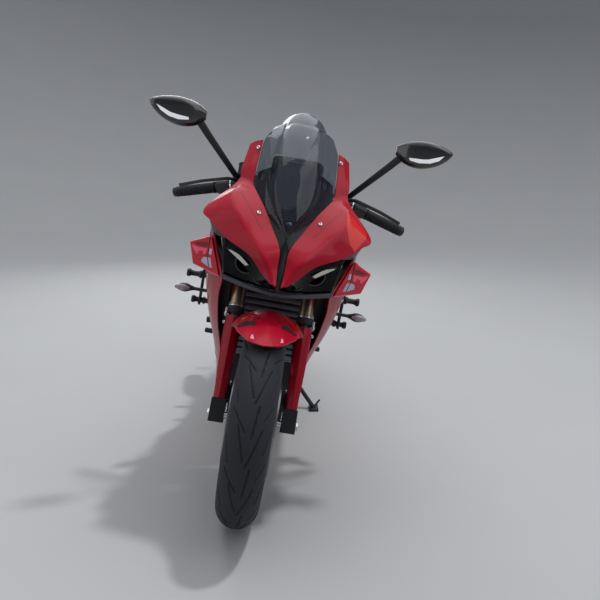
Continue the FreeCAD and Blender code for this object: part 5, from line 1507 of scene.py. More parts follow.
@dataclass
class TankAndTail:
    """Tank, filler cap, tail cowl and the guard over the rear tyre."""

    def build(self, shop: Workshop) -> None:
        """Make each body from its sections.

        Args:
            shop: the workshop.
        """
        rings = [self._tank_ring(*station) for station in TANK_STATIONS]
        tank = Form.loft(smooth_rows(rings, 5))
        piece = shop.make("tank_shell", tank, "chassis", RED_ENAMEL, smooth=28, bevel=1.5)
        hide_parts("fuel_tank")
        self._filler(shop)
        rings = [self._cowl_ring(*station) for station in COWL_STATIONS]
        cowl = Form.loft(smooth_rows(rings, 6))
        base = Form.loft(smooth_rows([
            [(a, y, z + b) for a, b in squircle(wide / 2, tall / 2, 5, 32)]
            for y, z, wide, tall in ((800, 729, 170, 40), (900, 734, 232, 47), (990, 752, 236, 47))
        ], 4))
        piece = shop.make("tail_shell", cowl.add(base), "chassis", RED_ENAMEL, smooth=24, bevel=1.5)
        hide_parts("tail_cowl")
        rows = []
        for step in range(6):
            angle = math.radians(-60 + 74 * step / 5)
            rows.append([(x, WHEELBASE + away * math.sin(angle), REAR_RADIUS + away * math.cos(angle))
                         for x, away in HUGGER_COLUMNS])
        hugger = Form.loft(fine_rows(rows, 5, 3, 12), closed=False, caps=False)
        piece = shop.make("hugger_shell", hugger, "chassis", BLACK_ABS, smooth=24, thick=-3, bevel=0.8)
        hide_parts("rear_hugger")

    def _tank_ring(self, y: float, z: float, wide: float, tall: float, knee: float) -> list[Point]:
        """Return one section: a broad shoulder above, narrower where the knees go.

        Args:
            y: its station.
            z: its middle height.
            wide: its width.
            tall: its height.
            knee: share of the half width that the knees cut in.

        Returns:
            The section.
        """
        half, top, low = wide / 2, z + tall / 2, z - tall / 2
        side = [
            (0, low), (0.55, low + 0.01 * tall), (0.84 - knee, low + 0.09 * tall),
            (0.93 - knee, low + 0.3 * tall), (0.97 - 0.6 * knee, low + 0.46 * tall),
            (1.0, low + 0.6 * tall), (0.97, low + 0.74 * tall), (0.82, low + 0.89 * tall),
            (0.5, low + 0.975 * tall), (0, top),
        ]
        half_ring = smooth_line([(share * half, y, height) for share, height in side], 4)
        return half_ring + [Vector((-spot.x, spot.y, spot.z)) for spot in reversed(half_ring[1:-1])]

    def _cowl_ring(self, y: float, z: float, wide: float, tall: float) -> list[Point]:
        """Return one section of the tail, with a crease along each flank.

        Args:
            y: its station.
            z: its middle height.
            wide: its width.
            tall: its height.

        Returns:
            The section.
        """
        half, top, low = wide / 2, z + tall / 2, z - tall / 2
        side = [(0, low), (0.6, low), (0.84, low + 0.3 * tall), (1.0, low + 0.66 * tall),
                (0.86, low + 0.93 * tall), (0.72, top), (0, top)]
        half_ring = eased_line([(share * half, y, height) for share, height in side], 2, 7)
        return half_ring + [Vector((-spot.x, spot.y, spot.z)) for spot in reversed(half_ring[1:-1])]

    def _filler(self, shop: Workshop) -> None:
        """Set the filler cap and its ring of bolts on the tank's crown.

        Args:
            shop: the workshop.
        """
        found = Skin(bpy.data.objects["tank_shell"]).meet(shop.matrices["chassis"], (0, 500, 1100),
                                                          (0, 0, -1))
        if found is None:
            return
        spot = found[0]
        way = (0, -0.04, 1)
        cap = Form.lathe([(44, -6), (44, 2.5), (40, 4.5), (33, 4.5), (32, 3), (30, 3), (29, 5.5), (8, 7),
                          (7, 5.5)], spot, way, 48)
        grip = Matrix.Translation(spot + Vector((0, 8, 7)))
        cap.add(Form.slab([(-16, -5), (16, -5), (16, 5), (-16, 5)], 4, grip))
        shop.make("filler_cap", cap, "chassis", BLACK_POWDER, smooth=30)
        rows = [((a, spot.y + b, spot.z + 4.2), way, 3.2) for a, b in circle(36.5, 7)]
        Bolts("filler_bolts", "chassis", BRIGHT_STEEL, rows).build(shop)


@dataclass
class Seat:
    """A seat pad of foam under a stitched cover, swelled by cloth simulation.

    Attributes:
        node: the CAD solid that it stands for.
        stations: y, middle height, width and height of each section.
        swell_mm: the most that the foam may push the cover out.
        inset: how far the cover lies inside the CAD's outline before it swells.
    """

    node: str
    stations: Sequence[tuple[float, float, float, float]]
    swell_mm: float = 9.0
    inset: float = 4.0

    def build(self, shop: Workshop) -> None:
        """Loft the pad, let it swell, and sew its seam on.

        Args:
            shop: the workshop.
        """
        rings = []
        for y, z, wide, tall in self.stations:
            ring = squircle(wide / 2 - self.inset, tall / 2 - self.inset / 2, 4.5, 40)
            rings.append([(a, y, z + b) for a, b in ring])
        pad = shop.make(f"{self.node}_pad", Form.loft(smooth_rows(rings, 5)), "chassis", SEAT_VINYL,
                        smooth=60)
        remesh = pad.modifiers.new("even", "REMESH")
        remesh.mode = "VOXEL"
        remesh.voxel_size = 0.006
        shop.flatten(pad)
        self._swell(shop, pad)
        fine = pad.modifiers.new("even_out", "SMOOTH")
        fine.iterations = 6
        fine.factor = 0.5
        shop.flatten(pad)
        pad.data.materials.clear()
        pad.data.materials.append(SEAT_VINYL.material())
        pad.data.shade_smooth()
        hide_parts(self.node)
        self._seam(shop, pad)

    def _swell(self, shop: Workshop, pad: bpy.types.Object) -> None:
        """Blow the cover up a little, cap its travel, and keep the result.

        Args:
            shop: the workshop.
            pad: the pad.
        """
        before = [vertex.co.copy() for vertex in pad.data.vertices]
        cloth = pad.modifiers.new("foam", "CLOTH")
        cloth.settings.use_pressure = True
        cloth.settings.uniform_pressure_force = 3.0
        cloth.settings.effector_weights.gravity = 0
        cloth.settings.quality = 5
        cloth.settings.tension_stiffness = 30
        cloth.point_cache.frame_start = 1
        cloth.point_cache.frame_end = 12
        scene = bpy.context.scene
        for step in range(1, cloth.point_cache.frame_end + 1):
            scene.frame_set(step)
        shop.flatten(pad)
        scene.frame_set(1)
        cap = self.swell_mm * MM
        down = (shop.matrices["chassis"].to_3x3() @ Vector((0, 0, -1))).normalized()
        for vertex, start in zip(pad.data.vertices, before):
            moved = vertex.co - start
            # It lies on its base, so the cover doesn't grow downwards.
            sunk = moved.dot(down)
            if sunk > 0:
                moved -= down * sunk
            if moved.length > cap:
                moved *= cap / moved.length
            vertex.co = start + moved

    def _seam(self, shop: Workshop, pad: bpy.types.Object) -> None:
        """Lay the welt along both upper edges of the pad.

        Args:
            shop: the workshop.
            pad: the pad.
        """
        skin = Skin(pad)
        matrix = shop.matrices["chassis"]
        down = (matrix.to_3x3() @ Vector((0, 0, -1))).normalized()
        first, last = self.stations[0][0] + 8, self.stations[-1][0] - 8
        form = Form()
        for side in (1, -1):
            route = []
            for y, z, wide, tall in self.stations:
                start = matrix @ Vector((side * (wide / 2 - 22), y, z + tall))
                found = skin.hit(matrix, start + Vector((0, 0, 0.05)), down)
                if found is not None:
                    route.append((found[0].x, min(max(y, first), last), found[0].z))
            if len(route) > 2:
                form.add(Form.tube(route, 1.7, 8, 6))
        if form.points:
            shop.make(f"{self.node}_welts", form, "chassis", GRIP_RUBBER)


@dataclass
class Screen:
    """The double bubble windscreen, the dark cowl under it and what shows through.

    Attributes:
        bubble: how far the bubble stands out, in millimetres.
    """

    bubble: float = 13.0

    def _grid(self, rows: Sequence[tuple], inward: float = 0.0, bubble: bool = True) -> list[list[Vector]]:
        """Return the screen's surface, or one inside it.

        Args:
            rows: rows as in SCREEN_ROWS.
            inward: how far inside the screen it lies.
            bubble: whether it bulges as the screen does.

        Returns:
            The surface's rows.
        """
        grid = []
        for y, z, x, mid_y, mid_z in rows:
            line = []
            for step in range(SCREEN_STEPS + 1):
                across = 2 * step / SCREEN_STEPS - 1
                # Each row is a parabola through both edges and the middle.
                share = 1 - across * across
                spot = Vector((x * across, y + (mid_y - y) * share, z + (mid_z - z) * share))
                if bubble:
                    half, full = (0.62, 110) if z < SCREEN_SHOULDER else (1.0, 88)
                    wide = min(x / full, 1.0)
                    lift = max(0.0, 1 - (abs(across) / half) ** 4)
                    spot.y -= self.bubble * wide * min(1.0, 1.6 * lift)
                spot.y += inward
                spot.x *= (x - inward * 0.45) / x if inward and x > 20 else 1.0
                line.append(spot)
            grid.append(line)
        return smooth_rows(grid, 6)

    def _arched(self, grid: Sequence[Sequence[Vector]], drop: float) -> list[list[Vector]]:
        """Lower a grid's upper corners by a share of its rows, so that its top edge is an arch.

        Args:
            grid: the surface's rows.
            drop: how far the corners sink, as a share of its height.

        Returns:
            The new rows.
        """
        last = len(grid) - 1
        rows = []
        for place in range(last + 1):
            row = []
            for step in range(SCREEN_STEPS + 1):
                station = place * (1 - drop * (2 * step / SCREEN_STEPS - 1) ** 2)
                low = min(int(station), last - 1)
                row.append(grid[low][step].lerp(grid[low + 1][step], station - low))
            rows.append(row)
        return rows

    def build(self, shop: Workshop) -> None:
        """Make the screen, the inner cowl, the ribbed duct and the knob.

        Args:
            shop: the workshop.
        """
        screen = Form.loft(self._grid(SCREEN_ROWS), closed=False, caps=False)
        piece = shop.make("screen_shell", screen, "chassis", SMOKE_SCREEN, smooth=50, thick=3)
        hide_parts("windscreen")
        inner = self._arched(self._grid(SCREEN_ROWS[:4], 13, bubble=False), 0.09)
        shop.make("inner_cowl", Form.loft(inner, closed=False, caps=False), "chassis", NAVY_ABS, smooth=40,
                  thick=2.4, bevel=0.6)
        duct = Form()
        for step in range(9):
            z = 884 + step * 6.6
            y = 24 + (z - 884) * 0.62
            duct.add(Form.slab(soft_corners([(-19, -2.2), (19, -2.2), (19, 2.2), (-19, 2.2)], 1.6), 11,
                               basis((0, y, z), (0, -1, 0.55))))
        shop.make("ribbed_duct", duct, "chassis", SMOKE_LENS, bevel=0.5)
        knob = Form.lathe([(9, -6), (9, 3), (7.5, 6), (3, 7.5)], (0, 12, 872), (0, -1, 0.5), 24)
        shop.make("duct_knob", knob, "chassis", CHROME)


@dataclass
class Mirrors:
    """Both mirrors: a rounded shell, its glass, and a flat blade down to the bar."""

    def build(self, shop: Workshop) -> None:
        """Make the shells, blades and glasses.

        Args:
            shop: the workshop.
        """
        shells, blades, glasses, rims = Form(), Form(), Form(), Form()
        for side in (1, -1):
            rings = []
            for x, y, z, depth, height in MIRROR_ROWS:
                rings.append([(side * x, y + a, z + b)
                              for a, b in squircle(depth / 2, height / 2, 2.8, 36)])
            shells.add(Form.loft(smooth_rows(rings, 6)))
            blades.add(self._blade(side))
            glasses.add(self._glass(side, 0.8, 0.4))
            rims.add(self._glass(side, 0.88, 0.0))
        shell = shop.make("mirror_shells", shells, "steering", BLACK_ENAMEL, smooth=40)
        shop.make("mirror_blades", blades, "steering", BLACK_POWDER, smooth=40, bevel=1.2)
        shop.make("mirror_rims", rims, "steering", GRIP_RUBBER, smooth=30)
        shop.make("mirror_glasses", glasses, "steering", MIRROR_GLASS, smooth=30)
        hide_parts("mirrors")
        # A painted highlight: the crescent where each shell reflects the sky, laid as a glowing silver patch.
        Patches("mirror_painted_highlights", MIRROR_PAINTED_HIGHLIGHT, "steering", [
            [(156.5, 103.5), (162.5, 108.0), (170.0, 111.8), (180.0, 115.0), (188.5, 117.0), (188.8, 119.6),
             (178.5, 119.2), (168.5, 115.6), (160.5, 109.6)],
            [(444.5, 156.4), (438.0, 158.2), (430.0, 159.6), (420.0, 159.6), (409.0, 157.8), (410.0, 160.4),
             (419.0, 163.2), (430.0, 163.6), (439.0, 161.2)],
        ], twin=False, proud=0.9).lay(shop, Skin(shell))

    def _blade(self, side: int) -> Form:
        """Return one stalk: broad and flat at the shell, round at its foot.

        Args:
            side: 1 for the rider's left and -1 for the right.

        Returns:
            The stalk.
        """
        route = smooth_line([
            (side * 171, 300, 961), (side * 184, 291, 977), (side * 230, 268, 1028), (side * 276, 245, 1079),
            (side * 312, 228, 1120), (side * 332, 221, 1134),
        ], 5)
        rings = []
        for place, spot in enumerate(route):
            share = place / (len(route) - 1)
            way = (route[min(place + 1, len(route) - 1)] - route[max(place - 1, 0)]).normalized()
            flat = Vector((0, -1, 0.35)).cross(way).normalized()
            deep = way.cross(flat)
            wide, thick = 8 + 5 * share, 7 - 3 * share
            rings.append([spot + flat * a + deep * b for a, b in squircle(wide, thick, 2.6, 20)])
        return Form.loft(rings)

    def _glass(self, side: int, share: float, proud: float) -> Form:
        """Return the glass, or the rim it sits in, on the rider's side of one shell.

        Args:
            side: 1 for the rider's left and -1 for the right.
            share: its size as a share of the opening's.
            proud: how far it stands out towards the rider.

        Returns:
            The glass or the rim.
        """
        rings = []
        for offset in (-2.0, 2.0):
            ring = []
            for a, b in squircle(58 * share, 36 * share, 2.8, 36):
                x = 368 + a
                height = 1.0 - 0.16 * (a / 58)
                ring.append((side * x, 238.5 - 0.16 * a + proud + offset, 1135 + b * height + 0.05 * a))
            rings.append(ring)
        return Form.loft(rings)


# Front pieces


@dataclass
class Patches:
    """Thin patches laid on a skin where the photograph shows them.

    Attributes:
        name: the piece's name.
        finish: its finish.
        body: the body that it rides on.
        shapes: outlines in the photograph's pixels.
        twin: whether each patch has a mirror image on the other side.
        proud: how far it stands off the skin, in millimetres.
    """

    name: str
    finish: Finish
    body: str
    shapes: Sequence[Sequence[Pair]]
    twin: bool = True
    proud: float = 0.7

    def lay(self, shop: Workshop, skin: Skin) -> bpy.types.Object | None:
        """Project every outline on the skin and join the patches into one piece.

        Args:
            shop: the workshop.
            skin: the surface.

        Returns:
            The piece, or None where every outline misses the skin.
        """
        form = Form()
        for shape in self.shapes:
            patch = self._patch(shop, skin, shape)
            if patch is None:
                LOG.warning("%s: an outline misses the skin", self.name)
                continue
            form.add(patch.both_sides() if self.twin else patch)
        if not form.points:
            return None
        return shop.make(self.name, form, self.body, self.finish, smooth=60)

    def _patch(self, shop: Workshop, skin: Skin, shape: Sequence[Pair]) -> Form | None:
        """Return one patch: rings that shrink to its middle, each corner on the skin.

        Args:
            shop: the workshop.
            skin: the surface.
            shape: its outline in pixels.

        Returns:
            The patch, or None where it misses the skin.
        """
        edge = []
        for place, corner in enumerate(shape):
            onward = shape[(place + 1) % len(shape)]
            for step in range(5):
                share = step / 5
                edge.append((corner[0] + (onward[0] - corner[0]) * share,
                             corner[1] + (onward[1] - corner[1]) * share))
        middle = (sum(x for x, _ in edge) / len(edge), sum(y for _, y in edge) / len(edge))
        tops, feet = [], []
        for share in (1.0, 0.75, 0.5, 0.25, 0.03):
            top, foot = [], []
            for x, y in edge:
                pixel = (middle[0] + (x - middle[0]) * share, middle[1] + (y - middle[1]) * share)
                found = skin.hit(shop.matrices[self.body], *shop.sight.ray(*pixel))
                if found is None:
                    return None
                spot, normal = found
                top.append(spot + normal * self.proud)
                foot.append(spot - normal * 0.6)
            tops.append(top)
            feet.append(foot)
        return Form.loft([feet[0]] + tops, caps=False)


@dataclass
class Headlamps:
    """Twin lamps under the cheeks: dark bowls, lenses, light guides and a tinted cover.

    Attributes:
        x: distance of each main lamp from the middle.
        z: its height.
    """

    x: float = 96
    z: float = 750

    def build(self, shop: Workshop) -> None:
        """Make the lamps and let them stand for the CAD's plain ones.

        Args:
            shop: the workshop.
        """
        bowls, lenses, rings, guides = Form(), Form(), Form(), Form()
        for side in (1, -1):
            at = (side * self.x, 8, self.z)
            bowls.add(Form.lathe([(4, 40), (20, 38), (27, 22), (29, 0), (32, 0), (32, 54)], at,
                                 (0, 1, 0), 40))
            lenses.add(Form.lathe([(0.5, 8), (8, 9), (15, 12), (19.5, 17), (21, 24), (21, 30)], at,
                                  (0, 1, 0), 40))
            rings.add(ring_form([(21.4, 16), (24.5, 14), (25.6, 18), (23.5, 22)], at, (0, 1, 0), 44))
            inner = (side * 52, 6, 716)
            bowls.add(Form.lathe([(3, 24), (12, 22), (16, 8), (17, 0), (19.5, 0), (19.5, 34)], inner,
                                 (0, 1, 0), 32))
            lenses.add(Form.lathe([(0.5, 5), (6, 6), (11, 10), (13, 16)], inner, (0, 1, 0), 28))
            front = [(88, -18, 747), (112, -8, 765), (142, 6, 780), (160, 18, 786), (158, 18, 778),
                     (144, 9, 770), (118, -4, 755), (98, -12, 743)]
            guides.add(Form.loft([[(side * x, y + deep, z) for x, y, z in front] for deep in (2, 20)]))
        guide = shop.make("light_guides", guides, "chassis", CREAM_STRIP, bevel=1.2)
        shop.make("lamp_bowls", bowls, "chassis", BLACK_ENAMEL)
        shop.make("lamp_lenses", lenses, "chassis", CLEAR_LENS, smooth=50)
        shop.make("lamp_rings", rings, "chassis", CHROME)
        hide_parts("headlamps")
        self._cover(shop)
        self._lip(shop)
        self._liners(shop)

    def _sheet(self, share: float) -> list[Vector]:
        """Return one line across a cover, from the cheek's edge at share 0 to the lip at share 1.

        Args:
            share: how far down the cover the line lies.

        Returns:
            The line.
        """
        upper = [(24, -60, 716), (50, -46, 744), (92, -25, 780), (130, -8, 795), (166, 12, 806)]
        lower = [(22, 18, 684), (55, 24, 686), (92, 38, 690), (126, 52, 693), (158, 64, 698)]
        bulge = 5 * math.sin(math.pi * share)
        return smooth_line([Vector(a).lerp(Vector(b), share) + Vector((0, -bulge, bulge * 0.3))
                            for a, b in zip(upper, lower)], 6)

    def _cover(self, shop: Workshop) -> None:
        """Close each lamp with a tinted cover between the cheek's edge and the lip."""
        sheet = Form.loft([self._sheet(step / 6) for step in range(7)], closed=False, caps=False)
        shop.make("lamp_covers", sheet.both_sides(), "chassis", LAMP_COVER, smooth=50, thick=2)

    def _liners(self, shop: Workshop) -> None:
        """Close the slot between the lamp pod and the side panels, and the roof under each wing.

        Args:
            shop: the workshop.
        """
        slot = [[(156, 68, 688), (167, 78, 744), (184, 84, 806), (190, 86, 832)],
                [(162, 90, 686), (179, 82, 744), (200, 70, 806), (210, 74, 826)]]
        roof = [[(158, 10, 806), (182, 40, 806), (202, 68, 806), (216, 128, 818)],
                [(196, 38, 834), (212, 50, 844), (228, 78, 858), (226, 134, 852)]]
        form = Form()
        for rows in (slot, roof):
            form.add(Form.loft(fine_rows(rows, 4, 3, 8), closed=False, caps=False))
        shop.make("lamp_side_liners", form.both_sides(), "chassis", PIT_BLACK, smooth=40, thick=2)

    def _lip(self, shop: Workshop) -> None:
        """Run the dark grey bar along the underside of both lamps.

        Args:
            shop: the workshop.
        """
        route = smooth_line([(-162, 66, 692), (-120, 52, 685), (-60, 30, 677), (0, 20, 673), (60, 30, 677),
                             (120, 52, 685), (162, 66, 692)], 5)
        rings = []
        for spot in route:
            rings.append([spot + Vector((0, a, b)) for a, b in squircle(9, 7.5, 3, 16)])
        shop.make("lamp_lip_bar", Form.loft(rings), "chassis", LIP_GREY, smooth=40)


@dataclass
class NoseTrim:
    """Screws, seams and the pale panels, with painted shade in creases and notches and painted sunlight on
    the nose, set where the photograph has them.
    """

    def build(self, shop: Workshop) -> None:
        """Lay the trim on the nose and the winglets.

        Args:
            shop: the workshop.
        """
        skin = Skin(bpy.data.objects["nose_cheek_panels"], bpy.data.objects["screen_shell"],
                    shop.node("nose_band"))
        self._screws(shop, skin)
        # A thin dark red line of painted shade along the crease on each cheek.
        Patches("cheek_crease_shade", RED_IN_SHADE, "chassis", [
            [(343.2, 210.4), (343.7, 211.0), (312.1, 239.2), (311.6, 238.6)],
        ], proud=0.4).lay(shop, skin)
        # Painted light: the cheek's outer facets where the sun falls on them, on one side only.
        Patches("cheek_sunlit_facets", SUNLIT_RED, "chassis", [
            [(348.0, 207.6), (357.0, 219.0), (366.6, 235.6), (366.0, 239.6), (354.4, 252.4), (349.4, 244.0),
             (346.6, 226.0)],
        ], twin=False, proud=0.5).lay(shop, skin)
        wings = self._winglets(shop)
        skin = Skin(wings, bpy.data.objects["side_panels"], bpy.data.objects["nose_cheek_panels"])
        # The white vinyl panels of the winglets, laid in a lilac grey that is painted shade.
        Patches("winglet_white_panels_shaded", WHITE_VINYL_SHADED, "chassis", [
            [(349.2, 274.0), (351.4, 274.4), (350.6, 279.6), (347.6, 279.8)],
            [(347.4, 282.8), (354.6, 284.2), (354.2, 289.2), (345.8, 291.7), (342.6, 291.4)],
        ]).lay(shop, skin)
        Patches("winglet_pink_panels", HUSH_PINK, "chassis", [
            [(353.4, 275.0), (362.3, 277.0), (368.2, 276.2), (366.6, 279.2), (361.4, 283.4), (353.2, 281.6)],
        ]).lay(shop, skin)
        # Painted shade in the notches of the winglets.
        Patches("winglet_notch_shade", RED_IN_SHADE, "chassis", [
            [(354.6, 269.6), (360.6, 271.2), (367.4, 274.0), (362.3, 275.4), (354.4, 274.2)],
            [(350.2, 280.4), (360.0, 284.4), (359.6, 285.2), (350.0, 281.4)],
        ]).lay(shop, skin)
        Patches("winglet_lines", SEAM_DARK, "chassis", [
            [(355.0, 263.0), (355.7, 263.2), (353.3, 272.4), (352.7, 272.2)],
            [(352.9, 273.0), (353.4, 273.2), (350.9, 280.8), (350.3, 280.6)],
            [(350.4, 282.0), (350.9, 282.2), (346.2, 291.6), (345.6, 291.4)],
        ], proud=1.2).lay(shop, skin)

    def _winglets(self, shop: Workshop) -> bpy.types.Object:
        """Make the winglets with rounded edges and a step down their face.

        Args:
            shop: the workshop.

        Returns:
            The piece.
        """
        form = Form()
        for side in (1, -1):
            front = [(207, 74, 798), (276, 130, 764), (260, 150, 696), (168, 98, 680)]
            back = [(228, 150, 790), (262, 262, 758), (252, 262, 700), (224, 210, 676)]
            rings = []
            for share in (0.0, 0.06, 0.5, 1.0):
                ring = [Vector(a).lerp(Vector(b), share) for a, b in zip(front, back)]
                middle = sum(ring, Vector()) / len(ring)
                shrink = 0.93 if share == 0.0 else 1.0
                ring = [middle + (spot - middle) * shrink for spot in ring]
                rings.append([Vector((side * spot.x, spot.y, spot.z)) for spot in ring])
            form.add(Form.loft(rings))
        wings = shop.make("winglet_shells", form, "chassis", WING_RED, smooth=20, bevel=3)
        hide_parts("winglets")
        return wings

    def _screws(self, shop: Workshop, skin: Skin) -> None:
        """Seat the fairing's screws by their pixels.

        Args:
            shop: the workshop.
            skin: the surface of the nose and screen.
        """
        rows = []
        for pixel in ((340.8, 163.8), (320.2, 224.5)):
            found = skin.hit(shop.matrices["chassis"], *shop.sight.ray(*pixel))
            if found is None:
                continue
            spot, way = found
            for side in (1, -1):
                rows.append(((side * spot.x, spot.y, spot.z), (side * way.x, way.y, way.z), 6.5))
        Bolts("screen_screws", "chassis", CHROME, rows).build(shop)


@dataclass
class RadiatorCore:
    """The radiator: a dark core behind slanted slats, rounded tanks and its stays.

    Attributes:
        slats: number of slats.
    """

    slats: int = 11

    def build(self, shop: Workshop) -> None:
        """Make the pieces and let them stand for the CAD's plain ones.

        Args:
            shop: the workshop.
        """
        turn = Matrix.Rotation(math.radians(12), 4, "X")
        centre = Vector((0, 296, 528))
        place = Matrix.Translation(centre) @ turn
        core, slats, tanks = Form(), Form(), Form()
        core.add(block((0, 0, 0), (256, 22, 250), 1))
        for step in range(46):
            core.add(block((0, -11.6, -121 + step * 5.38), (250, 1.4, 1.6), 0.3))
        for step in range(self.slats):
            tilt = Matrix.Rotation(math.radians(32), 4, "X")
            slats.add(block((0, -19, -115 + step * 23), (246, 13, 2.2), 0.8, tilt))
        slats.add(block((0, -19, 124), (252, 12, 4), 1)).add(block((0, -19, -124), (252, 12, 4), 1))
        stay = place.inverted()
        for side in (1, -1):
            tank = Matrix.Translation(Vector((side * 131, -6, 0)))
            tanks.add(Form.slab(squircle(9.5, 18, 3.2, 20), 256, tank))
            for profile, y in (([(6, 0), (6, 124)], 296), ([(9, 0), (9, 4), (6.5, 5)], 416)):
                tanks.add(Form.lathe(profile, (side * 96, y, 540), (0, 1, 0), 16).placed(stay))
        # The slats' pale grey is painted light from above.
        slat = shop.make("radiator_slats", slats.placed(place), "chassis", SLAT_PAINTED_LIGHT, bevel=0.4)
        shop.make("radiator_core", core.placed(place), "chassis", RADIATOR_BLACK)
        shop.make("radiator_tanks", tanks.placed(place), "chassis", BLACK_POWDER, smooth=40)
        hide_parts("radiator")


@dataclass
class ForkTrim:
    """Seals, rings, caps, brackets, pinch bolts and axle nuts of the fork, and the mudguard's trim.

    Attributes:
        seal: height of the seals along the legs.
        top: height of the legs' upper ends.
    """

    seal: float = 308
    top: float = 742

    def build(self, shop: Workshop) -> None:
        """Make the pieces in the fork's own frame.

        Args:
            shop: the workshop.
        """
        seals, rings, caps, brackets, nuts = Form(), Form(), Form(), Form(), Form()
        seal, top = self.seal, self.top
        bolts = []
        for side in (1, -1):
            leg = (side * FORK_HALF, LEG_Y, 0)
            seals.add(ring_form([(19, seal - 8), (25.4, seal - 7), (26.2, seal), (26.2, seal + 9),
                                 (25.4, seal + 12), (22, seal + 12)], leg, (0, 0, 1), 40))
            for low, out, rim, high in ((13, 25.2, 0.6, 18), (96, 23.6, 1, 101)):
                rings.add(ring_form([(22.6, seal + low), (out, seal + low + rim), (out, seal + high - 1),
                                     (22.6, seal + high)], leg, (0, 0, 1), 40))
            caps.add(Form.lathe([(22.3, top + 1), (22.3, top + 4), (20.5, top + 6), (14, top + 6.5),
                                 (12.5, top + 10), (7, top + 10.5), (6, top + 8)], leg, (0, 0, 1), 36))
            brackets.add(block((side * (FORK_HALF + 26), LEG_Y - 8, 300), (8, 20, 26), 3))
            brackets.add(block((side * (FORK_HALF + 22), LEG_Y - 4, 292), (10, 26, 5), 1.5))
            for station in (self.seal - 40, self.seal - 12):
                bolts.append(((side * (FORK_HALF + 27), LEG_Y - 16, station), (side * 0.5, -0.9, 0), 5))
            for station, y in ((-10, 18), (26, 18)):
                bolts.append(((side * (FORK_HALF - 1 + 20.4), LEG_Y + y, station), (side, 0, 0), 5))
            for y in (34, 96):
                bolts.append(((side * 113.2, LEG_Y + y, 66), (side, 0, 0), 6.5))
            for station in (488, 503):
                bolts.append(((side * (FORK_HALF + 14), LEG_Y - 31, station - 7), (side * 0.4, -0.92, 0),
                              4.6))
        shop.make("fork_seals", seals, "steering", GRIP_RUBBER, "fork")
        shop.make("fork_rings", rings, "steering", BRIGHT_STEEL, "fork")
        shop.make("fork_caps", caps, "steering", CONTROL_RED, "fork", smooth=40)
        shop.make("fork_brackets", brackets, "steering", BRIGHT_STEEL, "fork", bevel=0.8)
        Bolts("fork_bolts", "steering", BRIGHT_STEEL, bolts, "fork").build(shop)
        for side in (1, -1):
            nuts.add(Form.slab(circle(13.5, 6), 7, basis((side * 129.5, LEG_Y, 0), (1, 0, 0))))
            nuts.add(ring_form([(7, -4.5), (17, -4.5), (17, -1.5), (7, -1.5)], (side * 129.5, LEG_Y, 0),
                               (side, 0, 0), 32))
        shop.make("front_axle_nuts", nuts, "steering", BRIGHT_STEEL, "fork", bevel=0.8)
        skin = Skin(bpy.data.objects["fork_guards"], bpy.data.objects["mudguard_shell"])
        Patches("mudguard_slots", SEAM_DARK, "steering", [
            [(236.6, 326.6), (240.4, 323.6), (245.5, 321.6), (254.6, 321.0), (256.6, 324.6), (249.7, 325.0),
             (238.1, 327.4)],
            [(280.4, 327.1), (284.7, 325.3), (289.4, 328.9), (296.8, 335.6), (295.4, 336.2), (286.4, 331.1),
             (280.9, 328.8)],
        ], twin=False).lay(shop, skin)
        # Painted highlights along the mudguard's ridges.
        Patches("mudguard_ridge_highlights", SUNLIT_RED, "steering", [
            [(240.6, 320.2), (251.3, 313.6), (251.9, 314.2), (241.4, 321.4)],
            [(282.4, 315.4), (283.0, 314.8), (291.4, 322.8), (296.4, 331.8), (295.7, 332.2), (290.6, 323.6)],
        ], twin=False, proud=1.6).lay(shop, skin)
        Patches("mudguard_tabs", PINK_VINYL, "steering", [
            [(251.7, 334.6), (253.0, 334.6), (254.0, 339.2), (250.2, 338.4)],
            [(281.5, 339.0), (282.6, 339.0), (283.6, 343.0), (280.4, 343.2)],
        ], twin=False).lay(shop, skin)
        Patches("mudguard_dots", CHROME, "steering", [
            [(259.0, 318.6), (260.6, 318.6), (260.6, 320.2), (259.0, 320.2)],
            [(278.6, 322.4), (280.2, 322.4), (280.2, 324.0), (278.6, 324.0)],
        ], twin=False, proud=1.5).lay(shop, skin)


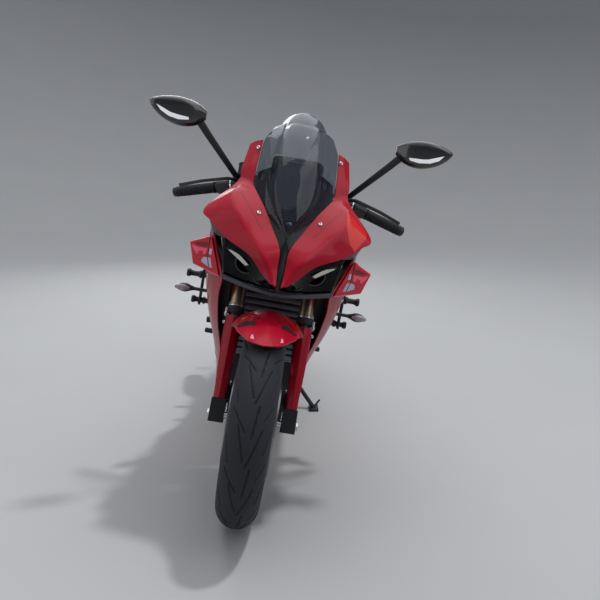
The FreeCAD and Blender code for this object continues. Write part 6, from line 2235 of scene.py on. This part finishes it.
@dataclass
class HandControls:
    """Ribbed grips, bar weights, reservoir caps and the brackets of the levers.

    Attributes:
        inner: where the left bar begins, in the fork's frame.
        tip: where it ends.
        ribs: ribs on each grip.
    """

    inner: Vector = Vector((132, -34, 724))
    tip: Vector = Vector((378, 72, 694))
    ribs: int = 15

    def _at(self, share: float, side: int) -> Vector:
        """Return a point along one bar."""
        spot = self.inner + (self.tip - self.inner) * share
        return Vector((side * spot.x, spot.y, spot.z))

    def build(self, shop: Workshop) -> None:
        """Make the pieces of both bars.

        Args:
            shop: the workshop.
        """
        grips, weights, caps, collars = Form(), Form(), Form(), Form()
        bolts = []
        for side in (1, -1):
            start, end = self._at(0.47, side), self._at(0.985, side)
            way = end - start
            long = way.length
            profile = [(11.3, 0), (18.5, 0), (18.5, 4), (16, 5)]
            for step in range(self.ribs):
                station = 8 + (long - 16) * step / self.ribs
                profile += [(14.6, station), (17.2, station + 1.2), (17.2, station + 4.6),
                            (14.6, station + 5.8)]
            profile += [(16, long - 5), (17, long - 4), (17, long), (11.3, long)]
            grips.add(ring_form(profile, start, way, 28))
            weights.add(Form.lathe([(11, -4), (15.5, -2), (16.5, 3), (16.5, 10), (14, 13), (6, 13.5),
                                    (5.5, 11)], self._at(0.985, side), way, 28))
            clamp = self._at(0.12, side)
            # The brake's reservoir is the wider one.
            radius = 17 if side < 0 else 10
            caps.add(Form.lathe([(radius + 1.2, 47), (radius + 1.2, 52), (radius - 2, 54.5), (4, 55)],
                                clamp + Vector((0, -36, 0)), (0, 0, 1), 30))
            for share, half in ((0.08, 5), (0.24, 2.5)):
                collars.add(ring_form([(11.3, -half), (22.4, -half), (22.4, half), (11.3, half)],
                                      self._at(share, side), way, 30))
            for up in (1, -1):
                spot = self._at(0.16, side) + Vector((0, -21, 8 * up))
                bolts.append((spot, (0, -1, 0.2 * up), 4))
            for a, b in circle(radius - 4, 3):
                bolts.append((clamp + Vector((a, b - 36, 54)), (0, 0, 1), 2.2))
        grip = shop.make("ribbed_grips", grips, "steering", GRIP_RUBBER, "fork", smooth=20)
        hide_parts("grips")
        shop.make("bar_weights", weights, "steering", CONTROL_BLACK, "fork")
        shop.make("reservoir_caps", caps, "steering", GRIP_RUBBER, "fork")
        shop.make("perch_collars", collars, "steering", CHROME, "fork")
        Bolts("perch_bolts", "steering", BRIGHT_STEEL, bolts, "fork").build(shop)


# Running gear and small pieces


def spoke_frame(centre: Point, turn: float) -> Matrix:
    """Return a frame on a wheel: X outwards at an angle, Y round it and Z along the axle.

    Args:
        centre: the wheel's middle.
        turn: its angle from the rear, in radians.

    Returns:
        The frame.
    """
    out = Vector((0, math.cos(turn), math.sin(turn)))
    round_ = Vector((0, -math.sin(turn), math.cos(turn)))
    frame = Matrix((out, round_, Vector((1, 0, 0)))).transposed().to_4x4()
    return Matrix.Translation(Vector(centre)) @ frame


@dataclass
class BrakeDisc:
    """Floating brake discs: a drilled ring on a carrier, with buttons between them.

    Attributes:
        node: the CAD solid that it stands for.
        body: the wheel that it rides on.
        centres: the middle of each disc.
        radius: outer radius.
        width: width of the swept ring.
        hub: radius of the hub inside the carrier.
    """

    node: str
    body: str
    centres: Sequence[Point]
    radius: float
    width: float = 32
    hub: float = 38

    def build(self, shop: Workshop) -> None:
        """Make rings, carriers and buttons.

        Args:
            shop: the workshop.
        """
        rings, holes, carriers, buttons = Form(), Form(), Form(), Form()
        inner = self.radius - self.width
        for x, y, z in self.centres:
            rings.add(ring_form([(self.radius, -2.4), (self.radius, 2.4), (inner, 2.4), (inner, -2.4)],
                                (x, y, z), (1, 0, 0), 96))
            for row, away in enumerate((inner + 7, inner + 15, inner + 23)):
                for step in range(24):
                    turn = 2 * math.pi * (step + row / 3) / 24
                    spot = (x - 6, y + away * math.cos(turn), z + away * math.sin(turn))
                    holes.add(Form.lathe([(2.8, 0), (2.8, 12)], spot, (1, 0, 0), 10))
            carriers.add(ring_form([(self.hub + 22, -2.5), (self.hub + 22, 2.5), (self.hub + 0.4, 2.5),
                                    (self.hub + 0.4, -2.5)], (x, y, z), (1, 0, 0), 64))
            for step in range(8):
                turn = 2 * math.pi * step / 8
                root, tip = self.hub + 18, inner + 1
                outline = [(root, -15), (tip - 10, -7), (tip, -9), (tip, 9), (tip - 10, 7), (root, 15)]
                carriers.add(Form.slab(outline, 4.6, spoke_frame((x, y, z), turn)))
                spot = (x - 3.6, y + (inner + 1) * math.cos(turn), z + (inner + 1) * math.sin(turn))
                buttons.add(Form.lathe([(7.5, 0), (7.5, 7.2)], spot, (1, 0, 0), 20))
        ring = shop.make(f"{self.node}_rings", rings, self.body, DISC_STEEL, cutters=[holes])
        shop.make(f"{self.node}_carriers", carriers, self.body, BLACK_POWDER, bevel=0.6)
        shop.make(f"{self.node}_buttons", buttons, self.body, BRIGHT_STEEL, bevel=0.5)
        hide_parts(self.node)


@dataclass
class FrontCalipers:
    """Radial calipers over the front discs, with pads, pins and banjo bolts."""

    def build(self, shop: Workshop) -> None:
        """Make both calipers in the fork's frame.

        Args:
            shop: the workshop.
        """
        bodies, pads = Form(), Form()
        bolts = []
        turn = Matrix.Rotation(math.radians(28), 4, "X")
        for side in (1, -1):
            centre = Vector((side * 65, LEG_Y, 0)) + turn @ Vector((0, 136, 0))
            place = Matrix.Translation(centre) @ turn
            outline = soft_corners([(-23, -36), (-14, -52), (14, -52), (23, -40), (23, 40), (14, 52),
                                    (-14, 52), (-23, 36)], 6)
            for out in (-14.2, 14.2):
                half = place @ Matrix.Translation(Vector((out, 0, 0))) @ SIDEWAYS
                bodies.add(Form.slab(outline, 12.8, half))
            bodies.add(block((0, 20.6, 0), (26, 4.6, 84), 1).placed(place))
            for height in (-22, 22):
                pads.add(block((0, -2, height), (13.5, 30, 34), 2).placed(place))
            for y, height, radius in ((-2, -22, 5.5), (-2, 22, 5.5), (0, -46, 4.5), (0, 46, 4.5)):
                spot = place @ Vector((side * 20.4, y, height))
                bolts.append((spot, (side, 0, 0), radius))
        # The pads are cut back where the discs run.
        hollow = [ring_form([(151.5, -4.2), (151.5, 4.2), (100, 4.2), (100, -4.2)],
                            (side * 65, LEG_Y, 0), (1, 0, 0), 72) for side in (1, -1)]
        body = shop.make("caliper_bodies", bodies, "steering", CALIPER_GREY, "fork", bevel=1.4)
        shop.make("brake_pads", pads, "steering", BRIGHT_STEEL, "fork", cutters=hollow)
        Bolts("caliper_bolts", "steering", BRIGHT_STEEL, bolts, "fork").build(shop)
        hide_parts("front_calipers")


@dataclass
class SignalsAndSliders:
    """Turn signals with their pale lenses, and the spool-shaped sliders beside them."""

    def build(self, shop: Workshop) -> None:
        """Make lamps, lenses and sliders for both sides.

        Args:
            shop: the workshop.
        """
        bodies, lenses = Form(), Form()
        # x, y, depth and height of each section.
        front = ((268, 386, 12, 12), (280, 385, 17, 19), (296, 383, 25, 30), (314, 381, 23, 27),
                 (330, 377, 11, 13))
        rear = ((100, 1500, 12, 12), (112, 1501, 17, 19), (128, 1503, 25, 30), (146, 1506, 23, 27),
                (162, 1508, 11, 13))
        for rows, z, way in ((front, 574, -1), (rear, 804, 1)):
            rings = []
            for x, y, deep, tall in rows:
                rings.append([(x, y + a, z + b) for a, b in squircle(deep / 2, tall / 2, 2.5, 24)])
            bodies.add(Form.loft(smooth_rows(rings, 4)))
            rings = []
            for x, y, deep, tall in rows[1:]:
                ring = squircle(deep / 2 * 0.94, tall / 2 * 0.84, 2.5, 24)
                rings.append([(x + 3, y + a + way * (1.2 + 0.06 * deep), z + b) for a, b in ring])
            lenses.add(Form.loft(smooth_rows(rings, 4)))
        stalks = Form.lathe([(6, 0), (6, 60)], (222, 386, 574), (1, 0, 0), 18)
        stalks.add(Form.lathe([(8.5, 0), (8.5, 5), (6.2, 7)], (240, 386, 574), (1, 0, 0), 20))
        stalks.add(Form.lathe([(6, 0), (6, 86)], (22.5, 1500, 803), (1, 0, 0), 18))
        body = shop.make("signal_bodies", bodies.add(stalks).both_sides(), "chassis", BLACK_ABS, smooth=40)
        shop.make("signal_lenses", lenses.both_sides(), "chassis", SIGNAL_LENS, smooth=50)
        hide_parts("turn_signals")
        spools = block((247, 418, 580), (8, 30, 126), 3)
        for x, y, z, radius, long in ((250, 414, 622, 14, 54), (226, 418, 532, 13, 50)):
            spools.add(Form.lathe([
                (radius * 0.7, -22), (radius * 0.7, 2), (radius, 3), (radius, 8), (radius * 0.7, 13),
                (radius * 0.66, long * 0.5), (radius * 0.72, long - 15), (radius, long - 9),
                (radius, long - 3), (radius * 0.86, long), (radius * 0.5, long),
                (radius * 0.45, long - 4),
            ], (x, y, z), (1, 0, 0), 32))
        piece = shop.make("slider_spools", spools.both_sides(), "chassis", BLACK_ABS, bevel=0.8)
        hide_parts("slider_guards")
        caps = []
        for side in (1, -1):
            caps += [((side * 299.5, 414, 622), (side, 0, 0), 5), ((side * 271.5, 418, 532), (side, 0, 0), 5)]
        Bolts("slider_bolts", "chassis", BRIGHT_STEEL, caps).build(shop)


@dataclass
class RearShock:
    """The rear shock: a damper, its seats and one coil spring round them.

    Attributes:
        low: its lower end.
        high: its upper end.
        turns: turns of the spring.
    """

    low: Vector = Vector((0, 927, 306))
    high: Vector = Vector((0, 896, 524))
    turns: int = 7

    def build(self, shop: Workshop) -> None:
        """Make the damper and wind the spring.

        Args:
            shop: the workshop.
        """
        way = self.high - self.low
        long = way.length
        frame = basis(self.low, way)
        damper = Form.lathe([
            (12, 0), (14, 6), (17, 12), (17, 36), (30, 38), (30, 44), (12, 46), (11, long * 0.5),
            (16, long * 0.52), (16, long * 0.84), (30, long * 0.86), (30, long * 0.9), (18, long * 0.92),
            (16, long - 4), (12, long),
        ], self.low, way, 36)
        route = []
        steps = self.turns * 14
        for step in range(steps + 1):
            turn = 2 * math.pi * self.turns * step / steps
            station = 50 + (long * 0.84 - 54) * step / steps
            route.append(frame @ Vector((23 * math.cos(turn), 23 * math.sin(turn), station)))
        body = shop.make("shock_damper", damper, "chassis", BRIGHT_STEEL)
        shop.make("shock_spring", Form.tube(route, 5, 10, 2), "chassis", SPRING_RED, smooth=60)
        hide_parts("rear_shock")


@dataclass
class ExhaustTrim:
    """The silencer's end cap, band and heat shield, and the clamps of its pipes."""

    def build(self, shop: Workshop) -> None:
        """Add the pieces to the CAD's pipe and can.

        Args:
            shop: the workshop.
        """
        way = Vector((-0.02, 0.91, 0.415))
        end = Vector((-210, 1334, 455))
        cap = Form.lathe([(31, -10), (36, -8), (36, 2), (31, 8), (20, 10), (18, 8), (17, -22), (2, -24)],
                         end, way, 44)
        shop.make("silencer_end_cap", cap, "chassis", BLACK_POWDER, smooth=40)
        frame = basis(end, way)
        rows = [(frame @ Vector((a, b, 8.6)), way, 2.6) for a, b in circle(26, 6)]
        Bolts("silencer_rivets", "chassis", BRIGHT_STEEL, rows).build(shop)
        shield = []
        for y, x, z, half in ((1090, -243.5, 344, 30), (1150, -248.5, 372, 40), (1220, -250.5, 404, 41),
                              (1280, -252, 430, 34)):
            shield.append([(x + 3 * share ** 2, y, z + half * share) for share in (-1, -0.6, 0, 0.6, 1)])
        sheet = Form.loft(fine_rows(shield, 5, 3, 6), closed=False, caps=False)
        shop.make("heat_shield", sheet, "chassis", BLACK_ABS, smooth=40, thick=2.5, bevel=0.6)
        bands = Form()
        for spot, direction in (((-44, 600, 222), (0, 1, 0)), ((-40, 376, 300), (0, 0, 1)),
                                ((40, 374, 330), (0, 0, 1))):
            bands.add(ring_form([(20.2, -6), (22.4, -6), (22.4, 6), (20.2, 6)], spot, direction, 36))
        shop.make("exhaust_clamps", bands, "chassis", BRIGHT_STEEL, bevel=0.4)


@dataclass
class ChassisTrim:
    """Small pieces of the chassis: dials, plate, caps, covers, seams and rubbers."""

    def build(self, shop: Workshop) -> None:
        """Make each group.

        Args:
            shop: the workshop.
        """
        self._dials(shop)
        self._plate(shop)
        self._covers(shop)
        self._seams(shop)
        self._rests(shop)

    def _dials(self, shop: Workshop) -> None:
        """Set a display and two keys on the rider's side of the dial case.

        Args:
            shop: the workshop.
        """
        glass = block((0, 222.6, 1026), (124, 2.2, 54), 1)
        shop.make("display", glass, "chassis", DISPLAY, bevel=0.8)
        bars = Form()
        for step in range(14):
            tall = 6 + 0.9 * step
            bars.add(block((-48 + step * 6.2, 224.1, 1034 + tall / 2), (4.2, 0.7, tall), 0.2))
        for z in (1014, 1006):
            bars.add(block((30, 224.1, z), (44, 0.7, 3.4), 0.2))
        for step in range(3):
            bars.add(ring_form([(5.5, 0), (7, 0), (7, 0.6), (5.5, 0.6)], (-38 + 20 * step, 223.8, 1012),
                               (0, 1, 0), 24))
        shop.make("display_bars", bars, "chassis", DISPLAY_BARS)
        keys = Form()
        for side in (1, -1):
            keys.add(Form.lathe([(5, 0), (5, 3), (3.5, 4)], (side * 68, 222, 1002), (0, 1, 0), 20))
        shop.make("display_keys", keys, "chassis", GRIP_RUBBER)

    def _plate(self, shop: Workshop) -> None:
        """Add the blank registration plate and its two screws.

        Args:
            shop: the workshop.
        """
        turn = Matrix.Rotation(math.radians(20), 4, "X")
        place = Matrix.Translation(Vector((0, 1612, 660))) @ turn
        outline = soft_corners([(-91, -61), (91, -61), (91, 61), (-91, 61)], 8)
        upright = Matrix(((1, 0, 0, 0), (0, 0, -1, 0), (0, 1, 0, 0), (0, 0, 0, 1)))
        blank = Form.slab(outline, 1.4, place @ Matrix.Translation(Vector((0, 2.9, 0))) @ upright)
        shop.make("blank_plate", blank, "chassis", PLATE_WHITE, bevel=0.3)
        rows = [(place @ Vector((x, 3.6, 46)), turn @ Vector((0, 1, 0)), 4) for x in (-60, 60)]
        Bolts("plate_screws", "chassis", BRIGHT_STEEL, rows).build(shop)

    def _covers(self, shop: Workshop) -> None:
        """Add the covers and bolts that show beside and behind the fairings.

        Args:
            shop: the workshop.
        """
        covers = Form()
        covers.add(Form.lathe([(62, -2), (62, 6), (56, 11), (40, 13), (38, 10), (12, 10), (10, 13), (3, 13)],
                              (130, 560, 384), (1, 0, 0), 56))
        covers.add(Form.lathe([(76, -2), (76, 8), (70, 14), (50, 16), (46, 12), (16, 12), (14, 16), (3, 16)],
                              (-130, 640, 392), (-1, 0, 0), 60))
        covers.add(Form.lathe([(44, -2), (44, 6), (40, 9), (20, 10), (4, 10)], (-130, 530, 320),
                              (-1, 0, 0), 44))
        for step in range(7):
            z = 474 + step * 11.5
            covers.add(block((0, 408 + 12.6, z), (228, 7, 3.2), 1))
            for side in (1, -1):
                covers.add(block((side * 133, 520, z), (6, 170, 3.2), 1))
        shop.make("engine_covers", covers, "chassis", CALIPER_GREY, smooth=30, bevel=0.8)
        rows = []
        for side, x, y, z, radius, count in ((1, 135, 560, 384, 58, 8), (-1, -136, 640, 392, 72, 9),
                                             (-1, -134, 530, 320, 40, 6)):
            rows += [((x, y + a, z + b), (side, 0, 0), 4) for a, b in circle(radius, count)]
        for side in (1, -1):
            rows.append(((side * 147.6, 850, 400), (side, 0, 0), 10))
            for y, z in ((846, 548), (916, 548), (846, 290), (916, 290)):
                rows.append(((side * 153.6, y, z), (side, 0, 0), 6))
            for y, z in ((900, 400), (958, 352)):
                rows.append(((side * 159.6, y, z), (side, 0, 0), 5))
        Bolts("engine_and_frame_bolts", "chassis", BRIGHT_STEEL, rows).build(shop)
        rows = [((101.4, WHEELBASE + a, REAR_RADIUS + b), (1, 0, 0), 6) for a, b in circle(52, 6)]
        Bolts("sprocket_bolts", "rear_wheel", BRIGHT_STEEL, rows).build(shop)
        nuts = Form()
        for side in (1, -1):
            place = basis((side * 140.4, WHEELBASE, REAR_RADIUS), (1, 0, 0))
            nuts.add(Form.slab(circle(15, 6), 8, place))
            nuts.add(block((side * 137.6, WHEELBASE + 2, REAR_RADIUS), (3, 64, 30), 1))
        shop.make("rear_axle_nuts", nuts, "chassis", BRIGHT_STEEL, bevel=0.8)
        for body, y, z in (("front_wheel", 0, FRONT_RADIUS), ("rear_wheel", WHEELBASE, REAR_RADIUS)):
            stem = Form.lathe([(4.6, 0), (4, 4), (3, 8), (3, 26), (4, 27), (4, 34)],
                              (9, y + 84, z - 170), (0, -0.44, 0.9), 16)
            shop.make(f"{body}_valve", stem, body, GRIP_RUBBER)

    def _seams(self, shop: Workshop) -> None:
        """Draw the joint lines of the side panels, the tank's hem and the tail.

        Args:
            shop: the workshop.
        """
        matrix = shop.matrices["chassis"]
        skin = Skin(bpy.data.objects["side_panels"], bpy.data.objects["tail_shell"])
        form = Form()
        for route in (
            ((100, 730), (200, 716), (320, 712), (440, 700), (520, 676)),
            ((372, 352), (460, 336), (580, 322), (690, 318)),
            ((250, 800), (300, 716)),
            ((1000, 822), (1140, 866), (1300, 916), (1420, 948)),
        ):
            line = []
            for spot in smooth_line([(0, y, z) for y, z in route], 8):
                found = skin.meet(matrix, (420, spot.y, spot.z), (-1, 0, 0))
                if found is not None:
                    line.append(found[0])
            if len(line) > 3:
                form.add(Form.tube(line, 1.1, 6, 1).both_sides())
        shop.make("panel_seams", form, "chassis", SEAM_DARK, smooth=60)

    def _rests(self, shop: Workshop) -> None:
        """Sleeve the footrests and the pedal tips in ribbed rubber.

        Args:
            shop: the workshop.
        """
        form = Form()
        for side in (1, -1):
            profile = [(11.2, 0), (13.4, 0)]
            for step in range(9):
                low = 4 + step * 8
                profile += [(13.4, low), (12.2, low + 1), (12.2, low + 4), (13.4, low + 5)]
            profile += [(13.4, 78), (11.2, 78)]
            form.add(ring_form(profile, (side * 172, 902, 348.6), (side, 0, -0.06), 28))
            form.add(ring_form([(8.1, 0), (10, 0), (10, 34), (8.1, 34)], (side * 204, 756, 336),
                               (side, 0, 0), 24))
        shop.make("peg_rubbers", form, "chassis", GRIP_RUBBER)


# Studio


@dataclass
class Studio:
    """A grey floor that curves up into a wall all round, soft boxes and a sun.

    Attributes:
        sky: the sky's colour.
        sky_strength: the sky's brightness.
        flat: radius of the level floor, in metres.
        bend: radius of the curve between floor and wall, in metres.
    """

    sky: str = "#dfe3ea"
    sky_strength: float = 0.85
    flat: float = 9.0
    bend: float = 7.0

    def build(self, centre: Vector) -> None:
        """Lay the floor and hang the lights round a point.

        Args:
            centre: the point, in metres.
        """
        profile = [(0.0001, 0.0), (2.0, 0.0), (5.0, 0.0), (self.flat, 0.0)]
        for step in range(1, 17):
            turn = math.radians(90 * step / 16)
            profile.append((self.flat + self.bend * math.sin(turn), self.bend - self.bend * math.cos(turn)))
        profile.append((16.0, 16.0))
        mesh = mesh_of("studio_floor", Form.loft(turned(profile, 96), caps=False), outwards=False)
        mesh.shade_smooth()
        mesh.materials.append(FLOOR_PAINT.material())
        floor = new_object("studio_floor", mesh)
        # The far wall lets the sun in, so no edge of its shade shows.
        floor.visible_shadow = False
        world = bpy.data.worlds.new("studio_sky")
        world.use_nodes = True
        world.node_tree.nodes.clear()
        light = add_node(world.node_tree, "ShaderNodeBackground", None,
                         {"Color": linear(self.sky), "Strength": self.sky_strength})
        add_node(world.node_tree, "ShaderNodeOutputWorld", None, {"Surface": light.outputs[0]})
        bpy.context.scene.world = world
        for name, spot, size, power in (
            ("key_box", (2.8, -1.8, 3.2), 3.4, 46), ("fill_box", (-3.2, -1.8, 2.2), 3.0, 22),
            ("top_box", (0.0, 0.6, 4.2), 4.2, 72), ("back_box", (-1.0, 3.8, 2.6), 2.2, 50),
        ):
            data = bpy.data.lights.new(name, "AREA")
            data.shape = "SQUARE"
            data.size = size
            data.energy = power
            self._hang(data, spot, centre)
        sun = bpy.data.lights.new("sun", "SUN")
        sun.energy = 1.6
        sun.angle = math.radians(4)
        self._hang(sun, (1.6, 0.6, 5.0), centre).visible_glossy = False
        # The mirrors and discs throw no spots of sun on the floor.
        bpy.context.scene.cycles.caustics_reflective = False

    def _hang(self, data: bpy.types.Light, spot: Point, centre: Vector) -> bpy.types.Object:
        """Add a light at a spot, turned to the centre.

        Args:
            data: the light.
            spot: where it hangs, in metres.
            centre: what it shines at.

        Returns:
            The lamp.
        """
        lamp = new_object(data.name, data)
        lamp.location = Vector(spot)
        lamp.rotation_euler = (centre - lamp.location).to_track_quat("-Z", "Y").to_euler()
        return lamp


def sub_assemblies() -> list[SubAssembly]:
    """Return the sub-assemblies, in the order in which they are built.

    Returns:
        One of each, or two where the bike has two.
    """
    return [
        Tyre("front_tyre", "front_wheel", Vector((0, 0, FRONT_RADIUS)), FRONT_RADIUS, 120, 89, 12),
        Tyre("rear_tyre", "rear_wheel", Vector((0, WHEELBASE, REAR_RADIUS)), REAR_RADIUS, 160, 114, 12),
        DriveChain(),
        Fairings(),
        FrontMudguard(),
        TankAndTail(),
        Seat("rider_seat", ((756, 782, 150, 56), (800, 778, 220, 56), (900, 786, 260, 56),
                            (975, 806, 250, 60))),
        Seat("pillion_seat", ((984, 893, 150, 34), (1100, 927, 178, 34), (1252, 966, 132, 32)), 5.0, 3.0),
        Screen(),
        Mirrors(),
        Headlamps(),
        NoseTrim(),
        RadiatorCore(),
        ForkTrim(),
        HandControls(),
        BrakeDisc("front_discs", "front_wheel", ((65, 0, FRONT_RADIUS), (-65, 0, FRONT_RADIUS)), 150),
        BrakeDisc("rear_disc", "rear_wheel", ((-79, WHEELBASE, REAR_RADIUS),), 110),
        FrontCalipers(),
        SignalsAndSliders(),
        RearShock(),
        ExhaustTrim(),
        ChassisTrim(),
    ]


def main() -> None:
    """Load the frame, dress it, build each sub-assembly, and light it."""
    logging.basicConfig(level=logging.INFO, format="%(name)s: %(message)s")
    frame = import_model()
    shop = Workshop(frame)
    shop.sight.camera()
    shop.dress(NODE_FINISHES)
    bpy.context.scene.view_settings.view_transform = "Standard"
    for node in NODE_FINISHES:
        shop.soften(node)
    for assembly in sub_assemblies():
        assembly.build(shop)
        LOG.info("built %s", type(assembly).__name__)
    Studio().build(Vector((0, 0, 0.5)))


if __name__ == "__main__":
    main()
